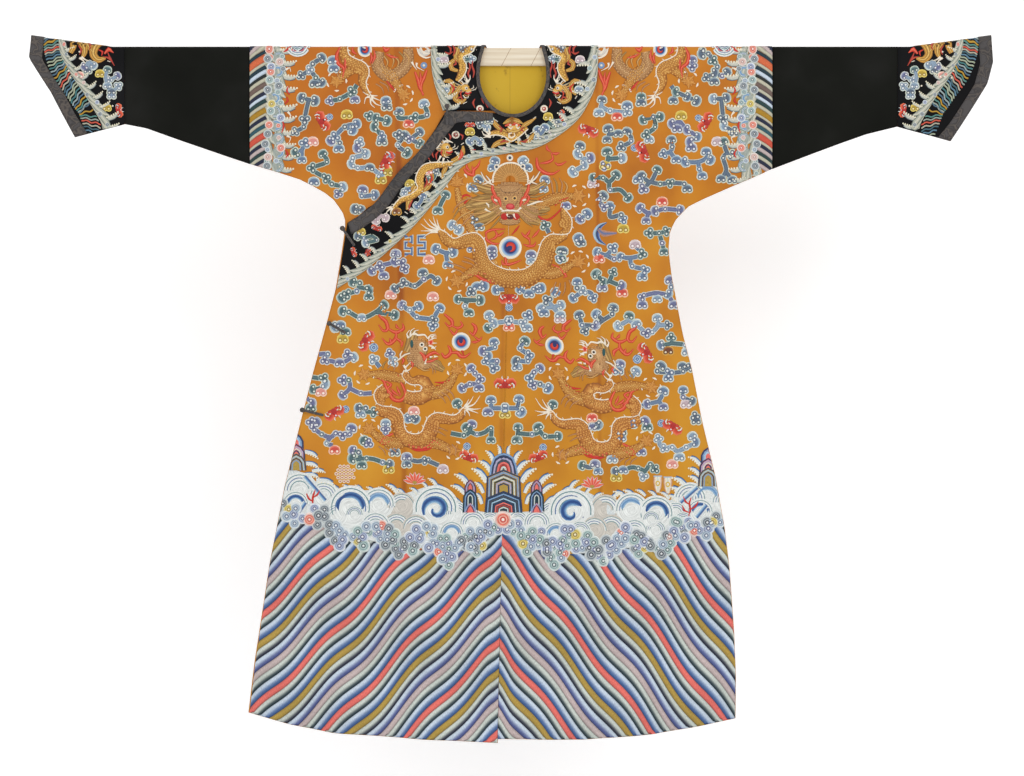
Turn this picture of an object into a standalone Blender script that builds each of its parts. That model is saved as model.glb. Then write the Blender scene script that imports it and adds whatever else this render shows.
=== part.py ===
"""A Chinese dragon robe spread flat on a wooden slat that runs through its sleeves.

Metres, +Z up. +X is the wearer's left, the front faces -Y, and the origin is the slat's centre.
A place on the robe is (x, drop, face): drop is how far it is below the top line, where the cloth
folds over the slat, and face is -1 on the front and +1 on the back. Each cloth piece is a grid of
such places, given its wall by Solidify. A side is -1 for the wearer's right, +1 for the left.
"""

import math

import bpy
import numpy as np
from mathutils import Matrix

# Walls: lined and embroidered silk, the collar band, and brocade trim.
CLOTH = 0.0020
BAND = 0.0012
LINING = 0.0010
TRIM = 0.0012
SEAM = 0.0003  # between pieces that are sewn together
LAID = 0.0006  # under a piece that lies on a panel

# The slat, and how the cloth folds over it.
ROD_LENGTH = 1.50
ROD_HEIGHT = 0.036
ROD_THICK = 0.010
ROD_EDGE = 0.0045
FOLD_RADIUS = ROD_THICK / 2 + 0.0030
TOP = ROD_HEIGHT / 2 + CLOTH + 0.0006
FOLD_DROP = FOLD_RADIUS + CLOTH / 2
FOLD_ROWS = (0, FOLD_DROP / 4, FOLD_DROP / 2, FOLD_DROP * 3 / 4, FOLD_DROP)

# How far the middle of each wall stands from the robe's middle plane.
FRONT_AT_SEAM = CLOTH / 2 + SEAM / 2
SEAM_ROUND = 0.110  # the cloth rounds off towards a seam over this width
CHEST_FROM, CHEST_GROWS, CHEST_SWELL = 0.05, 0.45, 0.0045
SKIRT_FROM, SKIRT_GROWS, SKIRT_SWELL = 0.50, 0.85, 0.0070
OVERLAP = CLOTH + LAID  # the crossed front stands this far outside the one under it
AT_CREST = SEAM / 2 + 0.0002  # from the middle plane to a wall's edge at the top of the fold

# The cut, as seen from the front.
SLEEVE_JOIN = 0.522
CUFF_JOIN = 0.772
FLARE_FROM = 0.797
CUFF_RISE = 0.022
CUFF_REACH = 0.960
CUFF_TRIM = 0.026
HEM = 1.345
SHAPED_FROM = 0.90
VENT_FROM = 1.05
VENT_OPENS = 0.10
VENT_GAP = 0.0010
CENTRE_LEAN = 0.026
# The front under the crossed one: its hem, and how far its free edge draws back from the centre.
UNDER_HEM = 1.24
FREE_EDGE = 0.012
FREE_SPREAD = 0.050
FREE_GROWS = 0.40
# The two fronts are level near the centre seam, and part over this width from it.
LEVEL_TO = 0.040
LEVEL_BLEND = 0.160
SINK_FROM = 0.015  # where the under front starts to sink, and how far above the lapel it is down
SINK_ABOVE = 0.045

# The neck hole: round at the front, shallow at the back.
NECK_X = 0.004
NECK_HALF = 0.067
NECK_MID = 0.057
NECK_RISE = 0.100
NECK_DEEP = 0.136
NECK_BACK = 0.018
NECK_TOP_HALF = NECK_HALF * math.sqrt(1 - (NECK_MID / NECK_RISE) ** 2)

# The underarm and side seams: (drop, reach from the middle).
SIDE_SEAM = {
    -1: (
        (0.235, 0.5220), (0.247, 0.482), (0.262, 0.430), (0.288, 0.378), (0.307, 0.354),
        (0.331, 0.337), (0.350, 0.331), (0.372, 0.333), (0.420, 0.340), (0.486, 0.351),
        (0.580, 0.376), (0.656, 0.397), (0.751, 0.421), (0.880, 0.453), (1.035, 0.483),
        (1.130, 0.497), (1.240, 0.513), (HEM, 0.525),
    ),
    1: (
        (0.245, 0.5220), (0.258, 0.494), (0.281, 0.439), (0.308, 0.378), (0.319, 0.356),
        (0.344, 0.331), (0.369, 0.318), (0.406, 0.315), (0.456, 0.321), (0.572, 0.343),
        (0.645, 0.362), (0.747, 0.382), (0.859, 0.409), (0.959, 0.427), (1.040, 0.437),
        (1.165, 0.446), (1.260, 0.450), (HEM, 0.449),
    ),
}
# The seam under the sleeve and cuff: (reach, drop).
SLEEVE_SEAM = {
    -1: ((SLEEVE_JOIN, 0.235), (0.564, 0.221), (0.660, 0.188), (0.730, 0.163), (CUFF_JOIN, 0.155)),
    1: ((SLEEVE_JOIN, 0.245), (0.606, 0.213), (0.660, 0.193), (0.711, 0.175), (CUFF_JOIN, 0.160)),
}
# The open end of each cuff, from its top corner to its lower corner: (drop, reach).
CUFF_END = {
    -1: ((-0.022, 0.959), (0.016, 0.963), (0.085, 0.919), (0.181, 0.872)),
    1: ((-0.022, 0.960), (0.024, 0.963), (0.068, 0.952), (0.189, 0.879)),
}
# The hem: (x, drop).
HEM_LINE = {
    -1: ((-0.525, 1.331), (-0.439, 1.354), (-0.353, 1.370), (-0.177, 1.383), (-0.025, 1.391)),
    1: ((-0.026, 1.383), (0.145, 1.384), (0.282, 1.373), (0.386, 1.355), (0.449, 1.343)),
}
# Rows between the fold and the underarm.
BODICE_ROWS = (0.024, 0.048, 0.074, 0.098, 0.116, 0.129, NECK_DEEP, 0.165, 0.200)
# The upper edge of the crossed front, from the neck to the underarm: (x, drop).
LAPEL = (
    (0.000, 0.1365), (-0.064, 0.131), (-0.128, 0.131), (-0.136, 0.147), (-0.186, 0.212),
    (-0.228, 0.255), (-0.268, 0.309), (-0.302, 0.337), (-0.330, 0.353),
)
# Broad folds of the skirt: (x where it starts, x at the hem, half width, height, drop where it starts).
FOLDS = {
    -1: (
        (-0.20, -0.335, 0.075, 0.011, 0.52), (-0.10, -0.165, 0.060, 0.009, 0.72),
        (0.06, 0.075, 0.060, 0.008, 0.66), (0.16, 0.235, 0.075, 0.012, 0.50),
        (0.30, 0.365, 0.050, 0.007, 0.85),
    ),
    1: (
        (-0.24, -0.380, 0.070, 0.010, 0.60), (-0.13, -0.215, 0.070, 0.011, 0.46),
        (0.00, -0.035, 0.060, 0.008, 0.70), (0.13, 0.160, 0.075, 0.012, 0.52),
        (0.26, 0.320, 0.060, 0.009, 0.74),
    ),
}
HALF_COLUMNS = 13
SLEEVE_COLUMNS = 6
COLLAR_COLUMNS = 6

# The collar band across the front and down the lapel: inner edge (x, drop), outer edge (x, drop).
COLLAR_FRONT = (
    (0.0665, 0.024, 0.174, 0.024), (0.0710, 0.048, 0.173, 0.048), (0.0695, 0.074, 0.170, 0.074),
    (0.0605, 0.098, 0.158, 0.106), (0.0490, 0.116, 0.134, 0.146), (0.0310, 0.130, 0.090, 0.182),
    (0.0070, 0.136, 0.044, 0.205), (-0.050, 0.1325, -0.020, 0.216), (-0.096, 0.131, -0.070, 0.226),
    (-0.128, 0.131, -0.104, 0.246), (-0.154, 0.170, -0.128, 0.277), (-0.186, 0.212, -0.161, 0.321),
    (-0.228, 0.255, -0.200, 0.366), (-0.268, 0.309, -0.240, 0.404), (-0.286, 0.323, -0.267, 0.428),
    (-0.302, 0.337, -0.294, 0.450), (-0.315, 0.345, -0.321, 0.467), (-0.327, 0.3525, -0.348, 0.484),
)
COLLAR_CREST = {-1: 0.160, 1: 0.174}
COLLAR_BACK_DEEP = 0.115
COLLAR_BACK_ROWS = (0.013, NECK_BACK, 0.035, 0.055, 0.075, 0.093, 0.106, 0.113)
# The collar band on the wearer's right shoulder: drop, outer x.
COLLAR_RIGHT = ((0.024, -0.160), (0.048, -0.158), (0.074, -0.153), (0.098, -0.146), (0.1285, -0.136))
# The brocade strip along the lapel: outer edge (x, drop), inner edge (x, drop).
LAPEL_STRIP = (
    (-0.036, 0.1335, -0.036, 0.1460), (-0.064, 0.1310, -0.062, 0.150), (-0.128, 0.131, -0.106, 0.153),
    (-0.136, 0.147, -0.119, 0.165), (-0.186, 0.212, -0.168, 0.227), (-0.228, 0.255, -0.210, 0.271),
    (-0.268, 0.309, -0.250, 0.325), (-0.302, 0.337, -0.287, 0.357), (-0.326, 0.3525, -0.319, 0.376),
)
# The binding of the neck hole: its width, and how far it stands inside the hole's edge.
BINDING_WIDTH = 0.007
BINDING_INSIDE = 0.0005
BINDING_ROWS = (0.024, 0.048, 0.074, 0.098, 0.112)
BINDING_BACK_ROW = 0.011
BINDING_TURNS = (32, 16, 0, -16, -32)  # degrees round the foot of the hole
BINDING_SHARES = (-0.66, -0.33, 0, 0.33, 0.66)  # across the back of the neck
# The back's lining: from and to x, and the rows below the last bodice row.
LINING_X = (-0.150, 0.158)
LINING_ROWS = (0.240, 0.280)

# Toggles: (name, knob x, knob drop, tail x, tail drop, height of what it lies on).
ON_CLOTH = CLOTH / 2 + LAID
ON_BAND = ON_CLOTH + BAND + LAID
ON_TRIM = ON_BAND + TRIM + SEAM
TOGGLES = (
    ("toggle_neck", 0.0020, 0.1425, 0.0020, 0.1560, ON_TRIM),
    ("toggle_chest", -0.1275, 0.1180, -0.1275, 0.1580, ON_TRIM),
    ("toggle_underarm", -0.3380, 0.3620, -0.3120, 0.3990, ON_TRIM),
    ("toggle_side_upper", -0.3650, 0.5525, -0.3300, 0.5730, ON_CLOTH),
    ("toggle_side_lower", -0.4190, 0.7260, -0.3740, 0.7370, ON_CLOTH),
)
TOGGLE_REST = 0.0044  # a knob's middle stands this far off what it lies on
TOGGLE_SIDES = 8
# Along a toggle, from its tail: (share of its length, half width, half thickness).
TOGGLE_SHAPE = (
    (0.00, 0.0010, 0.0005), (0.03, 0.0026, 0.0009), (0.70, 0.0026, 0.0009), (0.82, 0.0022, 0.0012),
    (0.88, 0.0042, 0.0032), (0.95, 0.0052, 0.0042), (1.02, 0.0044, 0.0034), (1.06, 0.0018, 0.0014),
)

SILK = (0.60, 0.24, 0.03)
BLACK = (0.012, 0.012, 0.011)
BROCADE = (0.07, 0.06, 0.06)
GOLD = (0.58, 0.38, 0.04)
WOOD = (0.80, 0.70, 0.55)


def smooth(t):
    t = min(max(t, 0.0), 1.0)
    return t * t * (3 - 2 * t)


def along(value, table):
    """The second column of a table where its first column reaches value."""
    return float(np.interp(value, *zip(*table)))


def rise(x):
    """How far the cuffs' top line is above the shoulders'."""
    return CUFF_RISE * min(max((abs(x) - FLARE_FROM) / (CUFF_REACH - FLARE_FROM), 0.0), 1.0)


def seam_line(side):
    """The lower outline of one side as (reach, drop) points, from the cuff's corner to the hem."""
    corner = CUFF_END[side][-1]
    under = [(corner[1], corner[0])] + list(reversed(SLEEVE_SEAM[side]))
    return np.array(under + [(reach, drop) for drop, reach in SIDE_SEAM[side][1:]])


SEAM_LINE = {side: seam_line(side) for side in (-1, 1)}


def from_seam(x, drop):
    """The distance from a place to the underarm and side seam."""
    line = SEAM_LINE[1 if x > 0 else -1]
    start, run = line[:-1], np.diff(line, axis=0)
    place = np.array((abs(x), drop))
    share = np.clip(((place - start) * run).sum(1) / (run * run).sum(1), 0, 1)
    return float(np.hypot(*(start + run * share[:, None] - place).T).min())


def folds(x, drop, face):
    """How far the skirt's broad folds push the cloth outwards."""
    out = 0.0
    for start_x, hem_x, half, height, start in FOLDS[face]:
        grown = smooth((drop - start) / (HEM - start))
        middle = start_x + (hem_x - start_x) * max(drop - start, 0) / (HEM - start)
        near = min(abs(x - middle) / half, 1.0)
        out += height * grown * math.cos(near * math.pi / 2) ** 2
    return out


def place(x, drop, face, lift=0.0, plain=False):
    """The point of a place on the robe, moved out of the cloth's middle by lift. Plain has no folds."""
    if drop + rise(x) < FOLD_DROP:
        angle = (drop + rise(x)) / FOLD_DROP * math.pi / 2
        radius = FOLD_RADIUS + lift
        height = TOP + rise(x) - FOLD_DROP + radius * math.cos(angle)
        return (x, face * max(radius * math.sin(angle), AT_CREST), height)
    swell = FOLD_RADIUS + CHEST_SWELL * smooth((drop - CHEST_FROM) / CHEST_GROWS)
    swell += SKIRT_SWELL * smooth((drop - SKIRT_FROM) / SKIRT_GROWS)
    near = 1 - min(from_seam(x, drop) / SEAM_ROUND, 1.0)
    round_seam = 1 - near * near
    if not plain:
        swell += folds(x, drop, face)
    out = FRONT_AT_SEAM + (swell - FRONT_AT_SEAM) * round_seam
    return (x, face * (out + lift), TOP - drop)


def neck_half(drop, face):
    """Half the neck hole's width at this drop, 0 below it."""
    if face > 0:
        return NECK_TOP_HALF * math.sqrt(max(1 - (drop / NECK_BACK) ** 2, 0))
    reach = NECK_DEEP - NECK_MID if drop > NECK_MID else NECK_RISE
    return NECK_HALF * math.sqrt(max(1 - ((drop - NECK_MID) / reach) ** 2, 0))


def centre(drop, side):
    """The x of the centre seam's edge on one side. The seam leans, and is open below as a vent."""
    lean = -CENTRE_LEAN * max(drop - NECK_DEEP, 0) / (HEM - NECK_DEEP)
    return lean + side * (SEAM / 2 + VENT_GAP * smooth((drop - VENT_FROM) / VENT_OPENS))


def inner_edge(drop, face, side):
    half = neck_half(drop, face)
    return side * max(side * centre(drop, side), side * NECK_X + half) if half else centre(drop, side)


def outer_edge(drop, side):
    if drop < SIDE_SEAM[side][0][0]:
        return side * (SLEEVE_JOIN - SEAM / 2)
    return side * (along(drop, SIDE_SEAM[side]) - SEAM / 2)


def to_hem(x, drop, side):
    """Bends the rows above the hem until the last one lies on it."""
    return drop + smooth((drop - SHAPED_FROM) / (HEM - SHAPED_FROM)) * (along(x, HEM_LINE[side]) - HEM)


def material(name, colour, roughness, metallic=0.0):
    made = bpy.data.materials.new(name)
    made.use_nodes = True
    shader = made.node_tree.nodes["Principled BSDF"]
    shader.inputs["Base Color"].default_value = (*colour, 1)
    shader.inputs["Roughness"].default_value = roughness
    shader.inputs["Metallic"].default_value = metallic
    return made


def keep(name, mesh, colour, roughness, metallic=0.0):
    mesh.materials.append(material(name, colour, roughness, metallic))
    mesh.shade_smooth()
    made = bpy.data.objects.new(name, mesh)
    robe.objects.link(made)
    return made


def grid(name, rows, wall, colour, roughness=0.55, ring=False):
    """A cloth piece: rows of points, with the wall grown evenly to both sides of them."""
    count = len(rows[0])
    ends = len(rows) if ring else len(rows) - 1
    faces = [
        (
            i * count + j,
            i * count + j + 1,
            (i + 1) % len(rows) * count + j + 1,
            (i + 1) % len(rows) * count + j,
        )
        for i in range(ends)
        for j in range(count - 1)
    ]
    mesh = bpy.data.meshes.new(name)
    mesh.from_pydata([point for row in rows for point in row], [], faces)
    made = keep(name, mesh, colour, roughness)
    thick = made.modifiers.new("wall", "SOLIDIFY")
    thick.thickness = wall
    thick.offset = 0
    thick.use_even_offset = True
    return made


def between(a, b, count):
    return [a + (b - a) * i / (count - 1) for i in range(count)]


def panel(name, face, side):
    """A front or back from the shoulder to the hem, with its part of the sleeve."""
    rows = []
    for drop in FOLD_ROWS + BODICE_ROWS + tuple(drop for drop, _ in SIDE_SEAM[side]):
        across = between(inner_edge(drop, face, side), outer_edge(drop, side), HALF_COLUMNS)
        rows.append([place(x, to_hem(x, drop, side), face) for x in across])
    grid(name, rows, CLOTH, SILK)


def blend_out(x):
    """1 near the centre seam, where the crossed front is level with the other, and 0 at the side."""
    return 1 - smooth((-x - LEVEL_TO) / LEVEL_BLEND)


def over(x):
    """The crossed front's lift."""
    return OVERLAP * (1 - blend_out(x)) if x < 0 else 0.0


def under(x, drop):
    """The lift of the front that it crosses, which sinks where it passes under."""
    lapel = along(-x, [(-a, b) for a, b in LAPEL])
    return -OVERLAP * blend_out(x) * smooth((drop - SINK_FROM) / (lapel - SINK_ABOVE))


def front_under():
    """The wearer's right front: its shoulder shows, and the rest hangs plain under the crossed one."""
    rows = []
    for drop in FOLD_ROWS + BODICE_ROWS + tuple(drop for drop, _ in SIDE_SEAM[-1] if drop <= UNDER_HEM):
        free = -FREE_EDGE - FREE_SPREAD * smooth((drop - NECK_DEEP) / FREE_GROWS)
        free = min(inner_edge(drop, -1, -1), free)
        edge = inner_edge(drop, -1, -1) if drop < NECK_DEEP else free
        across = between(edge, outer_edge(drop, -1), HALF_COLUMNS)
        rows.append([place(x, drop, -1, under(x, drop), plain=True) for x in across])
    grid("front_right_under", rows, CLOTH, SILK)


def front_crossed():
    """The crossed front: it is sewn to the wearer's left front at the centre and closes at the right side."""
    top = LAPEL[-1][1]
    drops = [top] + [drop for drop, _ in SIDE_SEAM[-1] if drop > top + 0.01]
    rows = []
    for at_side in drops:
        share = (at_side - top) / (HEM - top)
        row = []
        for u in between(0.0, 1.0, HALF_COLUMNS):
            start = along(-u * LAPEL[-1][0], [(-a, b) for a, b in LAPEL])
            drop = start + (HEM - start) * share
            x = centre(drop, -1) + u * (outer_edge(max(drop, top), -1) - centre(drop, -1))
            row.append(place(x, to_hem(x, drop, -1), -1, over(x)))
        rows.append(row)
    grid("front_right_crossed", rows, CLOTH, SILK)


def sleeve(name, face, side):
    across = between(SLEEVE_JOIN + SEAM / 2, CUFF_JOIN - SEAM / 2, SLEEVE_COLUMNS)
    rows = [[place(side * x, drop, face) for x in across] for drop in FOLD_ROWS]
    for share in between(0.0, 1.0, 8)[1:]:
        deep = [FOLD_DROP + (along(x, SLEEVE_SEAM[side]) - FOLD_DROP) * share for x in across]
        rows.append([place(side * x, drop, face) for x, drop in zip(across, deep)])
    grid(name, rows, CLOTH, BLACK, 0.7)


def cuff_row(side, share, fold=None):
    """The (x, drop) places across a cuff, the last three under its trim."""
    end = CUFF_END[side]
    down = end[0][0] + (end[-1][0] - end[0][0]) * share
    reach = along(down, end)
    across = between(CUFF_JOIN + SEAM / 2, reach - CUFF_TRIM, 5) + [reach - CUFF_TRIM / 2, reach]
    places = []
    for x in across:
        if fold is None:
            lowest = along(x, (SLEEVE_SEAM[side][-1], end[-1][::-1]))
            drop = FOLD_DROP - rise(x) + (lowest - FOLD_DROP + rise(x)) * share
        else:
            drop = fold - rise(x)
        places.append((side * x, drop))
    return places


def cuff(side, face, name):
    places = [cuff_row(side, 0.0, fold) for fold in FOLD_ROWS]
    places += [cuff_row(side, share) for share in between(0.0, 1.0, 9)[1:]]
    rows = [[place(x, drop, face) for x, drop in row] for row in places]
    grid(f"cuff_{name}", rows, CLOTH, BLACK, 0.6)
    lift = CLOTH / 2 + SEAM + TRIM / 2
    trim = [[place(x, drop, face, lift) for x, drop in row[-3:]] for row in places]
    grid(f"cuff_trim_{name}", trim, TRIM, BROCADE)


def collar():
    """The band round the neck and down the lapel, in four pieces that meet on the shoulders and behind."""
    stations = [(NECK_X + neck_half(drop, -1), drop, COLLAR_CREST[1], drop) for drop in FOLD_ROWS]
    rows = []
    for x1, drop1, x2, drop2 in stations + list(COLLAR_FRONT):
        across = zip(between(x1, x2, COLLAR_COLUMNS), between(drop1, drop2, COLLAR_COLUMNS))
        rows.append([place(x, drop, -1, over(x) + ON_CLOTH + BAND / 2) for x, drop in across])
    grid("collar_front", rows, BAND, BLACK)

    rows = []
    edge = [(drop, -COLLAR_CREST[-1]) for drop in FOLD_ROWS] + list(COLLAR_RIGHT)
    for drop, outer in edge:
        across = between(NECK_X - neck_half(drop, -1), outer, COLLAR_COLUMNS)
        rows.append([place(x, drop, -1, under(x, drop) + ON_CLOTH + BAND / 2) for x in across])
    grid("collar_right", rows, BAND, BLACK)

    for side, name in ((-1, "collar_back_right"), (1, "collar_back_left")):
        rows = []
        for drop in FOLD_ROWS + COLLAR_BACK_ROWS:
            reach = COLLAR_CREST[side] * math.sqrt(1 - (drop / COLLAR_BACK_DEEP) ** 2)
            across = between(inner_edge(drop, 1, side), side * reach, COLLAR_COLUMNS)
            rows.append([place(x, drop, 1, ON_CLOTH + BAND / 2) for x in across])
        grid(name, rows, BAND, BLACK)


def neck_binding():
    """A narrow bias binding all round the neck hole."""
    lift = ON_BAND + TRIM / 2
    back = FOLD_ROWS + (BINDING_BACK_ROW,)
    loop = [(drop, 1) for drop in reversed(back)] + [(drop, -1) for drop in FOLD_ROWS[1:] + BINDING_ROWS]
    rows = []

    def ribbon(x, drop, face, out_x, out_drop):
        inner = place(x - BINDING_INSIDE * out_x, drop - BINDING_INSIDE * out_drop, face, lift)
        outer = place(x + BINDING_WIDTH * out_x, drop + BINDING_WIDTH * out_drop, face, lift)
        rows.append([inner, outer])

    for drop, face in loop:
        ribbon(NECK_X + neck_half(drop, face), drop, face, 1, 0)
    for turn in np.radians(BINDING_TURNS):
        low = NECK_MID + (NECK_DEEP - NECK_MID) * math.cos(turn)
        ribbon(NECK_X + NECK_HALF * math.sin(turn), low, -1, math.sin(turn), math.cos(turn))
    for drop, face in reversed(loop):
        ribbon(NECK_X - neck_half(drop, face), drop, face, -1, 0)
    for share in BINDING_SHARES:
        drop = NECK_BACK * math.sqrt(1 - share * share)
        ribbon(NECK_X + NECK_TOP_HALF * share, drop, 1, 0, 1)
    grid("neck_binding", rows, TRIM, BROCADE, ring=True)


def lapel_strip():
    rows = []
    for x1, drop1, x2, drop2 in LAPEL_STRIP:
        across = zip(between(x1, x2, 3), between(drop1, drop2, 3))
        rows.append([place(x, drop, -1, over(x) + ON_BAND + TRIM / 2) for x, drop in across])
    grid("lapel_strip", rows, TRIM, BROCADE)


def back_lining():
    """The lining inside the back, as far as the neck hole shows it."""
    rows = []
    for drop in FOLD_ROWS[-1:] + BODICE_ROWS + LINING_ROWS:
        rows.append([place(x, drop, 1, -CLOTH / 2 - SEAM - LINING / 2) for x in between(*LINING_X, 8)])
    grid("back_lining", rows, LINING, GOLD)


def toggle(name, knob_x, knob_drop, tail_x, tail_drop, on):
    """A knotted cord button with its strip: round sections along a line on the cloth."""
    along_line = np.array((knob_x - tail_x, knob_drop - tail_drop))
    across = np.array((-along_line[1], along_line[0])) / np.hypot(*along_line)
    points = []
    for share, half, thick in TOGGLE_SHAPE:
        x, drop = np.array((tail_x, tail_drop)) + along_line * share
        lift = on + SEAM + TOGGLE_REST + (over(x) if x < 0 else 0)
        for i in range(TOGGLE_SIDES):
            turn = 2 * math.pi * i / TOGGLE_SIDES
            moved = np.array((x, drop)) + across * half * math.cos(turn)
            points.append(place(*moved, -1, lift + thick * math.sin(turn)))
    rings = [
        [i * TOGGLE_SIDES + j % TOGGLE_SIDES for j in range(TOGGLE_SIDES + 1)]
        for i in range(len(TOGGLE_SHAPE))
    ]
    faces = [
        (near[j], near[j + 1], far[j + 1], far[j])
        for near, far in zip(rings, rings[1:])
        for j in range(TOGGLE_SIDES)
    ]
    faces += [tuple(reversed(rings[0][:-1])), tuple(rings[-1][:-1])]
    mesh = bpy.data.meshes.new(name)
    mesh.from_pydata(points, [], faces)
    signed = sum(
        np.linalg.det(np.array([points[face[0]], points[face[i]], points[face[i + 1]]]))
        for face in faces
        for i in range(1, len(face) - 1)
    )
    if signed < 0:
        mesh.flip_normals()
    keep(name, mesh, BROCADE, 0.6)


def rod():
    bpy.ops.mesh.primitive_cube_add(size=1)
    made = bpy.context.object
    made.data.transform(Matrix.Diagonal((ROD_LENGTH, ROD_THICK, ROD_HEIGHT, 1)))
    made.name = "rod"
    for collection in made.users_collection:
        collection.objects.unlink(made)
    robe.objects.link(made)
    made.data.materials.append(material("rod", WOOD, 0.6))
    edge = made.modifiers.new("edge", "BEVEL")
    edge.width = ROD_EDGE
    edge.segments = 3
    edge.limit_method = "ANGLE"
    made.data.shade_smooth()
    made.data.set_sharp_from_angle(angle=math.radians(50))


for old in list(bpy.data.objects):
    bpy.data.objects.remove(old)
robe = bpy.data.collections.new("dragon_robe")
bpy.context.scene.collection.children.link(robe)

panel("front_left", -1, 1)
front_under()
front_crossed()
panel("back_left", 1, 1)
panel("back_right", 1, -1)
for side, hand in ((-1, "right"), (1, "left")):
    for face, where in ((-1, "front"), (1, "back")):
        sleeve(f"sleeve_{hand}_{where}", face, side)
        cuff(side, face, f"{hand}_{where}")
collar()
neck_binding()
lapel_strip()
back_lining()
for row in TOGGLES:
    toggle(*row)
rod()
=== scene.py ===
import math

import bpy
import numpy as np
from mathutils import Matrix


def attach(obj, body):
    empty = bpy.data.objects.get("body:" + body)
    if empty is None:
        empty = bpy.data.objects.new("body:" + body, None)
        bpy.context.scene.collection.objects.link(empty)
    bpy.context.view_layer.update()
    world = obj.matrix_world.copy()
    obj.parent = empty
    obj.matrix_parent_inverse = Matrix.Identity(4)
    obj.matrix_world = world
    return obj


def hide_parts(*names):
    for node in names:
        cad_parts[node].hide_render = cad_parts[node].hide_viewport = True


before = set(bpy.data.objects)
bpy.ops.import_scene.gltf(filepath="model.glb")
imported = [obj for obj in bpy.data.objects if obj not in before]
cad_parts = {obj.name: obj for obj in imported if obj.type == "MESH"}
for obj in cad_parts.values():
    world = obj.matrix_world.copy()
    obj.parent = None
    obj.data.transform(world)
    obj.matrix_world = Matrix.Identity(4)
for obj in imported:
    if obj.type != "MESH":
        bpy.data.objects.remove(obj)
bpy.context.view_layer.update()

# ---------------------------------------------------------------- the place
# The robe hangs clear of a pale floor, in front of a pale wall, in soft light from above and in front.
# The camera stands far off and level, so that the robe is seen flat on. The wall and the floor are seen
# only from their lit side, so that the robe can be looked at from behind too.
VIEW_MIDDLE = (0.002, -0.662)
VIEW_WIDTH = 2.048
VIEW_AWAY = 7.5
FLOOR_AT = -1.62
WALL_AT = 0.55
FLOOR_HALF, WALL_HALF, WALL_TOP = 6, 3, 1.2
PAPER = (0.97, 0.97, 0.97)
WALL_GLOW, FLOOR_GLOW, AIR_GLOW = 0.24, 0.04, 0.86  # the wall is a lit paper backdrop
SEEN_TO = 40


def plain_material(name, colour, roughness):
    made = bpy.data.materials.new(name)
    made.use_nodes = True
    shader = made.node_tree.nodes["Principled BSDF"]
    shader.inputs["Base Color"].default_value = (*colour, 1)
    shader.inputs["Roughness"].default_value = roughness
    return made


def stage_sheet(name, corners, glow):
    mesh = bpy.data.meshes.new(name)
    mesh.from_pydata(corners, [], [(0, 1, 2, 3)])
    paper = plain_material(name, PAPER, 0.9)
    tree = paper.node_tree
    shader = tree.nodes["Principled BSDF"]
    shader.inputs["Emission Color"].default_value = (1, 1, 1, 1)
    shader.inputs["Emission Strength"].default_value = glow
    side, ray = tree.nodes.new("ShaderNodeNewGeometry"), tree.nodes.new("ShaderNodeLightPath")
    lit, shown = tree.nodes.new("ShaderNodeMath"), tree.nodes.new("ShaderNodeMixShader")
    lit.operation = "GREATER_THAN"  # seen by the camera, and not from the back
    tree.links.new(ray.outputs["Is Camera Ray"], lit.inputs[0])
    tree.links.new(side.outputs["Backfacing"], lit.inputs[1])
    tree.links.new(lit.outputs[0], shown.inputs["Fac"])
    tree.links.new(tree.nodes.new("ShaderNodeBsdfTransparent").outputs[0], shown.inputs[1])
    tree.links.new(shader.outputs[0], shown.inputs[2])
    tree.links.new(shown.outputs[0], tree.nodes["Material Output"].inputs["Surface"])
    mesh.materials.append(paper)
    made = bpy.data.objects.new(name, mesh)
    bpy.context.scene.collection.objects.link(made)


turns = ((-1, 0), (1, 0), (1, 1), (-1, 1))
stage_sheet("floor", [(side * FLOOR_HALF, (2 * far - 1) * FLOOR_HALF, FLOOR_AT) for side, far in turns], FLOOR_GLOW)
stage_sheet("wall", [(side * WALL_HALF, WALL_AT, (FLOOR_AT, WALL_TOP)[up]) for side, up in turns], WALL_GLOW)

camera = bpy.data.cameras.new("camera")
camera.lens = camera.sensor_width * VIEW_AWAY / VIEW_WIDTH
camera.clip_end = SEEN_TO
camera_object = bpy.data.objects.new("camera", camera)
camera_object.location = (VIEW_MIDDLE[0], -VIEW_AWAY, VIEW_MIDDLE[1])
camera_object.rotation_euler = (math.pi / 2, 0, 0)
bpy.context.scene.collection.objects.link(camera_object)
bpy.context.scene.camera = camera_object


def light(name, spot, aim, size, power):
    lamp = bpy.data.lights.new(name, "AREA")
    lamp.size = size
    lamp.energy = power
    made = bpy.data.objects.new(name, lamp)
    made.location = spot
    away = np.array(spot, float) - np.array(aim, float)
    made.rotation_euler = (math.atan2(math.hypot(*away[:2]), away[2]), 0, math.atan2(away[0], -away[1]))
    bpy.context.scene.collection.objects.link(made)


light("key", (2.4, -3.6, 2.0), (0, 0, -0.6), 1.6, 38)
light("fill", (-2.8, -4.2, 0.4), (0, 0, -0.7), 2.2, 17)
world = bpy.data.worlds.new("soft")
world.use_nodes = True
air = world.node_tree.nodes["Background"]
air.inputs["Color"].default_value = (1, 1, 1, 1)
air.inputs["Strength"].default_value = AIR_GLOW
bpy.context.scene.world = world
bpy.context.scene.view_settings.view_transform = "Standard"

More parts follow.
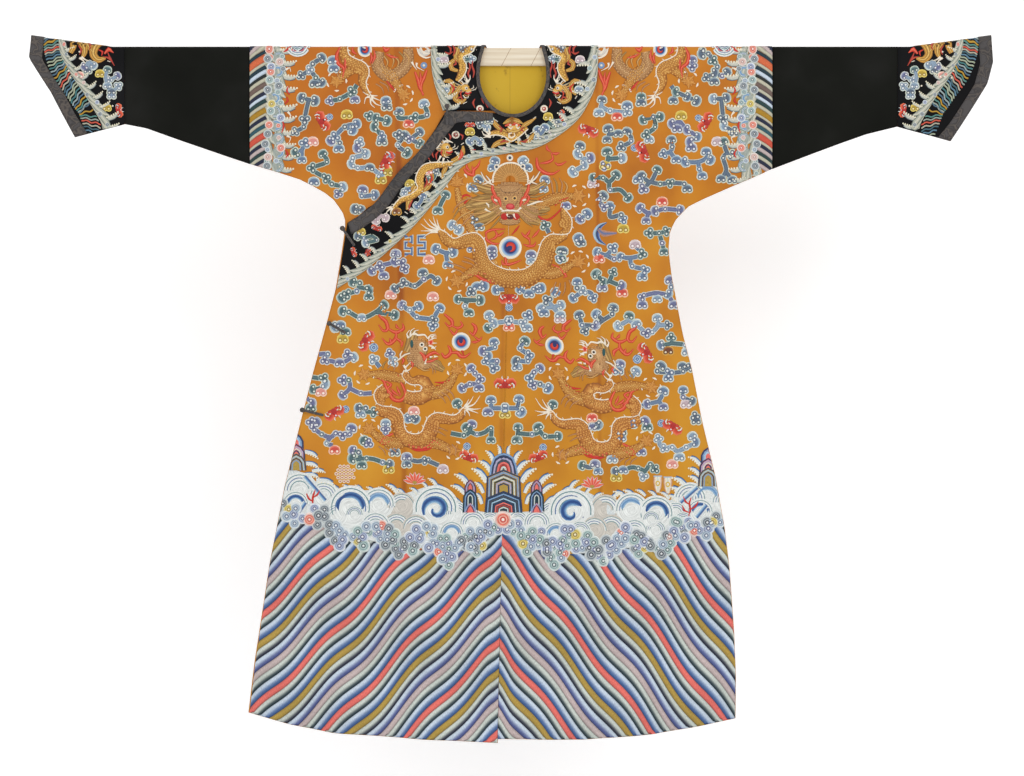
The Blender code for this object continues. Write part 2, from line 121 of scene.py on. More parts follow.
# ---------------------------------------------------------------- the lengths of yellow silk
# Two lengths of satin silk run over the shoulders from front hem to back hem, lined with gold silk, and
# a third crosses over at the front. They are sewn up the centre and the sides, and fold over the slat.
# A place on the robe is (x, drop): drop is measured down from the top line, and below 0 it is behind.
CLOTH = 0.0020
SHELL = 0.0014
SEAM = 0.0003
LAID = 0.0006
TOP = 0.0206
FOLD_RADIUS = 0.0080
FOLD_DROP = FOLD_RADIUS + CLOTH / 2
AT_CREST = SEAM / 2 + 0.0002
AT_SEAM = CLOTH / 2 + SEAM / 2
SEAM_ROUND = 0.110
CHEST_SWELL = 0.0045
SKIRT_SWELL = 0.0070
OVERLAP = CLOTH + LAID
OUTSIDE = CLOTH / 2  # from the middle of a wall to its outer face
SLEEVE_JOIN = 0.522
CUFF_JOIN = 0.772
FLARE_FROM = 0.797
CUFF_RISE = 0.022
CUFF_REACH = 0.960
HEM = 1.345
UNDER_HEM = 1.24
NECK_X = 0.004
NECK_HALF = 0.067
NECK_MID = 0.057
NECK_RISE = 0.100
NECK_DEEP = 0.136
NECK_BACK = 0.018
NECK_TOP_HALF = NECK_HALF * math.sqrt(1 - (NECK_MID / NECK_RISE) ** 2)
SIDE_SEAM = {  # drop, reach
    -1: np.array((
        (0.235, 0.5220), (0.247, 0.482), (0.262, 0.430), (0.288, 0.378), (0.307, 0.354), (0.331, 0.337),
        (0.350, 0.331), (0.372, 0.333), (0.420, 0.340), (0.486, 0.351), (0.580, 0.376), (0.656, 0.397),
        (0.751, 0.421), (0.880, 0.453), (1.035, 0.483), (1.130, 0.497), (1.240, 0.513), (HEM, 0.525),
    )),
    1: np.array((
        (0.245, 0.5220), (0.258, 0.494), (0.281, 0.439), (0.308, 0.378), (0.319, 0.356), (0.344, 0.331),
        (0.369, 0.318), (0.406, 0.315), (0.456, 0.321), (0.572, 0.343), (0.645, 0.362), (0.747, 0.382),
        (0.859, 0.409), (0.959, 0.427), (1.040, 0.437), (1.165, 0.446), (1.260, 0.450), (HEM, 0.449),
    )),
}
SLEEVE_SEAM = {  # reach, drop
    -1: np.array(((SLEEVE_JOIN, 0.235), (0.564, 0.221), (0.660, 0.188), (0.730, 0.163), (CUFF_JOIN, 0.155))),
    1: np.array(((SLEEVE_JOIN, 0.245), (0.606, 0.213), (0.660, 0.193), (0.711, 0.175), (CUFF_JOIN, 0.160))),
}
CUFF_END = {  # drop, reach
    -1: np.array(((-0.022, 0.959), (0.016, 0.963), (0.085, 0.919), (0.181, 0.872))),
    1: np.array(((-0.022, 0.960), (0.024, 0.963), (0.068, 0.952), (0.189, 0.879))),
}
HEM_LINE = {  # x, drop
    -1: np.array(((-0.525, 1.331), (-0.439, 1.354), (-0.353, 1.370), (-0.177, 1.383), (-0.025, 1.391))),
    1: np.array(((-0.026, 1.383), (0.145, 1.384), (0.282, 1.373), (0.386, 1.355), (0.449, 1.343))),
}
LAPEL = np.array((  # reach to the wearer's right, drop
    (0.000, 0.1365), (0.064, 0.131), (0.128, 0.131), (0.136, 0.147), (0.186, 0.212),
    (0.228, 0.255), (0.268, 0.309), (0.302, 0.337), (0.330, 0.353),
))
FOLDS = {  # x where it starts, x at the hem, half width, height, drop where it starts
    -1: (
        (-0.20, -0.335, 0.075, 0.011, 0.52), (-0.10, -0.165, 0.060, 0.009, 0.72),
        (0.06, 0.075, 0.060, 0.008, 0.66), (0.16, 0.235, 0.075, 0.012, 0.50),
        (0.30, 0.365, 0.050, 0.007, 0.85),
    ),
    1: (
        (-0.24, -0.380, 0.070, 0.010, 0.60), (-0.13, -0.215, 0.070, 0.011, 0.46),
        (0.00, -0.035, 0.060, 0.008, 0.70), (0.13, 0.160, 0.075, 0.012, 0.52),
        (0.26, 0.320, 0.060, 0.009, 0.74),
    ),
}
CREASE_DEPTH = 1.8
CREASES = {  # x and drop at the top, x and drop at the foot, half width, height (below 0, a trough)
    -1: (
        (-0.238, 0.00, -0.206, 0.95, 0.013, -0.0016), (-0.216, 0.02, -0.184, 0.86, 0.014, 0.0013),
        (0.170, 0.12, 0.178, 1.02, 0.014, -0.0017), (0.196, 0.20, 0.204, 0.88, 0.015, 0.0014),
        (-0.006, 0.42, -0.022, 1.02, 0.016, 0.0014), (0.022, 0.50, 0.008, 0.98, 0.012, -0.0010),
        (-0.218, 1.10, -0.186, 1.34, 0.014, 0.0024), (-0.190, 1.14, -0.160, 1.37, 0.013, -0.0022),
        (0.158, 1.02, 0.196, 1.24, 0.013, 0.0020), (0.186, 1.00, 0.224, 1.20, 0.013, -0.0018),
        (0.300, 0.36, 0.180, 0.62, 0.018, -0.0014), (-0.310, 0.42, -0.214, 0.60, 0.016, -0.0012),
        (-0.300, 0.24, -0.215, 0.10, 0.016, -0.0012), (0.360, 0.24, 0.240, 0.10, 0.017, -0.0013),
        (0.420, 0.18, 0.500, 0.03, 0.015, 0.0010), (-0.440, 0.17, -0.500, 0.03, 0.015, 0.0010),
    ),
    1: (
        (-0.226, 0.01, -0.214, 1.04, 0.014, -0.0017), (-0.202, 0.05, -0.190, 0.90, 0.014, 0.0012),
        (0.182, 0.03, 0.190, 0.98, 0.014, -0.0016), (0.160, 0.10, 0.166, 0.86, 0.013, 0.0013),
        (0.015, 0.34, -0.010, 1.00, 0.014, -0.0012), (0.290, 0.36, 0.190, 0.60, 0.017, -0.0013),
        (-0.300, 0.38, -0.200, 0.62, 0.017, -0.0012), (0.120, 1.06, 0.150, 1.34, 0.014, 0.0022),
        (-0.150, 1.02, -0.186, 1.30, 0.014, 0.0020), (0.410, 0.17, 0.480, 0.04, 0.015, -0.0010),
        (-0.390, 0.18, -0.470, 0.05, 0.016, -0.0012),
    ),
}
ROW = 0.0135
COLUMN = 0.0065
LENGTH_WIDTH, CROSSED_WIDTH = 0.5, 0.45
NARROWEST = 0.010  # the least width that a strip is cut to


def smooth(t):
    t = np.clip(t, 0.0, 1.0)
    return t * t * (3 - 2 * t)


def rise(x):
    return CUFF_RISE * np.clip((np.abs(x) - FLARE_FROM) / (CUFF_REACH - FLARE_FROM), 0.0, 1.0)


def to_line(x, y, line):
    """The nearest points of a line to the points (x, y), and how far off they are."""
    start, run = line[:-1], np.diff(line, axis=0)
    place_x, place_y = np.ravel(x)[:, None], np.ravel(y)[:, None]
    share = (place_x - start[:, 0]) * run[:, 0] + (place_y - start[:, 1]) * run[:, 1]
    share = np.clip(share / (run * run).sum(1), 0, 1)
    near_x, near_y = start[:, 0] + run[:, 0] * share, start[:, 1] + run[:, 1] * share
    far = np.hypot(near_x - place_x, near_y - place_y)
    best = far.argmin(1)
    rows = np.arange(len(best))
    shape = np.shape(x)
    return near_x[rows, best].reshape(shape), near_y[rows, best].reshape(shape), far[rows, best].reshape(shape)


SEAM_LINE = {
    side: np.concatenate((
        [CUFF_END[side][-1][::-1]], SLEEVE_SEAM[side][::-1], SIDE_SEAM[side][1:, ::-1]
    ))
    for side in (-1, 1)
}


def from_seam(x, drop):
    left = to_line(np.abs(x), drop, SEAM_LINE[1])[2]
    right = to_line(np.abs(x), drop, SEAM_LINE[-1])[2]
    return np.where(x > 0, left, right)


def folds(x, drop, face):
    out = np.zeros(np.shape(x))
    for start_x, hem_x, half, height, start in FOLDS[face]:
        middle = start_x + (hem_x - start_x) * np.maximum(drop - start, 0) / (HEM - start)
        near = np.minimum(np.abs(x - middle) / half, 1.0)
        out += height * smooth((drop - start) / (HEM - start)) * np.cos(near * math.pi / 2) ** 2
    for x1, drop1, x2, drop2, half, height in CREASES[face]:
        run = np.array((x2 - x1, drop2 - drop1))
        long = math.hypot(*run)
        share = ((x - x1) * run[0] + (drop - drop1) * run[1]) / long**2
        off = np.abs((x - x1) * run[1] - (drop - drop1) * run[0]) / long
        wide = half * (0.7 + 0.6 * np.clip(share, 0, 1))
        near = np.minimum(off / wide, 1.0)
        depth = CREASE_DEPTH * height * np.sin(np.clip(share, 0, 1) * math.pi) ** 0.7
        out += depth * np.cos(near * math.pi / 2) ** 2
    return out


def place(x, drop, face, lift=0.0, plain=False):
    """The points of places on the robe, moved out of the cloth's middle by lift."""
    x, drop, lift = np.broadcast_arrays(np.asarray(x, float), np.asarray(drop, float), np.asarray(lift, float))
    behind = drop + rise(x) < 0
    face = np.where(behind, -face, face)
    drop = np.where(behind, -drop - 2 * rise(x), drop)
    over_slat = drop + rise(x) < FOLD_DROP
    angle = (drop + rise(x)) / FOLD_DROP * math.pi / 2
    fold_out = np.maximum((FOLD_RADIUS + lift) * np.sin(angle), np.where(behind, 0, AT_CREST))
    fold_up = TOP + rise(x) - FOLD_DROP + (FOLD_RADIUS + lift) * np.cos(angle)
    swell = FOLD_RADIUS + CHEST_SWELL * smooth((drop - 0.05) / 0.45) + SKIRT_SWELL * smooth((drop - 0.5) / 0.85)
    if not plain:
        folded = np.where(face > 0, folds(x, drop, 1), folds(x, drop, -1))
        swell = swell + folded * smooth((drop - FOLD_DROP) / 0.03)
    near = 1 - np.minimum(from_seam(x, drop) / SEAM_ROUND, 1.0)
    out = AT_SEAM + (swell - AT_SEAM) * (1 - near * near)
    y = face * np.where(over_slat, fold_out, out + lift)
    z = np.where(over_slat, fold_up, TOP - drop)
    return np.stack((x, y, z), -1)


def blend_out(x):
    return 1 - smooth((-x - 0.04) / 0.16)


def over(x):
    """The lift of the crossed front, which is level with the other one at the centre seam."""
    return np.where(x < 0, OVERLAP * (1 - blend_out(x)), 0.0)


def under(x, drop):
    """The lift of the right front, which sinks where the other crosses it."""
    lapel = np.interp(-x, LAPEL[:, 0], LAPEL[:, 1])
    return np.where(x < 0, -OVERLAP * blend_out(x) * smooth((drop - 0.015) / (lapel - 0.045)), 0.0)


def neck_half(drop, face):
    if face > 0:
        return NECK_TOP_HALF * np.sqrt(np.maximum(1 - (drop / NECK_BACK) ** 2, 0))
    reach = np.where(drop > NECK_MID, NECK_DEEP - NECK_MID, NECK_RISE)
    return NECK_HALF * np.sqrt(np.maximum(1 - ((drop - NECK_MID) / reach) ** 2, 0))


def centre(drop, side=0):
    lean = -0.026 * np.maximum(drop - NECK_DEEP, 0) / (HEM - NECK_DEEP)
    return lean + side * (SEAM / 2 + 0.0002 * smooth((drop - 1.05) / 0.1))


def inner_edge(drop, face, side):
    half = neck_half(drop, face)
    seam = side * centre(drop, side)
    return side * np.where(half > 0, np.maximum(seam, side * NECK_X + half), seam)


def outer_edge(drop, side):
    seam = SIDE_SEAM[side]
    return side * (np.where(drop < seam[0, 0], SLEEVE_JOIN, np.interp(drop, seam[:, 0], seam[:, 1])) - SEAM / 2)


def to_hem(x, drop, side):
    line = HEM_LINE[side]
    return drop + smooth((drop - 0.90) / (HEM - 0.90)) * (np.interp(x, line[:, 0], line[:, 1]) - HEM)


def link(name, mesh, materials):
    for made in materials:
        mesh.materials.append(made)
    mesh.shade_smooth()
    piece = bpy.data.objects.new(name, mesh)
    bpy.context.scene.collection.objects.link(piece)
    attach(piece, "root")
    return piece


def cloth(name, points, face, wall, materials, ring=False):
    """A grid of points made a cloth of this wall: the points are its outer face, and it grows inwards."""
    rows, columns = points.shape[:2]
    index = np.arange(rows * columns).reshape(rows, columns)
    if ring:
        index = np.concatenate((index, index[:1]))
    faces = np.stack((index[:-1, :-1], index[:-1, 1:], index[1:, 1:], index[1:, :-1]), -1).reshape(-1, 4)
    flat = points.reshape(-1, 3)
    corner = flat[faces]
    normal = np.cross(corner[:, 1] - corner[:, 0], corner[:, 3] - corner[:, 0])
    out = corner.mean(1)[:, 1] if ring else face
    if (normal[:, 1] * out).sum() < 0:
        faces = faces[:, ::-1]
    mesh = bpy.data.meshes.new(name)
    mesh.from_pydata(flat.tolist(), [], faces.tolist())
    piece = link(name, mesh, materials)
    thick = piece.modifiers.new("wall", "SOLIDIFY")
    thick.thickness = wall
    thick.offset = -1
    if len(materials) > 1:
        thick.material_offset = 1
    return piece


def rows_down(start=0.0, end=HEM):
    """The drops of a panel's rows, close together over the slat."""
    fold = np.linspace(start, FOLD_DROP, 7)[:-1] if start < FOLD_DROP else []
    rest = np.arange(max(start, FOLD_DROP), end - ROW / 2, ROW)
    return np.concatenate((fold, rest, [end]))


def node(tree, kind, **settings):
    made = tree.nodes.new(kind)
    for name, value in settings.items():
        if name in made.inputs:
            made.inputs[name].default_value = value
        else:
            setattr(made, name, value)
    return made


def ramp(tree, stops):
    made = tree.nodes.new("ShaderNodeValToRGB")
    points = made.color_ramp.elements
    while len(points) < len(stops):
        points.new(0.5)
    for point, (spot, colour) in zip(points, stops):
        point.position = spot
        point.color = (*colour, 1)
    return made


SLUB_RUN, WEAVE_SHARE, PATCH_SCALE = 0.12, 0.25, 5


def calc(tree, operation, *values, kind="ShaderNodeMath", **settings):
    """The result of a node of arithmetic. Each of its values is a number, or the output of another node."""
    made = node(tree, kind, operation=operation, **settings)
    for socket, value in zip(made.inputs, values):
        if isinstance(value, bpy.types.NodeSocket):
            tree.links.new(value, socket)
        else:
            socket.default_value = value
    return made.outputs[0]


def remap(tree, value, limits, **settings):
    """A value that runs between the first two limits, made to run between the last two."""
    made = node(tree, "ShaderNodeMapRange", **settings)
    for socket, limit in zip(("From Min", "From Max", "To Min", "To Max"), limits):
        made.inputs[socket].default_value = limit
    tree.links.new(value, made.inputs["Value"])
    return made.outputs["Result"]


def mix(tree, share, first, second, **settings):
    """Two colours mixed by a share. Each colour is an output or a colour."""
    made = node(tree, "ShaderNodeMix", data_type="RGBA", **settings)
    for number, value in ((0, share), (6, first), (7, second)):
        if isinstance(value, bpy.types.NodeSocket):
            tree.links.new(value, made.inputs[number])
        else:
            made.inputs[number].default_value = value if number == 0 else (*value, 1)
    return made.outputs[2]


def scaled(tree, colour, shade):
    made = node(tree, "ShaderNodeVectorMath", operation="SCALE")
    tree.links.new(colour, made.inputs[0])
    tree.links.new(shade, made.inputs["Scale"])
    return made.outputs["Vector"]


def emboss(tree, height, strength, distance):
    """Gives the material's surface a fine relief."""
    relief = node(tree, "ShaderNodeBump", Strength=strength, Distance=distance)
    tree.links.new(height, relief.inputs["Height"])
    tree.links.new(relief.outputs["Normal"], tree.nodes["Principled BSDF"].inputs["Normal"])


def fabric_group():
    """Weave: fine warp and weft on the cloth, with slubs. It puts out a height, and a patchy mask."""
    group = bpy.data.node_groups.new("weave", "ShaderNodeTree")
    face = group.interface
    face.new_socket("Vector", in_out="INPUT", socket_type="NodeSocketVector")
    face.new_socket("Threads", in_out="INPUT", socket_type="NodeSocketFloat").default_value = 1200
    face.new_socket("Slub", in_out="INPUT", socket_type="NodeSocketFloat").default_value = 60
    face.new_socket("Height", in_out="OUTPUT", socket_type="NodeSocketFloat")
    face.new_socket("Patches", in_out="OUTPUT", socket_type="NodeSocketFloat")
    start, end = node(group, "NodeGroupInput"), node(group, "NodeGroupOutput")
    split = node(group, "ShaderNodeSeparateXYZ")
    group.links.new(start.outputs["Vector"], split.inputs[0])
    turns = [calc(group, "MULTIPLY", split.outputs[axis], start.outputs["Threads"]) for axis in ("X", "Z")]
    both = calc(group, "MULTIPLY", *(calc(group, "SINE", turn) for turn in turns))
    stretch = calc(group, "MULTIPLY", start.outputs["Vector"], (1, 1, SLUB_RUN), kind="ShaderNodeVectorMath")
    slub = node(group, "ShaderNodeTexNoise", Detail=3)
    group.links.new(stretch, slub.inputs["Vector"])
    group.links.new(start.outputs["Slub"], slub.inputs["Scale"])
    total = calc(group, "MULTIPLY_ADD", both, WEAVE_SHARE, slub.outputs["Fac"])
    group.links.new(total, end.inputs["Height"])
    broad = node(group, "ShaderNodeTexNoise", Scale=PATCH_SCALE, Detail=4)
    group.links.new(start.outputs["Vector"], broad.inputs["Vector"])
    group.links.new(broad.outputs["Fac"], end.inputs["Patches"])
    return group


weave = fabric_group()

CREASE_SHADE_LINES = (  # painted shade along the silk's creases: x at the top, its drift on the way down, half width, how dark
    (-0.228, 0.018, 0.010, 1.0), (0.171, 0.008, 0.007, 0.8), (-0.010, -0.012, 0.008, 0.6),
    (-0.244, 0.010, 0.034, 0.35), (0.190, 0.006, 0.034, 0.35), (-0.105, 0.03, 0.020, 0.25),
    (0.330, -0.05, 0.024, 0.3),
)
# the colour that the painted crease shade multiplies by
CREASE_SHADE_TINT = (0.66, 0.48, 0.36)
UNEVEN = (0.40, 0.60, 1.0, 0.35)  # the patches over which a line of painted crease shade fades, and how much of it is left
# The colour goes from darker and redder at the shoulders, most at the left, to lighter and yellower at the hem.
DRIFT = ((0.14, (0.92, 0.74, 0.80)), (0.50, (1.0, 1.0, 1.0)), (0.86, (1.05, 1.26, 1.20)))
DRIFT_DOWN, DRIFT_ACROSS, DRIFT_START = -0.62, 0.30, 0.22


def drift_and_crease_shade(tree, place_in, patches, colour):
    """The colour, lighter toward the hem, with painted shade in soft uneven lines along the creases."""
    parts = node(tree, "ShaderNodeSeparateXYZ")
    tree.links.new(place_in, parts.inputs[0])
    down = calc(tree, "MULTIPLY_ADD", parts.outputs["Z"], DRIFT_DOWN, DRIFT_START)
    across = calc(tree, "MULTIPLY_ADD", parts.outputs["X"], DRIFT_ACROSS, down)
    tint = ramp(tree, DRIFT)
    tree.links.new(across, tint.inputs[0])
    drifted = mix(tree, 1.0, colour, tint.outputs[0], blend_type="MULTIPLY")
    total = None
    # each line of painted shade follows one of the silk's creases
    for x_top, drift, half, dark in CREASE_SHADE_LINES:
        aside = calc(tree, "MULTIPLY_ADD", parts.outputs["Z"], drift, parts.outputs["X"])
        near = calc(tree, "ABSOLUTE", calc(tree, "SUBTRACT", aside, x_top))
        shade = remap(tree, near, (0.0, half, dark, 0.0), interpolation_type="SMOOTHSTEP")
        total = shade if total is None else calc(tree, "ADD", total, shade, use_clamp=True)
    much = calc(tree, "MULTIPLY", total, remap(tree, patches, UNEVEN))
    return mix(tree, much, drifted, CREASE_SHADE_TINT, blend_type="MULTIPLY")


TONES_AT = 0.30, 0.50, 0.72  # where the three tones come among the patches


def silk(name, tones, roughness=0.45, sheen=0.08, shine=0.3, threads=2400, bump=0.0003, crease_shade=False):
    """A woven silk whose colour drifts between three close tones."""
    made = plain_material(name, tones[1], roughness)
    tree = made.node_tree
    shader = tree.nodes["Principled BSDF"]
    shader.inputs["Sheen Weight"].default_value = sheen
    shader.inputs["Sheen Roughness"].default_value = 0.4
    shader.inputs["Specular IOR Level"].default_value = shine
    where = node(tree, "ShaderNodeTexCoord")
    woven = node(tree, "ShaderNodeGroup")
    woven.node_tree = weave
    woven.inputs["Threads"].default_value = threads
    tree.links.new(where.outputs["Object"], woven.inputs["Vector"])
    toned = ramp(tree, tuple(zip(TONES_AT, tones)))
    tree.links.new(woven.outputs["Patches"], toned.inputs[0])
    colour = toned.outputs[0]
    # this option also makes the colour lighter toward the hem and paints shade along the creases
    if crease_shade:
        colour = drift_and_crease_shade(tree, where.outputs["Object"], woven.outputs["Patches"], colour)
    tree.links.new(colour, shader.inputs["Base Color"])
    emboss(tree, woven.outputs["Height"], 0.6, bump)
    return made


YELLOWS = (0.440, 0.136, 0.0045), (0.560, 0.200, 0.0075), (0.635, 0.272, 0.0160)
GOLDS = (0.50, 0.30, 0.010), (0.58, 0.36, 0.016), (0.62, 0.40, 0.030)
# the yellow silk carries painted shade along its creases
yellow = silk("yellow_silk", YELLOWS, sheen=0.05, crease_shade=True)
lining = silk("lining_silk", GOLDS, 0.6)


def flat_area(points):
    """The area of a grid of points, in square metres."""
    a, b, c, d = points[:-1, :-1], points[:-1, 1:], points[1:, 1:], points[1:, :-1]
    halves = np.cross(b - a, c - a), np.cross(c - a, d - a)
    return float(sum(np.linalg.norm(half, axis=-1).sum() for half in halves) / 2)


def declare(points, strip=False):
    """Works out the area and the size that a piece was cut to: the grid's box, or a strip's width and length. Nothing
    is kept.
    """
    area = flat_area(points)
    wide, tall = (float(np.ptp(points[..., i])) for i in (0, 2))
    if strip:
        middle = points[:, points.shape[1] // 2]
        tall = float(np.linalg.norm(np.diff(middle, axis=0), axis=1).sum())
        wide = max(area / tall, NARROWEST)


def yellow_cloth(node_name, points, face):
    piece = cloth(f"silk_{node_name}", points, face, SHELL, (yellow, lining))
    declare(points)
    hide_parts(node_name)


def silk_length(node_name, face, side):
    """A front or back, with its part of the sleeve."""
    drops = rows_down()[:, None]
    share = np.linspace(0, 1, int(LENGTH_WIDTH / COLUMN))[None, :]
    x = inner_edge(drops, face, side) * (1 - share) + outer_edge(drops, side) * share
    yellow_cloth(node_name, place(x, to_hem(x, drops, side), face, OUTSIDE), face)


silk_length("front_left", -1, 1)
silk_length("back_left", 1, 1)
silk_length("back_right", 1, -1)

drops = rows_down(end=UNDER_HEM)[:, None]
share = np.linspace(0, 1, int(LENGTH_WIDTH / COLUMN))[None, :]
free = np.minimum(inner_edge(drops, -1, -1), -0.012 - 0.05 * smooth((drops - NECK_DEEP) / 0.4))
edge = np.where(drops < NECK_DEEP, inner_edge(drops, -1, -1), free)
x = edge * (1 - share) + outer_edge(drops, -1) * share
# The part that shows has the crease of the shoulder, and the hidden part hangs plain.
lapel_at = np.interp(-x, LAPEL[:, 0], LAPEL[:, 1])
shown = 1 - smooth((drops - lapel_at) / 0.03 + 1)
creased = place(x, drops, -1, under(x, drops) + OUTSIDE)
plain = place(x, drops, -1, under(x, drops) + OUTSIDE, plain=True)
yellow_cloth("front_right_under", creased * shown[..., None] + plain * (1 - shown[..., None]), -1)

top = LAPEL[-1, 1]
at_side = rows_down(start=top)[:, None]
share = (at_side - top) / (HEM - top)
across = np.linspace(0, 1, int(CROSSED_WIDTH / COLUMN))[None, :]
start = np.interp(across * LAPEL[-1, 0], LAPEL[:, 0], LAPEL[:, 1])
drops = start + (HEM - start) * share
x = centre(drops, -1) + across * (outer_edge(np.maximum(drops, top), -1) - centre(drops, -1))
yellow_cloth("front_right_crossed", place(x, to_hem(x, drops, -1), -1, over(x) + OUTSIDE), -1)

# ---------------------------------------------------------------- the striped hem
# Standing-water stripes: thick floss laid over a cotton padding in wavy diagonal bands, which meet in a
# chevron at the centre seams. A wide band is followed by two pairs of a pale and a dark one.
STRIPES = {  # face, side: length of a cycle down the cloth, the seam's drop at a coral band's middle, slope
    (-1, -1): (0.1825, 1.007, 1.04),
    (-1, 1): (0.2045, 0.987, 1.25),
    (1, -1): (0.2016, 1.001, 1.05),
    (1, 1): (0.2016, 1.001, 1.05),
}
CYCLES = -5, 3  # the first one counted up from the seam's coral band, and the last one down
STRIPE_REACH, STRIPE_STEP = 0.56, 0.0075
HIDDEN, PAST_HEM, PAST_SIDE = 0.03, 1.40, 0.54  # a band is left out above the waves, under the hem or past a side
STRIPE_WAVE = 0.0068
STRIPE_LENGTH = 0.132
PADDING = 0.0018
PALE_RUNS = 0.4  # how far a pale band has turned into the dark one where they meet
RUN_EDGE = 3.2  # how sharply it turns
ON_SILK = OUTSIDE + 0.0002


def dye(red, green, blue):
    """A colour of floss from its red, green and blue of 255."""
    share = np.array((red, green, blue)) / 255
    return tuple(np.where(share > 0.04045, ((share + 0.055) / 1.055) ** 2.4, share / 12.92).tolist())


CORAL, GOLD_OLIVE, TAUPE = dye(230, 112, 102), dye(176, 146, 66), dye(194, 176, 174)
SAGE, TEAL, NAVY = dye(204, 212, 204), dye(22, 52, 64), dye(26, 34, 60)
MIST, BLUE, INDIGO = dye(200, 214, 228), dye(62, 100, 158), dye(76, 88, 148)
WHITE = dye(226, 229, 226)
BANDS = (  # width as a share of the cycle, colour
    (0.094, CORAL), (0.054, SAGE), (0.060, TEAL), (0.054, MIST), (0.071, BLUE),
    (0.094, GOLD_OLIVE), (0.054, SAGE), (0.060, NAVY), (0.054, MIST), (0.071, INDIGO),
    (0.094, TAUPE), (0.054, SAGE), (0.060, TEAL), (0.054, MIST), (0.072, BLUE),
)


class Embroidery:
    """Stitched shapes on the flat cloth, which are laid on the robe at the end.

    Each shape is a patch of points (x, drop, height over the cloth) with a colour for each point, and
    how far each is along and across its stitches.
    """

    def __init__(self):
        self.points, self.faces, self.colours, self.stitches, self.count = [], [], [], [], 0

    def add(self, points, faces, colours, stitches):
        corners = points[faces]
        apart = [(np.abs(corners[:, i] - corners[:, i - 1]) > 1e-9).any(-1) for i in range(3)]
        faces = faces[np.all(apart, 0)]  # the middle of a disc leaves out its flat faces
        self.faces.append(faces + self.count)
        self.points.append(points)
        self.colours.append(colours)
        self.stitches.append(stitches)
        self.count += len(points)

    def grid(self, x, drop, height, colour, along, across):
        rows, columns = x.shape
        index = np.arange(rows * columns).reshape(rows, columns)
        corner = index[:-1, :-1], index[:-1, 1:], index[1:, 1:], index[1:, :-1]
        faces = np.stack((corner[0], corner[1], corner[2], corner[0], corner[2], corner[3]), -1).reshape(-1, 3)
        points = np.stack(np.broadcast_arrays(x, drop, height), -1).reshape(-1, 3)
        colours = np.broadcast_to(colour, (rows, columns, 3)).reshape(-1, 3)
        stitches = np.stack(np.broadcast_arrays(along, across), -1).reshape(-1, 2)
        self.add(points, faces, colours, stitches)

    def join(self, other, mirror=None, lean=0.0):
        """Takes in what is drawn in another, or its mirror image about a column, which may lean."""
        for points, faces, colours, stitches in zip(other.points, other.faces, other.colours, other.stitches):
            if mirror is not None:
                x = 2 * on_cloth(mirror, 0)[0] - points[:, 0]
                points = np.stack((x, points[:, 1] + lean * x, points[:, 2]), 1)
            start = faces.min() if len(faces) else 0
            self.add(points, faces - start, colours, stitches)

    def lay(self, name, face, material, skin, slot, outline):
        """Lays it all on the robe as one piece. skin gives the cloth's lift, outline trims to its edge."""
        flat, faces = np.concatenate(self.points), np.concatenate(self.faces)
        colours, stitches = np.concatenate(self.colours), np.concatenate(self.stitches)
        x, drop, outside = outline(*flat.T[:2])
        faces = faces[~outside[faces].all(1)]
        used = np.unique(faces)
        place_of = np.zeros(len(flat), int)
        place_of[used] = np.arange(len(used))
        faces = place_of[faces]
        x, drop, height, colours, stitches = (values[used] for values in (x, drop, flat[:, 2], colours, stitches))
        solid = place(x, drop, face, skin(x, drop) + height)
        corner = solid[faces]
        normal = np.cross(corner[:, 1] - corner[:, 0], corner[:, 2] - corner[:, 0])
        facing = normal[:, 1] * np.where(drop[faces].mean(1) + rise(x[faces]).mean(1) < 0, -face, face)
        faces = np.where((facing < 0)[:, None], faces[:, ::-1], faces)
        mesh = bpy.data.meshes.new(name)
        mesh.from_pydata(solid.tolist(), [], faces.tolist())
        tint = mesh.attributes.new("floss", "FLOAT_COLOR", "POINT")
        tint.data.foreach_set("color", np.concatenate((colours, np.ones((len(used), 1))), 1).ravel())
        guide = mesh.attributes.new("stitch", "FLOAT_VECTOR", "POINT")
        guide.data.foreach_set("vector", np.concatenate((stitches, np.zeros((len(used), 1))), 1).ravel())
        mesh.validate()
        link(name, mesh, (material,))


STITCH_RUN = 0.22  # how much finer a stitch is across than along
STITCH_SHADE = (0.3, 0.7, 0.66, 1.28)


def floss_group():
    """Silk floss: stitches side by side, each a little lighter or darker. Puts out a height and a shade."""
    group = bpy.data.node_groups.new("stitches", "ShaderNodeTree")
    face = group.interface
    face.new_socket("Vector", in_out="INPUT", socket_type="NodeSocketVector")
    face.new_socket("Fine", in_out="INPUT", socket_type="NodeSocketFloat").default_value = 900
    face.new_socket("Height", in_out="OUTPUT", socket_type="NodeSocketFloat")
    face.new_socket("Shade", in_out="OUTPUT", socket_type="NodeSocketFloat")
    start, end = node(group, "NodeGroupInput"), node(group, "NodeGroupOutput")
    squeezed = calc(group, "MULTIPLY", start.outputs["Vector"], (1, STITCH_RUN, 1), kind="ShaderNodeVectorMath")
    thread = node(group, "ShaderNodeTexNoise", Detail=2, Roughness=0.7)
    group.links.new(squeezed, thread.inputs["Vector"])
    group.links.new(start.outputs["Fine"], thread.inputs["Scale"])
    group.links.new(thread.outputs["Fac"], end.inputs["Height"])
    group.links.new(remap(group, thread.outputs["Fac"], STITCH_SHADE), end.inputs["Shade"])
    return group


stitches = floss_group()


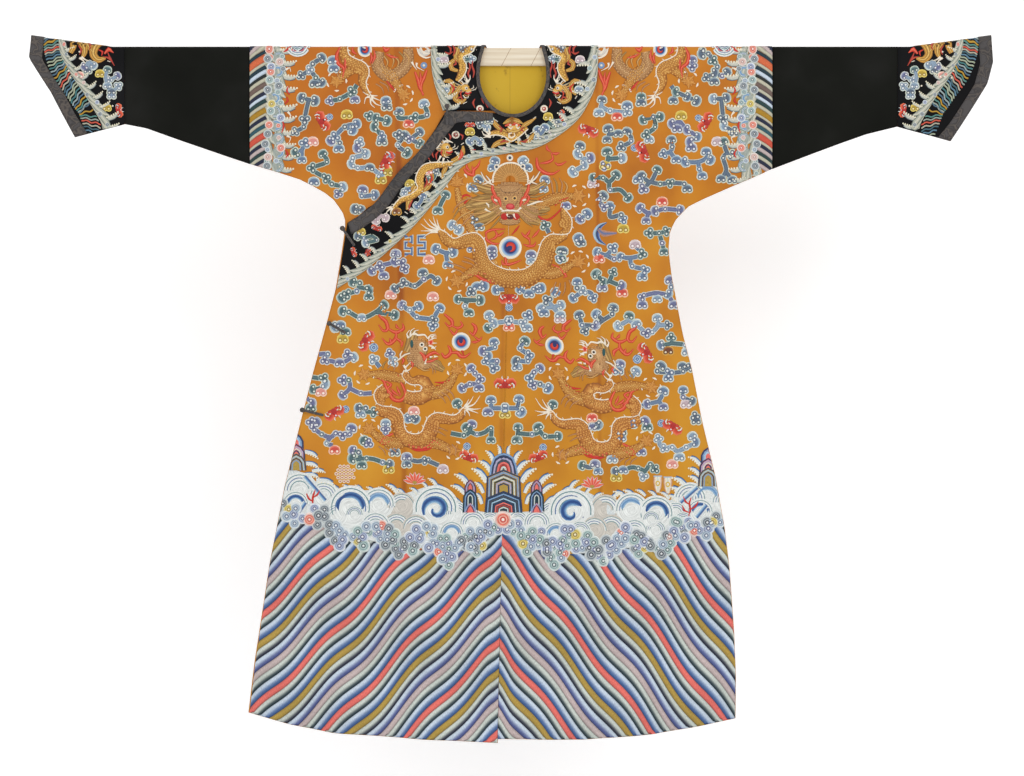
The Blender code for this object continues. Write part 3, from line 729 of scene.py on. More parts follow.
def floss_material(name, roughness, sheen, fine, bump, metallic=0.0):
    made = plain_material(name, WHITE, roughness)
    tree = made.node_tree
    shader = tree.nodes["Principled BSDF"]
    shader.inputs["Metallic"].default_value = metallic
    shader.inputs["Sheen Weight"].default_value = sheen
    shader.inputs["Sheen Roughness"].default_value = 0.35
    shader.inputs["Specular IOR Level"].default_value = 0.32
    tint = node(tree, "ShaderNodeAttribute", attribute_name="floss")
    guide = node(tree, "ShaderNodeAttribute", attribute_name="stitch")
    laid = node(tree, "ShaderNodeGroup")
    laid.node_tree = stitches
    laid.inputs["Fine"].default_value = fine
    tree.links.new(guide.outputs["Vector"], laid.inputs["Vector"])
    tree.links.new(scaled(tree, tint.outputs["Color"], laid.outputs["Shade"]), shader.inputs["Base Color"])
    emboss(tree, laid.outputs["Height"], 0.5, bump)
    return made


floss = floss_material("silk_floss", 0.45, 0.1, 900, 0.0005)


def robe_outline(x, drop):
    """Pulls places that are past the side seams or the hem back onto them."""
    new_x, new_drop = x.copy(), drop.copy()
    outside = np.zeros(len(x), bool)
    for side in (-1, 1):
        on_side = x > 0 if side > 0 else x <= 0
        reach = np.abs(x)
        seam = SIDE_SEAM[side]
        past = on_side & (drop > seam[0, 0]) & (reach > np.interp(drop, seam[:, 0], seam[:, 1]) - 0.001)
        near_x, near_drop, _ = to_line(reach[past], drop[past], seam[:, ::-1] - (0.001, 0))
        new_x[past], new_drop[past] = side * near_x, near_drop
        outside |= past
    for side in (-1, 1):
        line = HEM_LINE[side]
        on_side = (new_x > centre(new_drop)) == (side > 0)
        low = np.interp(new_x, line[:, 0], line[:, 1]) - 0.0006
        past = on_side & (new_drop > low)
        new_drop[past] = low[past]
        outside |= past
    return new_x, new_drop, outside


def front_skin(x, drop):
    """The lift of whichever front shows at a place."""
    lapel = np.interp(-x, LAPEL[:, 0], LAPEL[:, 1])
    crossed = (x < 0) & (drop > lapel)
    return np.where(crossed, over(x), under(x, drop)) + ON_SILK


def back_skin(x, drop):
    return np.full(np.shape(x), ON_SILK)


SKIN = {-1: front_skin, 1: back_skin}
FACE_NAME = {-1: "front", 1: "back"}


def water_stripes(work, face, side, top):
    """The bands of one panel, from a centre seam to the side, below the drops that top gives."""
    cycle, coral_at, slope = STRIPES[face, side]
    reach = np.arange(0, STRIPE_REACH, STRIPE_STEP)
    for turn in range(*CYCLES):
        start = coral_at + (turn - BANDS[0][0] / 2) * cycle
        for number, (width, colour) in enumerate(BANDS):
            band = width * cycle
            pale, dark = colour in (SAGE, MIST), BANDS[number - 1][1] in (SAGE, MIST)
            share = np.linspace(0, 1, 5)[:, None]
            at = start + band * share
            start += band
            wave = np.sin(reach / STRIPE_LENGTH * 2 * math.pi + at * 9 + side * 1.3 + 0.8)
            wander = 0.5 * np.sin(reach * 21 + at * 5 + 2 * side + face)
            drop = at + slope * reach + STRIPE_WAVE * (wave + wander) * smooth(reach / 0.03)
            x = centre(drop, side) + side * reach + 0 * at
            across = share / 2 + (0.5 if dark else 0) if pale or dark else share
            crown = np.sqrt(np.maximum(1 - (2 * across - 1) ** 2, 0))
            height = PADDING * (0.15 + 0.85 * crown)
            upper = top(x)
            keep = (drop > upper - HIDDEN).any(0) & (drop < PAST_HEM).any(0) & (np.abs(x) < PAST_SIDE).any(0)
            if not keep.any():
                continue
            columns = np.flatnonzero(keep)
            part = slice(columns[0], columns[-1] + 1)
            drop = np.maximum(drop, upper)
            faded = 1 + 0.05 * np.sin(reach * 43 + at * 29 + side) + 0.04 * np.sin(reach * 97 - at * 61)
            # painted shade and highlight: each band is darker toward its edges, where it meets the next band, and
            # lighter on its upper side, as if lit from above; faded varies it at random
            tone = (0.53 + 0.49 * crown + 0.26 * (0.5 - across)) * faded
            blend = PALE_RUNS * share**RUN_EDGE if pale else (1 - PALE_RUNS) * (1 - share) ** RUN_EDGE * dark
            other = BANDS[(number + 1) % len(BANDS)][1] if pale else BANDS[number - 1][1]
            mixed = np.array(colour) * (1 - blend) + np.array(other) * blend
            tint = np.broadcast_to(tone[..., None] * mixed[:, None, :], (*drop.shape, 3))
            work.grid(
                x[:, part], drop[:, part], (height + 0 * reach)[:, part], tint[:, part],
                (reach * 1.4 + 0 * at)[:, part], (at + 0 * reach)[:, part],
            )


STRIPE_TOP = np.array((  # x, drop: where the stripes come out from under the waves
    (-0.51, 0.900), (-0.46, 0.930), (-0.36, 0.966), (-0.33, 0.980), (-0.22, 0.996), (-0.124, 1.016),
    (-0.066, 0.996), (-0.016, 0.964), (0.038, 0.994), (0.088, 1.016), (0.178, 1.010), (0.258, 0.998),
    (0.31, 0.988), (0.39, 0.964), (0.47, 0.930),
))


def stripe_top(x):
    return np.interp(x, STRIPE_TOP[:, 0], STRIPE_TOP[:, 1])


for face in (-1, 1):
    work = Embroidery()
    for side in (-1, 1):
        water_stripes(work, face, side, stripe_top)
    work.lay(f"hem_stripes_{FACE_NAME[face]}", face, floss, SKIN[face], "yellow_silk", robe_outline)

# ---------------------------------------------------------------- the drawing on the silk
# The embroiderer's pattern is pounced on the cloth from a drawing ruled in 2 mm squares, the same on
# the front and the back. What repeats in it is stamped: a motif is drawn once, and set down, turned and
# sized, wherever it comes.
SQUARE = 0.002
CENTRE_COLUMN, SHOULDER_ROW = 511, 46.5
FLOSS_STEP = 1.9  # squares from point to point along a curve
NARROW, THREAD = 4.3, 1.6  # squares: a ribbon under the first is ridged, not flat, and under the second a thread
RIDGE_SIDE = 0.8  # the height of a ridge's sides
FOAM, ICE = dye(205, 214, 216), dye(168, 190, 208)


def on_cloth(columns, rows):
    return (np.asarray(columns) - CENTRE_COLUMN) * SQUARE, (np.asarray(rows) - SHOULDER_ROW) * SQUARE


def curve(spots, step=FLOSS_STEP):
    """A smooth line through the spots, and how far along the list of spots each of its points is."""
    spots = np.asarray(spots, float)
    ends = np.concatenate(([2 * spots[0] - spots[1]], spots, [2 * spots[-1] - spots[-2]]))
    points, along = [], []
    for i in range(len(spots) - 1):
        a, b, c, d = ends[i : i + 4]
        count = max(int(np.linalg.norm(c - b) / step), 1)
        t = (np.arange(count) / count)[:, None]
        points.append(b + t / 2 * (c - a + t * (2 * a - 5 * b + 4 * c - d + t * (3 * b - a - 3 * c + d))))
        along.append(i + t[:, 0])
    return np.concatenate((*points, spots[-1:])), np.append(np.concatenate(along), len(spots) - 1)


def ribbon(work, spots, width, colour, height, base=0.0, shades=None, smoothed=True, cloth=True):
    """Satin stitch along a line of spots. width is one or one for each spot, shades go from side to side."""
    if smoothed:
        line, along = curve(spots)
    else:
        line, along = np.asarray(spots, float), np.arange(len(spots))
    widths = np.interp(along, np.arange(len(spots)), np.broadcast_to(width, len(spots)))
    run = np.gradient(line, axis=0)
    run /= np.maximum(np.hypot(*run.T), 1e-9)[:, None]
    side = np.stack((-run[:, 1], run[:, 0]), 1)
    if shades is None:
        across = np.array((-1, 0, 1)) if np.max(width) < NARROW else np.array((-1, -0.82, 0, 0.82, 1))
        base = max(base, RIDGE_SIDE * height) if THREAD < np.max(width) < NARROW else base
    else:
        across = np.concatenate(([-1], np.linspace(-0.9, 0.9, max(len(shades), 3)), [1]))
    crown = np.where(np.abs(across) == 1, base, height * (1 - 0.22 * across**2))
    columns = line[:, :1] + side[:, :1] * widths[:, None] / 2 * across
    rows = line[:, 1:] + side[:, 1:] * widths[:, None] / 2 * across
    if shades is None:
        tint = np.array(colour)
    else:
        place_in = np.linspace(0, 1, len(shades))
        share = (np.clip(across, -0.9, 0.9) / 0.9 + 1) / 2
        tint = np.stack([np.interp(share, place_in, np.array(shades)[:, i]) for i in range(3)], -1)[None]
    gone = np.append(0, np.cumsum(np.hypot(*np.diff(line, axis=0).T))) * SQUARE
    x, drop = on_cloth(columns, rows) if cloth else (columns, rows)
    work.grid(x, drop, crown[None, :] + 0 * x, tint, across[None, :] * widths[:, None] / 2 * SQUARE, gone[:, None])


def disc(work, spot, rings, sides=14, squash=1.0, turn=0.0, cloth=True):
    """A round of stitches. rings has the radius, height and colour of each ring from the middle out."""
    angle = np.linspace(0, 2 * math.pi, sides + 1)
    radius = np.array([ring[0] for ring in rings])[:, None]
    height = np.array([ring[1] for ring in rings])[:, None]
    tint = np.array([ring[2] for ring in rings])[:, None, :]
    across, down = radius * np.cos(angle), radius * np.sin(angle) * squash
    columns = spot[0] + across * math.cos(turn) - down * math.sin(turn)
    rows = spot[1] + across * math.sin(turn) + down * math.cos(turn)
    x, drop = on_cloth(columns, rows) if cloth else (columns, rows)
    tint = np.broadcast_to(tint, (*columns.shape, 3))
    work.grid(x, drop, height + 0 * x, tint, radius * SQUARE + 0 * angle, angle * 0.003 + 0 * radius)


def plate(radius, height, colour):
    """The rings of a flat disc whose edge goes down to the cloth."""
    return ((0, height, colour), (radius * 0.86, height, colour), (radius, 0, colour))


def arc(middle, radius, start, end, count=None):
    """Spots along an arc, from a start to an end given in degrees clockwise from straight up."""
    count = count or max(int(abs(end - start) / 18), 3)
    angle = np.radians(np.linspace(start, end, count + 1))
    return np.stack((middle[0] + radius * np.sin(angle), middle[1] - radius * np.cos(angle)), 1)


def stamp_tree():
    """Sets the motif down at each point of the mesh, by the point's own turn and size."""
    tree = bpy.data.node_groups.new("stamp", "GeometryNodeTree")
    for name, kind in (("Spots", "Geometry"), ("Motif", "Object"), ("Floss", "Material")):
        tree.interface.new_socket(name, in_out="INPUT", socket_type=f"NodeSocket{kind}")
    tree.interface.new_socket("Stamped", in_out="OUTPUT", socket_type="NodeSocketGeometry")
    start, end = node(tree, "NodeGroupInput"), node(tree, "NodeGroupOutput")
    motif = node(tree, "GeometryNodeObjectInfo")
    repeat = node(tree, "GeometryNodeInstanceOnPoints")
    turn = node(tree, "GeometryNodeInputNamedAttribute", data_type="FLOAT", Name="turn")
    size = node(tree, "GeometryNodeInputNamedAttribute", data_type="FLOAT", Name="size")
    about = node(tree, "ShaderNodeCombineXYZ")
    rotation = node(tree, "FunctionNodeEulerToRotation")
    real = node(tree, "GeometryNodeRealizeInstances")
    dyed = node(tree, "GeometryNodeSetMaterial")
    for source, socket, target, into in (
        (start, "Spots", repeat, "Points"), (start, "Motif", motif, "Object"),
        (motif, "Geometry", repeat, "Instance"), (turn, "Attribute", about, "Z"),
        (about, "Vector", rotation, "Euler"), (rotation, "Rotation", repeat, "Rotation"),
        (size, "Attribute", repeat, "Scale"), (repeat, "Instances", real, "Geometry"),
        (real, "Geometry", dyed, "Geometry"), (start, "Floss", dyed, "Material"),
        (dyed, "Geometry", end, "Stamped"),
    ):
        tree.links.new(source.outputs[socket], target.inputs[into])
    return tree


stamp_group = stamp_tree()


class Motif:
    """A motif drawn with a function into an Embroidery of its own, in squares about its middle.

    A motif that comes in several dyes is drawn in whole numbers in place of colours, each the place of
    a layer's colour in the palette.
    """

    def __init__(self, name, draw, floss):
        drawn = Embroidery()
        draw(drawn)
        self.floss = floss
        mesh = bpy.data.meshes.new(name)
        mesh.from_pydata(np.concatenate(drawn.points).tolist(), [], np.concatenate(drawn.faces).tolist())
        for attribute, values in (("shade", drawn.colours), ("guide", drawn.stitches)):
            values = np.concatenate(values)
            if values.shape[1] == 2:
                values = np.concatenate((values, 0 * values[:, :1]), 1)
            mesh.attributes.new(attribute, "FLOAT_VECTOR", "POINT").data.foreach_set("vector", values.ravel())
        self.piece = bpy.data.objects.new(name, mesh)

    def stamp(self, work, spots, palettes=None):
        """Sets the motif down at spots of column, row, turn, size and, where it has palettes, tone."""
        spots = np.array(spots, float)
        mesh = bpy.data.meshes.new("spots")
        mesh.from_pydata([(*spot[:2], 0) for spot in spots], [], [])
        for place_in, name in enumerate(("turn", "size", "tone"), 2):
            mesh.attributes.new(name, "FLOAT", "POINT").data.foreach_set("value", spots[:, place_in].copy())
        holder = bpy.data.objects.new("spots", mesh)
        bpy.context.scene.collection.objects.link(holder)
        repeat = holder.modifiers.new("stamp", "NODES")
        repeat.node_group = stamp_group
        for socket in stamp_group.interface.items_tree:
            if socket.in_out == "INPUT" and socket.name == "Motif":
                repeat[socket.identifier] = self.piece
            if socket.in_out == "INPUT" and socket.name == "Floss":
                repeat[socket.identifier] = self.floss
        stamped = bpy.data.meshes.new_from_object(holder.evaluated_get(bpy.context.evaluated_depsgraph_get()))
        bpy.data.objects.remove(holder)

        def read(data, name, width, kind=float):
            values = np.empty(len(data) * width, kind)
            data.foreach_get(name, values)
            return values.reshape(-1, width) if width > 1 else values

        points = read(stamped.vertices, "co", 3)
        points[:, 0], points[:, 1] = on_cloth(points[:, 0], points[:, 1])
        faces = read(stamped.loops, "vertex_index", 1, np.int32).reshape(-1, 3)
        colours = read(stamped.attributes["shade"].data, "vector", 3)
        if palettes is not None:
            tone = read(stamped.attributes["tone"].data, "value", 1).round().astype(int)
            colours = np.array(palettes)[tone, colours[:, 0].round().astype(int)]
        guide = read(stamped.attributes["guide"].data, "vector", 3)[:, :2]
        bpy.data.meshes.remove(stamped)
        work.add(points, faces, colours, guide)


def spots_of(text):
    """The spots written in a line of the drawing, and whether a motif comes at each.

    A spot is a column and a row. A full stop after it says that the line only passes it.
    """
    words = text.split()
    return [tuple(map(float, word.rstrip(".").split(","))) for word in words], [word[-1] != "." for word in words]


# ---------------------------------------------------------------- the clouds
# Blue clouds in satin stitch: each is a bent stem with curled heads along it, outlined in pale floss.
FADED, PALED = 0.28, 0.10  # how far the clouds' dyes have gone toward grey, and toward white


def dull(dyes):
    """The blues and greens have gone greyer, the warm dyes have held."""
    grey, faded = sum(dyes) / 3, FADED if dyes[2] > dyes[0] else 0
    paled = PALED * (faded > 0)
    return dye(*((channel + (grey - channel) * faded) * (1 - paled) + 255 * paled for channel in dyes))


CLOUD_PALETTES = [  # outline, cap, middle, dark ring, eye, and the ring's inside
    [dull(dyes) for dyes in tone]
    for tone in (
        ((202, 208, 190), (124, 150, 166), (66, 90, 118), (40, 50, 66), (232, 234, 226), (104, 116, 136)),
        ((196, 208, 190), (118, 152, 150), (50, 92, 98), (32, 56, 58), (230, 234, 224), (92, 122, 120)),
        ((206, 214, 204), (132, 162, 186), (76, 108, 152), (48, 62, 98), (234, 236, 234), (120, 140, 172)),
        ((212, 218, 206), (172, 194, 202), (112, 144, 176), (66, 84, 118), (236, 238, 236), (158, 176, 192)),
        ((206, 210, 206), (142, 150, 182), (82, 90, 146), (52, 52, 96), (234, 234, 234), (126, 126, 162)),
        ((240, 190, 160), (226, 120, 98), (206, 78, 66), (196, 60, 50), (252, 234, 220), (236, 160, 138)),
        ((228, 206, 110), (214, 184, 76), (184, 154, 56), (122, 96, 50), (240, 226, 172), (206, 176, 90)),
        ((242, 206, 186), (236, 180, 166), (220, 146, 136), (206, 120, 112), (252, 238, 228), (240, 200, 188)),
        ((228, 214, 208), (212, 196, 198), (190, 170, 176), (158, 132, 140), (244, 236, 234), (214, 198, 198)),
        ((206, 156, 72), (160, 104, 52), (116, 66, 42), (70, 44, 34), (232, 218, 192), (140, 96, 58)),
    )
]
CLOUD_FLOSS = 0.00028  # the height of the lowest layer of stitches
CLOUD_LAYER = 0.00009
CLOUD_DISC = {  # a layer: its number of sides, and its height in layers
    0: (11, 0), 1: (10, 1), 2: (8, 2), 3: (9, 3), 4: (6, 5), 5: (7, 4),
}


def cloud_discs(work, discs):
    """Overlapping discs: the layer of each, its place, its half width and its half height."""
    for layer, column, row, across, down in discs:
        sides, raised = CLOUD_DISC[layer]
        height = CLOUD_FLOSS + CLOUD_LAYER * raised
        rings = plate(across, height, (layer,) * 3)
        rings = rings if layer == 0 else (rings[0], (across, *rings[1][1:]))
        disc(work, (column, row), rings, sides, down / across, cloth=False)


def eyes_of(spots):
    """The dark ring, its inside and its eye at each spot."""
    rounds = ((3, 2.2), (5, 1.65), (4, 1.05))
    return [(layer, *spot, radius, radius * 0.92) for spot in spots for layer, radius in rounds]


def draw_head(work):
    """A cap over two curls."""
    curls = ((-2.5, 1.0), (2.5, 1.0))
    cloud_discs(work, [(0, *spot, 3.5, 3.3) for spot in curls] + [(0, 0, -1.3, 5.5, 4.0)])
    cloud_discs(work, [(1, 0, -1.0, 4.9, 3.3), (2, 0, -1.2, 3.6, 1.9)] + eyes_of(curls))


def draw_trefoil(work):
    curls = ((-2.5, 1.2), (2.5, 1.2), (0, -2.4))
    cloud_discs(work, [(0, *spot, 3.5, 3.4) for spot in curls])
    cloud_discs(work, [(1, *spot, 2.8, 2.7) for spot in curls] + [(2, 0, 0, 2.2, 2.0)] + eyes_of(curls))


def draw_curl(work):
    cloud_discs(work, [(0, 0, 0, 3.5, 3.4), (1, 0, 0, 2.8, 2.7)] + eyes_of(((0, 0),)))


cloud_head = Motif("cloud_head", draw_head, floss)
cloud_trefoil = Motif("cloud_trefoil", draw_trefoil, floss)
cloud_curl = Motif("cloud_curl", draw_curl, floss)

# The clouds of the robe's two halves: a tone, then the lines of the stem, parted by slashes.
CLOUDS = {
    -1: """
0 322,58 313,64 310,70 301,76 / 310,70 316,78 315,84 / 316,78 322,83|2 333,61 334,69|0 302,98 309,100. 315,101 /
309,100. 306,113. 305,120 304,127 295,132|1 330,101 340,99 352,92 357,85. / 352,92 355,100|0 386,101 387,107|1
399,112 399,118. 414,118 427,115 424,104|2 357,124 345,127 335,137 331,141 / 345,127. 353,130 / 335,137 340,143
339,149|1 369,116 376,118 387,121 / 376,118 375,127 382,136 382,142|0 398,135 405,136 410,139 420,132 / 405,136.
398,145 403,150. 407,153 / 410,139 420,144|2 305,143 302,150. 296,153 / 302,150. 302,160|1 323,154 327,162 312,168
317,173. 326,178 332,184 343,187 338,194|3 360,142 358,148 366,154 353,158 352,164 358,168 370,168 381,175|0
314,182|2 363,190 362,196 375,195|0 355,209 361,210|4 396,254 395,262 402,263 405,269 / 395,262. 388,264. 380,266
372,271 / 380,266. 384,276|1 353,282 360,283 359,287. 357,291 347,294 342,298 / 359,287. 369,290 369,297|0 423,273
424,279 431,276. 437,281 / 424,279. 415,286 404,283 395,289|2 436,249 446,253. 453,252 / 446,253. 448,265|1 343,311
349,312 362,318 376,312. 384,305 / 376,312. 395,315|2 402,305 410,310 419,306 / 410,310. 417,317 434,320 433,326 /
434,320 436,314. 440,308|1 335,327 341,325 346,332|4 319,354. 328,354 325,360 332,361. 340,363 349,359. 348,354 /
349,359. 354,357|2 374,359 380,367.|3 390,353 391,358. 394,362|1 312,377. 319,378. 324,378 325,384 320,388. 313,389|4
343,380 349,380 350,388. 343,395 / 350,388. 361,393 372,393.|4 307,398. 312,403 311,408|1 359,408 366,408 362,411.
361,414 / 362,411. 375,412|4 311,422 317,422 314,427 322,434 331,437. 336,433 343,435 350,434 352,428 / 331,437.
327,443 333,445.|0 408,418 412,416. 416,419|4 386,423 386,430|4 364,440 369,443|1 353,450 359,452 360,459. 353,458 /
360,459. 362,465 / 360,459. 367,458 375,459. 383,462 390,464|0 395,452|0 407,457 407,464 / 409,459. 418,461. 426,460
439,465.|2 484,286 477,287 471,292|2 496,290 504,289.|1 458,299 468,300. 480,300 / 468,300. 465,306 469,313|3 489,315
491,321. 494,323 488,328 / 494,323. 509,321|2 494,342 495,347 483,351 488,356 486,361 497,361 494,368|4 471,368
475,373 480,379 476,384. 479,388 / 476,384. 470,384 462,388|2 491,400 491,408. 488,412 / 491,408. 505,408|1 457,403
460,408.|1 451,433. 464,435 470,431. 466,427 / 470,431. 472,424 / 470,431. 477,434 485,432. 491,428 491,440|1 446,195
442,202. 438,211|3 452,225 459,230|1 474,220 479,227|2 479,180 473,188|1 472,249|1 492,250
492,256|2 495,161 493,168""",
    1: """
0 702,54 708,54 713,61 717,67 714,73 706,78 / 714,73 722,76 727,72 / 714,73. 714,82|4 692,60 692,67|0 713,99 721,99.
726,98 / 721,99. 722,110. 723,119 724,126 734,132|0 696,101 687,97 676,92 671,86. / 676,92 673,101|0 641,97 641,103|3
602,100 601,107. 599,113 / 601,107. 610,111 627,112 627,106|1 643,120 653,117 660,117 / 653,117. 655,127 646,135
649,140|4 672,124 680,122. 677,129 / 680,122. 687,130 697,137 690,142 691,148|0 608,129 609,134. 607,140 / 609,134.
618,134 627,132 631,141 621,147|0 723,142 727,153. 732,155 / 727,153. 723,158 726,170. 721,179 / 726,172. 732,180|2
671,140 672,147 670,152. 663,154 / 670,152. 676,160 685,162 698,162. 706,158. 706,152 / 706,158. 710,160 / 698,162.
699,169 702,176|1 607,152 608,159. 605,166 / 608,159. 622,158|1 593,178 603,178 609,182. 616,175 / 609,182. 610,190
620,190. 628,198|0 638,180 641,176 650,182. 657,170 / 650,182. 643,189 / 650,182. 660,184 670,183 684,184 687,189|4
640,208 648,213. 655,211 665,209 680,210 / 648,213. 646,221|0 603,196 599,200 604,207 610,206 610,217. 621,215
623,220|1 649,233 659,233 667,231 / 660,236. 662,243 664,252|2 578,238 581,243|2 563,251 561,259|2 597,252 606,255.
613,248 / 606,255. 614,259 620,257 630,258. 642,254 635,246. / 630,258. 632,266 645,270 642,277|1 596,274 603,282
602,288 / 603,282. 609,281. 613,272 / 609,281. 621,286|2 577,282 577,288 583,291 591,293. 593,298 / 583,291.
573,298|4 670,280 671,287 668,294 655,293. 642,297 642,305 / 655,293. 657,299 / 668,294. 674,305|0 579,315 582,325
585,331 / 582,325. 595,325 603,320. 612,314 613,308 / 603,320. 596,314|3 618,326 628,320. 629,316 / 628,320. 636,324
646,333 652,332 658,325. 657,318 / 658,325. 668,325|1 671,337 671,343. 661,345 / 671,343. 685,345 687,352|2 620,364
618,371|3 636,371 631,377.|0 661,366 657,371 669,373 668,378 / 669,373. 683,371 682,366 / 683,371. 690,367|2 663,391
661,397. 659,401. 663,407 / 659,401. 647,404 640,406.|0 683,390 683,397 692,401|0 695,416 696,421|0 633,423 645,421
647,427|0 592,427 595,423. 598,425|2 621,432 621,438|3 658,438 660,445. 664,448 672,447 677,451. 686,447 695,442
692,436 / 677,451. 679,457|4 641,452|3 612,459|1 615,471 623,470 631,467. 638,468 645,470. 650,464 655,469 / 645,470.
643,476|0 582,465 590,467. 595,464 598,471|2 520,289 529,294 536,289 541,288|2 555,292 560,294.|3 541,308 544,313 /
542,308. 553,307. 561,305 / 553,307. 547,300 / 553,307. 560,315|3 528,315 525,321. 523,323 527,328 / 523,323.
509,321|2 525,341 520,348 529,355 528,361 516,361 517,367|3 540,368 534,372 530,378 533,385 / 534,382. 540,384
548,388|2 519,399 518,406. 517,408. 521,412 / 517,408. 505,408|1 553,404 551,409.|1 517,440 518,433. 518,427 /
518,433. 532,434 540,431. 538,427 / 540,431. 545,436 558,436|2 545,180 543,189|0 566,206|4 531,255 531,261|0 545,225
549,233.|2 587,214 580,219 / 580,219. 575,219.|0 576,238. 580,242|2 561,251 560,259|3 580,146 578,154 583,159.
590,158 / 583,159. 584,165 573,172|2 523,161 527,168|3 720,228""",
}
# The single heads of other dyes.
SINGLE_HEADS = {
    -1: """5 409,124|6 347,115|7 313,142|6 381,180|7 391,295|7 429,260|7 433,297|6 343,339|7 321,392|5 335,450|7
414,411|6 389,469|8 443,469|5 509,327|6 505,414|6 388,172""",
    1: """5 617,117|6 681,116|8 717,142|6 605,166|8 593,184|6 623,229|5 662,202|5 599,259|8 635,245|5 622,293|8
560,319|9 668,351|8 686,404|5 592,418|7 672,464|6 616,477""",
}


class Clouds:
    """Clouds being drawn: the spots at which each motif is to be stamped."""

    def __init__(self, seed, size=1.0):
        self.rng, self.size = np.random.default_rng(seed), size
        self.spots = {cloud_head: [], cloud_trefoil: [], cloud_curl: []}

    def draw(self, work, text):
        """Draws clouds from a text, parted by bars: a tone, then the lines of the stem, parted by slashes."""
        for written in text.split("|"):
            tone, lines = written.split(maxsplit=1)
            seen = set()
            for line in lines.split("/"):
                self.stem(work, int(tone), line, seen)

    def stem(self, work, tone, line, seen):
        spots, marked = spots_of(line)
        if len(spots) > 1:
            palette = CLOUD_PALETTES[tone]
            # the stem's thin middle line in the cap colour is a painted highlight
            for width, layer, raised in ((5.4, 0, -0.5), (4.0, 3, 0.2), (3.2, 2, 0.5), (1.1, 1, 0.9)):
                ribbon(work, spots, self.size * width, palette[layer], CLOUD_FLOSS + CLOUD_LAYER * raised)
        for i, spot in enumerate(spots):
            if not marked[i] or spot in seen:
                continue
            seen.add(spot)
            at_end = i in (0, len(spots) - 1)
            out = np.array(spot) * 2 - spots[max(i - 1, 0)] - spots[min(i + 1, len(spots) - 1)]
            turn = math.atan2(out[0], -out[1]) if len(spots) > 1 else 0.0
            shade = tone if tone > 4 or self.rng.random() < 0.55 else int(self.rng.integers(0, 5))
            chance = self.rng.random()
            if len(spots) == 1 or (at_end and chance < 0.80) or chance < 0.35:
                motif, turn = cloud_head, turn if abs(turn) < 2.4 else 0.0
            else:
                motif = cloud_trefoil if at_end or i % 2 == 0 else cloud_curl
            self.spots[motif].append((*spot, turn, self.size * (0.92 + 0.16 * self.rng.random()), shade))

    def heads(self, text):
        """Adds single heads from a text, parted by bars: a tone and a spot."""
        for written in text.split("|"):
            tone, spot = written.split()
            self.spots[cloud_head].append((*map(float, spot.split(",")), 0.0, 1.05 * self.size, int(tone)))

    def stamp(self, work):
        for motif, spots in self.spots.items():
            if spots:
                motif.stamp(work, spots, CLOUD_PALETTES)


BEHIND_COLLAR = 0.125


def shown_behind(text):
    """What is left of a text of clouds without those that the collar covers behind."""
    def clear(written):
        x, drop = on_cloth(*spots_of(written.split()[1])[0][0])
        return math.hypot(x, 1.1 * drop) > BEHIND_COLLAR

    return "|".join(filter(clear, text.split("|")))


# The clouds that fill the back where the front has its collar and crossed edge.
CLOUDS_BEHIND = """0 440,100 447,104. 455,101 / 447,104. 448,113|2 470,116 477,121. 486,118 / 477,121. 474,129|3
446,128 453,133. 462,131 / 453,133. 450,142|1 492,136 493,144|1 429,178 419,178 413,182. 406,175 / 413,182. 412,190
402,190. 394,198|0 425,152 418,158. 424,166|0 419,203 421,209. 412,212 410,222 / 421,209. 428,214|4 382,208 374,213.
367,211 357,209 342,214 / 374,213. 376,221|1 388,234 378,236. 368,232 / 378,236. 372,244 360,246|2 436,150 437,158|0
350,228 345,234. 350,240|0 582,100 575,104. 567,101 / 575,104. 574,113|2 552,116 545,121. 536,118 / 545,121.
548,129|3 576,128 569,133. 560,131 / 569,133. 572,142|1 530,136 529,144|7 400,168|6 468,103|8
556,140|5 432,240"""

for face in (-1, 1):
    work, drawn = Embroidery(), Clouds(7 + face)
    if face > 0:
        drawn.draw(work, CLOUDS_BEHIND)
    for side in (-1, 1):
        drawn.draw(work, CLOUDS[side] if face < 0 else shown_behind(CLOUDS[side]))
        drawn.heads(SINGLE_HEADS[side] if face < 0 else shown_behind(SINGLE_HEADS[side]))
    drawn.stamp(work)
    work.lay(f"clouds_{FACE_NAME[face]}", face, floss, SKIN[face], "yellow_silk", robe_outline)

# ---------------------------------------------------------------- the waves and the mountains
# Under the clouds a sea breaks on mountains: white foam in rings of satin stitch round blue curls, crests
# that throw up spray, and at the foot a bank of ringed bubbles, which the striped water runs out from.
SEA_FLOSS = 0.0004
BUBBLE_FLOSS = PADDING + 0.0001
LINE_BLUE, LINE_TEAL, LINE_DARK = dye(84, 112, 158), dye(96, 136, 142), dye(66, 72, 88)
DEEP, MID, PALE = dye(40, 74, 132), dye(90, 134, 184), dye(164, 194, 214)
STAINED = dye(204, 198, 188)
FAN_LAYER = 0.00016  # how far a fan of foam rises over the last one
SEA_TOP = np.array((  # column, row
    (262, 470), (283, 466), (300, 471), (318, 482), (335, 490), (351, 486), (366, 490), (379, 488), (396, 496),
    (412, 491), (430, 485), (446, 490), (458, 505), (480, 511), (504, 513), (528, 511), (550, 507), (558, 494),
    (572, 489), (588, 492), (604, 500), (622, 500), (632, 498), (642, 500), (656, 496), (670, 500), (680, 492),
    (698, 484), (712, 484), (745, 486),
))
SEA_FOOT = np.array((
    (255, 500), (280, 516), (300, 524), (320, 526), (336, 540), (364, 545), (386, 544), (398, 552), (412, 548),
    (432, 549), (449, 562), (462, 550), (477, 551), (492, 535), (503, 529), (514, 533), (528, 549), (543, 550),
    (554, 562), (570, 550), (584, 549), (602, 558), (617, 548), (638, 551), (650, 546), (661, 552), (672, 541),
    (690, 535), (707, 535), (722, 526), (745, 510),
))


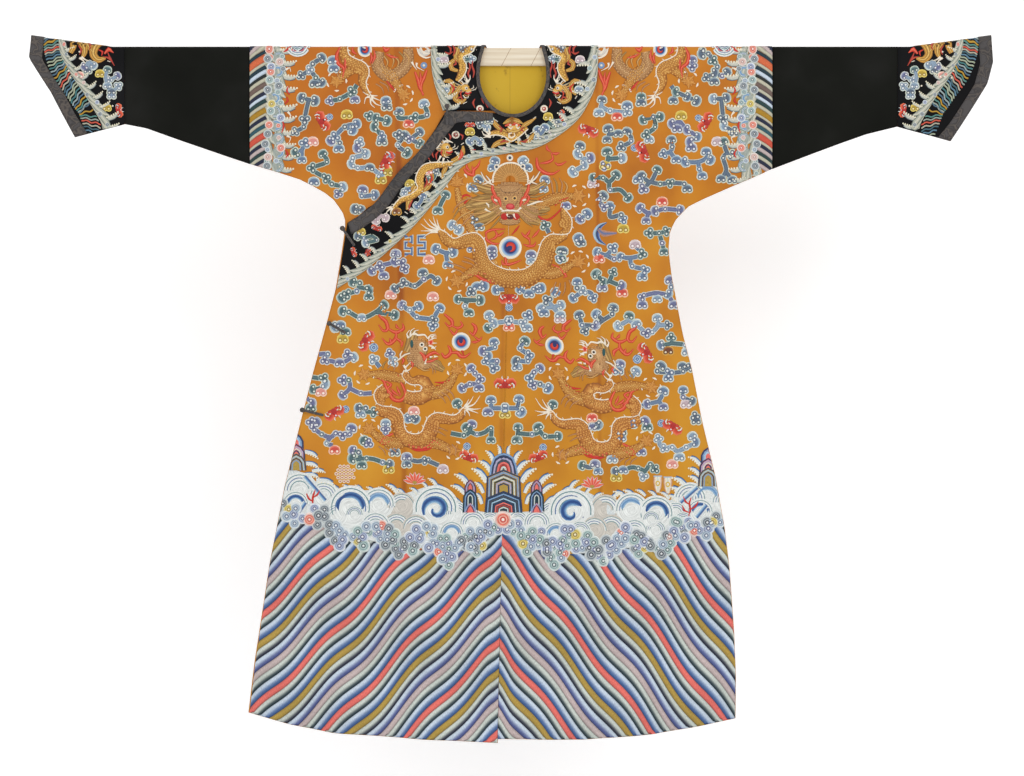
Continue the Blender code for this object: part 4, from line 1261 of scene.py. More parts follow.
def sea_bed(work):
    """The white ground of the sea, under its waves."""
    columns = np.arange(SEA_TOP[0, 0], SEA_TOP[-1, 0] + 1, 2.5)[None, :]
    share = np.linspace(0, 1, 14)[:, None]
    top = np.interp(columns, SEA_TOP[:, 0], SEA_TOP[:, 1])
    rows = top + (np.interp(columns, SEA_FOOT[:, 0], SEA_FOOT[:, 1]) - 1 - top) * share
    x, drop = on_cloth(columns + 0 * rows, rows)
    height = np.where((share == 0) | (share == 1), 0, SEA_FLOSS) + 0 * x
    patch = np.sin(columns * 0.55 + rows * 0.3) * np.sin(rows * 0.7 - columns * 0.11)
    tint = np.array(FOAM) + (np.array(WHITE) - FOAM) * (0.5 + 0.5 * patch[..., None])
    work.grid(x, drop, height, tint, x, drop)


def fan(work, middle, radius, start=-95, end=95, layer=0, curl=None, foam=WHITE):
    """Rings of foam, parted by thin lines. curl is the colours of the crescent that they break over."""
    height = SEA_FLOSS + FAN_LAYER * (1 + layer)
    disc(work, middle, plate(radius, height - 0.00006, foam), sides=20)
    rings = ((0.93, 0.15, foam), (0.86, 0.05, LINE_TEAL), (0.77, 0.13, WHITE), (0.69, 0.05, LINE_BLUE))
    rings += ((0.60, 0.13, WHITE), (0.52, 0.05, LINE_TEAL), (0.43, 0.12, foam))
    for share, width, colour in rings:
        wide = max(width * radius, 0.75)
        lift = 0.00012 if width < 0.1 else 0.00006
        ribbon(work, arc(middle, share * radius, start, end), wide, colour, height + lift, base=height)
    if curl:
        wide = [1.2] + [radius * 0.28] * 9 + [1.2]
        line = arc(middle, 0.56 * radius, start + 8, end - 8, 10)
        ribbon(work, line, wide, None, height + 0.0003, height, curl)


CURL_FROM, CURL_TURN, CURL_IN = 115, 400, 0.78  # degrees where it starts and that it turns, and how far it winds in


def spiral(work, middle, radius, side, height):
    """A blue curl that winds in to its eye."""
    turns = np.linspace(0, 1, 15)
    angle = np.radians(CURL_FROM - CURL_TURN * turns) * side
    reach = radius * (1 - CURL_IN * turns)
    spots = np.stack((middle[0] + reach * np.sin(angle), middle[1] - reach * np.cos(angle)), 1)
    width = radius * np.interp(turns, (0, 0.15, 0.6, 1), (0.18, 0.54, 0.50, 0.14))
    shades = (PALE, MID, DEEP, DEEP, MID) if side > 0 else (MID, DEEP, DEEP, MID, PALE)
    ribbon(work, spots, width, None, height + 0.0004, height, shades)


BEAD = dye(236, 228, 200)


def draw_spray(side, shadow=MID, foam=WHITE):
    def draw(work):
        def turned(spots):
            return [(side * across, down) for across, down in spots]

        for i, (spots, width, colour) in enumerate((
            (((4.2, 3.0), (0.6, -2.2), (-3.4, -5.8), (-8.5, -7.8)), (2.2, 2.4, 1.8, 0.8), shadow),
            (((4.8, 2.6), (1.4, -2.8), (-3.0, -6.8), (-8.2, -8.6)), 0.8, LINE_DARK),
            (((3.2, 4.2), (-0.8, -0.6), (-5, -4.6), (-10.5, -6.8)), (4.2, 4.2, 3.2, 1.2), foam),
            (((3.4, 3.6), (-0.4, -1.2), (-4.4, -5.0), (-9.4, -7.2)), 0.6, LINE_TEAL),
        )):
            ribbon(work, turned(spots), width, colour, SEA_FLOSS + 0.0001 * i, cloth=False)
        for spot in turned(((0.4, 3.4), (-1.8, 1.4), (-4.2, -0.8), (-6.8, -2.8), (-9.4, -4.6), (-12, -6.4))):
            disc(work, spot, ((0, SEA_FLOSS + 0.0005, BEAD), (1.15, SEA_FLOSS + 0.0003, BEAD)), 7, cloth=False)

    return draw


spray_left = Motif("spray_left", draw_spray(1), floss)
spray_right = Motif("spray_right", draw_spray(-1), floss)
SPRAYS = (  # column and row of the foot, turn in degrees, size; and the side that it leans to
    (466, 481, 4, 0.95, -1), (462, 490, -4, 0.85, -1), (459, 502, -2, 0.75, -1), (484, 477, 8, 1.05, -1),
    (489, 468, 8, 0.9, -1), (493, 459, 22, 0.8, -1), (500, 453, 46, 0.62, -1), (482, 489, 18, 0.72, -1),
    (481, 500, 24, 0.7, -1), (444, 490, 0, 0.8, -1), (436, 484, 10, 0.7, -1), (396, 490, 4, 0.8, -1),
    (404, 494, 8, 0.7, -1), (309, 452, 62, 0.8, 1), (309, 463, 54, 0.8, 1), (309, 474, 48, 0.8, 1),
    (322, 480, 50, 1.0, 1), (330, 486, 50, 0.8, 1), (316, 470, 40, 0.7, 1), (541, 481, -4, 0.95, 1),
    (545, 489, 4, 0.85, 1), (548, 501, 2, 0.75, 1), (524, 477, -8, 1.05, 1), (519, 468, -8, 0.9, 1),
    (515, 459, -22, 0.8, 1), (508, 453, -46, 0.62, 1), (526, 489, -18, 0.72, 1), (527, 500, -24, 0.7, 1),
    (563, 492, 0, 0.8, 1), (571, 486, -10, 0.7, 1), (612, 498, -4, 0.8, 1), (603, 501, -8, 0.7, 1),
    (350, 489, 6, 0.6, -1), (362, 490, 12, 0.6, -1), (374, 491, 4, 0.6, -1), (386, 492, 10, 0.65, -1),
    (417, 492, 4, 0.6, -1), (427, 487, 14, 0.55, -1), (336, 492, 6, 0.6, -1), (452, 497, 30, 0.6, -1),
    (576, 490, 0, 0.6, 1), (587, 491, -8, 0.6, 1), (595, 497, 0, 0.65, 1), (620, 500, 8, 0.6, 1),
    (643, 493, -4, 0.6, -1), (655, 495, 4, 0.6, -1), (667, 496, 0, 0.6, -1), (555, 499, -30, 0.6, 1),
    (624, 496, -4, 0.85, -1), (633, 495, 0, 0.8, -1), (698, 462, 0, 0.8, -1), (497, 510, 34, 0.6, -1),
    (492, 513, 8, 0.6, -1), (509, 509, -34, 0.6, 1), (515, 513, -8, 0.6, 1), (698, 473, 0, 0.8, -1),
    (698, 481, 0, 0.8, -1), (684, 484, 0, 1.0, -1), (681, 493, 0, 0.95, -1), (677, 500, 0, 0.8, -1),
)


def read_spots(text):
    return [tuple(map(float, word.split(","))) for word in text.split()]


def draw_bubble(work):
    for layer, (radius, sides) in enumerate(((5.2, 14), (4.4, 13), (3.7, 12), (2.9, 11), (2.1, 9), (1.05, 7))):
        rings = plate(radius, BUBBLE_FLOSS + 0.00008 * layer, (layer,) * 3)
        disc(work, (0, 0), rings if layer == 0 else rings[:2], sides, cloth=False)


bubble = Motif("bubble", draw_bubble, floss)
BUBBLE_PALETTES = [  # outline, pale ring, ring, paler ring, dark ring, eye
    [dull(dyes) for dyes in tone]
    for tone in (
        ((214, 224, 226), (186, 206, 218), (122, 150, 184), (176, 196, 210), (76, 98, 140), (228, 232, 232)),
        ((196, 206, 206), (150, 164, 170), (84, 96, 112), (158, 172, 176), (44, 50, 68), (216, 220, 220)),
        ((208, 222, 216), (170, 198, 192), (110, 150, 152), (170, 200, 194), (62, 92, 100), (224, 230, 226)),
        ((216, 224, 230), (176, 192, 218), (106, 124, 178), (168, 184, 212), (70, 76, 132), (230, 232, 234)),
        ((236, 214, 206), (232, 168, 150), (220, 106, 90), (238, 178, 158), (206, 84, 74), (248, 232, 222)),
        ((226, 222, 190), (222, 206, 120), (194, 168, 72), (226, 208, 130), (150, 126, 60), (238, 232, 200)),
        ((230, 220, 214), (222, 200, 192), (212, 172, 162), (230, 206, 196), (176, 132, 126), (240, 232, 226)),
    )
]
MIDDLE_BUBBLE, BIGGEST = (503, 519), 1.8
LOW_BUBBLES = 525  # a bubble below this row has another behind it
BUBBLES = """
289,509,5 296,508,0 294,514,3 295,523,0 303,518,3 310,519,4 315,508,3 325,509,1 319,515,1 325,516,1 318,524,1
330,524,1 340,530,0 330,532,1 337,539,3 343,539,3 340,545,3 354,536,0 363,536,3 359,540,5 364,545,2 369,531,2
376,525,3 382,525,4 379,531,3 388,533,0 381,538,0 393,539,1 386,544,1 396,548,1 405,546,1 399,554,1 413,542,2
413,550,2 421,534,0 429,531,5 433,533,0 416,543,2 429,547,3 437,543,3 443,543,0 439,551,4 449,548,2 455,547,0
443,558,0 452,556,3 449,564,2 466,536,2 466,545,1 471,546,0 476,536,1 481,536,3 482,545,5 477,552,2 488,524,3
490,532,0 498,529,3 507,529,3 503,519,4 518,523,3 514,531,2 521,535,2 528,536,2 537,536,0 523,543,5 531,544,3
538,544,0 527,551,2 547,548,3 553,546,2 560,543,3 567,545,2 564,553,4 551,556,2 561,557,0 554,564,2 569,534,2
575,534,5 576,548,3 584,540,0 582,547,0 598,549,1 591,554,1 603,560,2 613,543,3 616,549,0 675,521,2 681,527,3
688,521,3 694,530,4 699,530,3 707,522,1 712,522,5 708,528,3 706,535,0 669,536,6 675,535,0 684,537,3 663,540,2
670,542,2 662,548,1 667,549,2 661,553,1 644,541,3 650,545,1 644,547,5 637,545,3 638,553,2 634,539,2 621,532,4
626,533,3 617,539,0 625,539,0 610,545,3 621,543,0 609,554,3 589,547,1 283,503,1 287,516,0 716,516,1 720,522,0
728,518,3 278,508,1 735,512,1 272,502,3
"""

# The outlines of the mountains: a share of the half width, and rows below the peak.
DOME = ((1.0, None), (0.97, 24.0), (0.86, 12.5), (0.66, 4.6), (0.34, 1.2))
CHEVRON = ((1.0, None), (0.93, 7.2))
POINTED = ((1.0, None), (0.90, 8.0), (0.55, 3.0))


def arch(middle, half, peak, foot, inset, outline):
    """The line of one band of a mountain, in from its outline."""
    across, top = half - inset, peak + inset * 1.12
    left = [(-share, foot if down is None else min(top + down * across / half, foot)) for share, down in outline]
    left = [(middle + across * share, row) for share, row in left]
    spots = np.array([*left, (middle, top), *((2 * middle - column, row) for column, row in reversed(left))])
    counts = np.maximum(np.hypot(*np.diff(spots, axis=0).T) / FLOSS_STEP, 1).astype(int)
    parts = [np.linspace(start, end, count, endpoint=False) for start, end, count in zip(spots, spots[1:], counts)]
    return np.concatenate((*parts, spots[-1:]))


def mountain(work, middle, tiers, foot, band):
    """Peaks one before another. A tier has its half width, its peak's row, its outline and its bands' colours."""
    for layer, (half, peak, outline, colours) in enumerate(tiers):
        height = SEA_FLOSS + 0.0005 + 0.00035 * layer
        x = np.linspace(-1, 1, 17)[:, None]
        edge = np.array(arch(middle, half, peak, foot, 0, outline))
        tops = np.interp(middle + x * half, edge[:, 0], edge[:, 1])
        share = np.linspace(0, 1, 6)[None, :]
        columns, rows = on_cloth(middle + x * half + 0 * share, tops + (foot - tops) * share)
        work.grid(columns, rows, height - 0.0001 + 0 * columns, np.array(colours[-1]), columns, rows)
        for number, colour in enumerate(colours):
            inset = band * (number + 0.5)
            if half - inset < 0.6 * band:
                break
            line = arch(middle, half, peak, foot, inset, outline)
            ribbon(work, line, band * 0.98, colour, height + 0.00012, height - 0.0002, smoothed=False)


SLATE, SKY, LILAC, RUST = dye(44, 56, 90), dye(126, 158, 196), dye(172, 168, 196), dye(170, 60, 50)
CENTRE_PEAKS = (
    (15, 452.6, DOME, (SKY, SLATE, LILAC, LINE_DARK, CORAL, RUST, SAGE, TEAL)),
    (18, 468.8, CHEVRON, (SLATE, SKY, LINE_DARK, SAGE, TEAL, LILAC, SLATE, GOLD_OLIVE)),
    (19, 490.4, CHEVRON, (SLATE, SKY, LINE_DARK, PALE, SLATE, CORAL, RUST, SAGE, TEAL)),
)
SMALL_PEAKS = (
    (6.4, 478.8, POINTED, (SLATE, SKY, LINE_DARK, CORAL)),
    (7.8, 488.4, POINTED, (TEAL, SKY, SLATE, SAGE, TEAL)),
    (6.0, 502.4, POINTED, (SKY, SLATE, CORAL)),
)
EDGE_PEAKS = (
    (8, 0, POINTED, (SLATE, SKY, PALE, CORAL)),
    (9.5, 10.4, POINTED, (SLATE, LILAC, SAGE, SLATE, CORAL)),
    (10.5, 20, POINTED, (SLATE, PALE, SLATE, SKY, GOLD_OLIVE)),
)


PEAKS_FOOT = 512
SMALL_MIDDLES, CENTRE_MIDDLE = (470.4, 536.6), 503.6
EDGE_MIDDLES = ((296.5, 433, 470), (708, 447, 486))  # middle, the row of the highest peak, the row of the foot


def mountains(work):
    for middle in SMALL_MIDDLES:
        mountain(work, middle, SMALL_PEAKS, PEAKS_FOOT, 1.55)
    mountain(work, CENTRE_MIDDLE, CENTRE_PEAKS, PEAKS_FOOT, 1.95)
    for middle, peak, foot in EDGE_MIDDLES:
        tiers = [(half, peak + down, outline, colours) for half, down, outline, colours in EDGE_PEAKS]
        mountain(work, middle, tiers, foot, 1.8)


FANS = (  # column, row, radius, start, end, layer, kind
    (277, 486, 17, -90, 100, 0, ""), (300, 490, 18, -90, 80, 1, ""), (324, 496, 15, -80, 90, 1, ""),
    (296, 504, 14, -90, 90, 2, "blue"), (337, 516, 13, -90, 90, 3, ""), (379, 504, 17, -95, 95, 2, "line"),
    (402, 506, 14, -95, 90, 1, "stain"), (351, 507, 22, -112, 105, 3, "blue"), (355, 514, 9, -90, 90, 5, ""),
    (376, 526, 15, -90, 90, 4, ""), (397, 526, 14, -90, 90, 3, "stain"), (416, 528, 14, -90, 90, 4, "stain"),
    (436, 508, 23, -100, 100, 3, "curl"), (457, 513, 12, -95, 60, 2, ""), (473, 523, 14, -95, 95, 4, ""),
    (452, 533, 13, -100, 95, 5, "line"), (429, 531, 11, -90, 90, 5, ""), (490, 521, 11, -90, 90, 3, ""),
    (504, 522, 12, -90, 90, 2, ""), (518, 521, 11, -90, 90, 3, ""), (537, 523, 14, -95, 95, 4, ""),
    (551, 513, 12, -60, 95, 2, ""), (571, 511, 23, -100, 100, 3, "curl_right"), (556, 534, 13, -95, 100, 5, "line"),
    (580, 531, 11, -90, 90, 5, ""), (605, 509, 15, -90, 95, 1, "stain"), (594, 530, 14, -90, 90, 4, "stain"),
    (611, 528, 14, -90, 90, 3, "stain"), (631, 509, 17, -95, 95, 2, "line"), (656, 513, 18, -105, 112, 3, "blue"),
    (651, 519, 9, -90, 90, 5, ""), (634, 532, 14, -90, 90, 4, ""), (655, 530, 11, -90, 90, 4, ""),
    (707, 497, 17, -100, 90, 0, "line"), (690, 499, 17, -80, 90, 1, ""), (700, 512, 14, -90, 90, 2, "blue"),
    (675, 513, 12, -90, 80, 2, ""), (726, 502, 15, -90, 90, 0, ""), (683, 521, 10, -90, 90, 3, ""),
)


RUSHES = (  # the foot and the tip of a straight run of water
    ((326, 500), (305, 476)), ((299, 512), (306, 502)), ((680, 502), (697, 487)), ((696, 517), (706, 505)),
)


def sea(work):
    sea_bed(work)
    for column, row, radius, start, end, layer, kind in FANS:
        foam = STAINED if kind == "stain" else WHITE
        shades = {"blue": (MID, DEEP, DEEP, MID, PALE), "line": (PALE, MID, PALE)}.get(kind)
        fan(work, (column, row), radius, start, end, layer, shades, foam)
        if kind.startswith("curl"):
            side = -1 if kind == "curl" else 1
            spiral(work, (column, row + 1), radius * 0.56, side, SEA_FLOSS + FAN_LAYER * (layer + 2))
    for rush in RUSHES:
        ribbon(work, rush, 8.0, None, SEA_FLOSS + 0.0009, 0, (FOAM, WHITE, PALE, MID, DEEP, WHITE, FOAM))
    mountains(work)
    for side, motif in ((-1, spray_left), (1, spray_right)):
        leaning = [(c, r, math.radians(turn), size, 0) for c, r, turn, size, lean in SPRAYS if lean == side]
        motif.stamp(work, leaning)
    spots = read_spots(BUBBLES)
    low = [(column, row) for column, row, tone in spots if row > LOW_BUBBLES]
    spots += [(c + 4.4 * math.cos(1.7 * r), r - 5.2, (0, 3, 2, 1, 0, 3)[int(c + r) % 6]) for c, r in low]
    turns = np.random.default_rng(11).random(len(spots))
    sizes = [BIGGEST if spot[:2] == MIDDLE_BUBBLE else 1.16 + 0.24 * turn for spot, turn in zip(spots, turns)]
    rounds = [(*spot[:2], 6 * turn, size, spot[2]) for spot, turn, size in zip(spots, turns, sizes)]
    bubble.stamp(work, rounds, BUBBLE_PALETTES)


for face in (-1, 1):
    work = Embroidery()
    sea(work)
    work.lay(f"sea_{FACE_NAME[face]}", face, floss, SKIN[face], "yellow_silk", robe_outline)

# ---------------------------------------------------------------- the dragons
# Five dragons in couched gold thread, one facing, two rising below it and two over the shoulders. Each has
# a white spine with spikes, overlapping scales, red flames at its limbs, and a pearl of floss before it.
GOLD_FLOSS = 0.00042
ON_GOLD = 0.00078
SPINE_WIDTH, SPIKE_STEP = 1.5, 9.0
SCALE_STEP, SCALE_ROW, SCALE_TOP = 2.7, 2.6, GOLD_FLOSS + 0.00022
BRONZE, PALE_GOLD, BODY_GOLD = dye(140, 88, 44), dye(226, 178, 108), dye(198, 142, 76)
HAIR, OLIVE, ROSE, DULL = dye(182, 134, 76), dye(170, 136, 76), dye(196, 140, 100), dye(124, 98, 56)
SPINE_WHITE, DARK = dye(238, 226, 206), dye(44, 34, 34)
RED, SCARLET, FLAME, BLUSH = dye(186, 38, 30), dye(212, 60, 44), dye(216, 78, 50), dye(234, 126, 92)
GOLD_PALETTES = [  # a scale's rim, middle and crown; the crown is a painted highlight
    [dye(*dyes) for dyes in tone]
    for tone in (
        ((150, 88, 34), (198, 138, 64), (232, 184, 106)),
        ((148, 82, 34), (198, 132, 62), (230, 176, 100)),
        ((138, 96, 60), (186, 138, 88), (218, 176, 124)),
        ((168, 100, 40), (200, 134, 58), (224, 164, 86)),
        ((134, 98, 52), (188, 146, 80), (218, 178, 110)),
        ((146, 98, 36), (218, 164, 70), (240, 200, 112)),
    )
]
KINDS = {  # widths along a stroke, and the shades across it
    "F": ((0.8, 2.5, 3.0, 2.4, 0.8), (RED, SCARLET, BLUSH, SCARLET, RED)),
    "R": ((0.8, 2.0, 2.3, 2.0, 0.8), (RED, SCARLET, RED)),
    "G": ((0.8, 2.2, 2.6, 2.0, 0.7), (dye(96, 24, 26), dye(176, 48, 40), dye(196, 84, 58), dye(150, 36, 34))),
    "C": ((1.8, 3.5, 3.9, 2.9, 0.9), (RED, SCARLET, BLUSH, FLAME, SCARLET, RED)),
    "W": ((0.9, 1.7, 1.9, 1.6, 0.7), (SPINE_WHITE,)),
    "A": ((1.0, 2.2, 2.5, 2.4, 1.4), (BRONZE, SPINE_WHITE, SPINE_WHITE, HAIR)),
    "T": ((2.2, 1.6, 1.2, 0.9, 0.4), (SPINE_WHITE,)),
    "H": ((1.8, 2.4, 2.2, 1.5, 0.5), (BRONZE, HAIR, PALE_GOLD, BRONZE)),
    "O": ((1.6, 2.2, 2.0, 1.3, 0.5), (DULL, OLIVE, HAIR, DULL)),
    "P": ((1.4, 1.9, 1.6, 1.1, 0.5), (BRONZE, ROSE, HAIR)),
    "D": ((0.5, 0.9, 0.9, 0.7, 0.4), (DARK,)),
    "B": ((0.5, 0.9, 0.9, 0.7, 0.4), (BRONZE,)),
}


def strokes(work, height, text):
    """Draws the strokes of a text, parted by bars: the kind of each, then its spots."""
    for number, stroke in enumerate(text.split("|")):
        kind, line = stroke.split(maxsplit=1)
        widths, shades = KINDS[kind]
        spots = read_spots(line)
        share = np.linspace(0, len(widths) - 1, len(spots))
        wide = np.interp(share, range(len(widths)), widths)
        lift = height + 0.00002 * (number % 5)
        ribbon(work, spots, wide, shades[0], lift, shades=shades if len(shades) > 1 else None)


def draw_scale(work):
    # the crown colour in the scale's middle is a painted highlight
    rings = ((0, ON_GOLD, (2, 2, 2)), (0.8, ON_GOLD - 0.00003, (1, 1, 1)), (1.7, SCALE_TOP - 0.0001, (0, 0, 0)))
    disc(work, (0, 0), rings, 6, cloth=False)


class Dragon:
    """A dragon being drawn: its gold thread, its floss, and the scales that are to be stamped on it."""

    def __init__(self):
        self.gold, self.silk, self.scales = Embroidery(), Embroidery(), []

    def body(self, text, hand, tone, spiked=True):
        """A scaled body beside its spine. A spot has a column, a row and the body's width. hand is the side
        of the spine that it lies on: 1 to the left of its run, -1 to the right."""
        spots = np.array(read_spots(text))
        line, along = curve(spots[:, :2])
        wide = np.interp(along, np.arange(len(spots)), spots[:, 2])[:, None]
        run = np.gradient(line, axis=0)
        run /= np.hypot(*run.T)[:, None]
        out = hand * np.stack((run[:, 1], -run[:, 0]), 1)
        share = np.array((0, 0.06, 0.35, 0.65, 0.94, 1))
        columns, rows = (line[:, i : i + 1] + out[:, i : i + 1] * wide * share for i in (0, 1))
        height = GOLD_FLOSS * np.array((0.2, 1, 1.1, 1.1, 1, 0))
        rim, middle, crown = GOLD_PALETTES[tone]
        # the band of the crown colour down the body is a painted highlight
        tint = np.array((middle, middle, crown, middle, rim, rim))[None]
        gone = np.append(0, np.cumsum(np.hypot(*np.diff(line, axis=0).T)))
        x, drop = on_cloth(columns, rows)
        self.gold.grid(x, drop, height + 0 * x, tint, x, drop)
        for step, at in enumerate(np.arange(1.2, gone[-1], SCALE_STEP)):
            here = [np.interp(at, gone, values) for values in (*line.T, *out.T, wide[:, 0])]
            count = max(int((here[4] - 1.5) / SCALE_ROW), 1)
            for i in range(count):
                aside = here[4] * (i + (0.62 if step % 2 else 0.42)) / count
                if aside < here[4] - 1:
                    spot = (here[0] + here[2] * aside, here[1] + here[3] * aside)
                    self.scales.append((*spot, math.atan2(here[2], -here[3]), 1.0, tone))
        ribbon(self.gold, np.stack((columns[:, -2], rows[:, -2]), 1), 0.9, BRONZE, ON_GOLD, smoothed=False)
        if not spiked:
            return
        ribbon(self.silk, line, SPINE_WIDTH, SPINE_WHITE, ON_GOLD + 0.0001, smoothed=False)
        for at in np.arange(4, gone[-1] - 3, SPIKE_STEP):
            here = np.array([np.interp(at, gone, values) for values in (*line.T, *out.T, *run.T)])
            tip = here[:2] - 2.6 * here[2:4] + 1.4 * here[4:]
            ribbon(self.silk, [here[:2] - 0.3 * here[2:4], tip], (1.3, 0.4), SPINE_WHITE, ON_GOLD, smoothed=False)

    def claw(self, middle, radius, start, end, count=5, tone=3):
        """A paw: a pad and toes of gold thread, with nails of white floss set round it."""
        self.knots(middle, radius * 0.66, radius * 0.60, tone, 0.7)
        for angle in np.radians(np.linspace(start, end, count)):
            out = np.array((math.sin(angle), -math.cos(angle)))
            side = np.array((-out[1], out[0]))
            toe = [np.array(middle) + out * radius * share for share in (0.30, 0.62, 0.90)]
            rim, fill, crown = GOLD_PALETTES[tone]
            # the crown colour down each toe is a painted highlight
            ribbon(self.gold, toe, (3.2, 2.6, 1.4), fill, GOLD_FLOSS + 0.0001, shades=(rim, fill, crown, rim))
            reaches = ((step, radius * (1.22 - 0.01 * step * step)) for step in (-2.3, 0, 2.1))
            nail = [np.array(middle) + out * reach + side * step for step, reach in reaches]
            ribbon(self.silk, nail, (0.9, 2.0, 0.7), SPINE_WHITE, GOLD_FLOSS)

    def limb(self, text, tone, scaled=True):
        """A limb, or a mass of hair: a length along the middle of its spots, each with its width."""
        spots = np.array(read_spots(text))
        line, along = curve(spots[:, :2], 2.2)
        wide = np.interp(along, np.arange(len(spots)), spots[:, 2])
        rim, middle, crown = GOLD_PALETTES[tone]
        side = (rim, middle) if scaled else (rim, middle, rim)
        # lighter in the middle: the crown colour is a painted highlight
        shades = (*side, crown, *side[::-1])
        ribbon(self.gold, line, wide, middle, GOLD_FLOSS, shades=shades, smoothed=False)
        for step, (spot, across) in enumerate(zip(line[1:-1], wide[1:-1])):
            turn = line[step + 2] - line[step]
            aside = np.array((-turn[1], turn[0])) / max(math.hypot(*turn), 1e-6)
            count = max(int(across / SCALE_ROW), 1) if scaled else 0
            for i in range(count):
                at = spot + aside * across * ((i + (0.35 if step % 2 else 0.65)) / count - 0.5)
                self.scales.append((*at, math.atan2(turn[0], -turn[1]), 0.8, tone))

    def knots(self, middle, across, down, tone, size=0.72):
        """A patch of knotted gold thread, as on a brow or a jaw."""
        rim, fill, crown = GOLD_PALETTES[tone]
        # the crown colour at the patch's middle is a painted highlight
        rings = [(across * share, GOLD_FLOSS, colour) for share, colour in ((0, crown), (0.7, fill), (0.94, rim))]
        disc(self.gold, middle, [*rings, (across, 0, rim)], 18, down / across)
        for step, row in enumerate(np.arange(-down + 1.2, down - 0.6, SCALE_STEP * size)):
            half = (across - 0.9) * math.sqrt(max(1 - (row / down) ** 2, 0))
            for column in np.arange(-half + (step % 2) * size, half + 0.1, SCALE_ROW * size):
                shift = 0.5 * size * math.sin(9.1 * row + 5.3 * column)
                self.scales.append((middle[0] + column + shift, middle[1] + row, column, size, tone))

    def stamp(self):
        if self.scales:
            gold_scale.stamp(self.gold, self.scales, GOLD_PALETTES)


def pearl(work, middle, radius, turn=0.0):
    """A pearl: rings of white and blue, with a red flame curled up in it."""
    blue, navy = dye(104, 140, 188), dye(48, 52, 104)
    rings = (
        (0, ON_GOLD, navy), (radius * 0.50, ON_GOLD, navy), (radius * 0.62, ON_GOLD, blue),
        (radius * 0.76, ON_GOLD, dye(176, 198, 214)), (radius * 0.86, ON_GOLD, SPINE_WHITE),
        (radius * 0.97, GOLD_FLOSS, SPINE_WHITE), (radius * 1.02, 0, SPINE_WHITE),
    )
    disc(work, middle, rings, 26)
    swirl = arc(middle, radius * 0.33, turn - 20, turn + 250, 12)
    widths = np.interp(np.linspace(0, 1, 13), (0, 0.2, 0.7, 1), (0.7, 0.32 * radius, 0.30 * radius, 0.5))
    ribbon(work, swirl, widths, None, ON_GOLD + 0.0003, ON_GOLD, (RED, SCARLET, FLAME))


gold_thread = floss_material("gold_thread", 0.40, 0.1, 1500, 0.0003, metallic=0.25)
gold_scale = Motif("gold_scale", draw_scale, gold_thread)


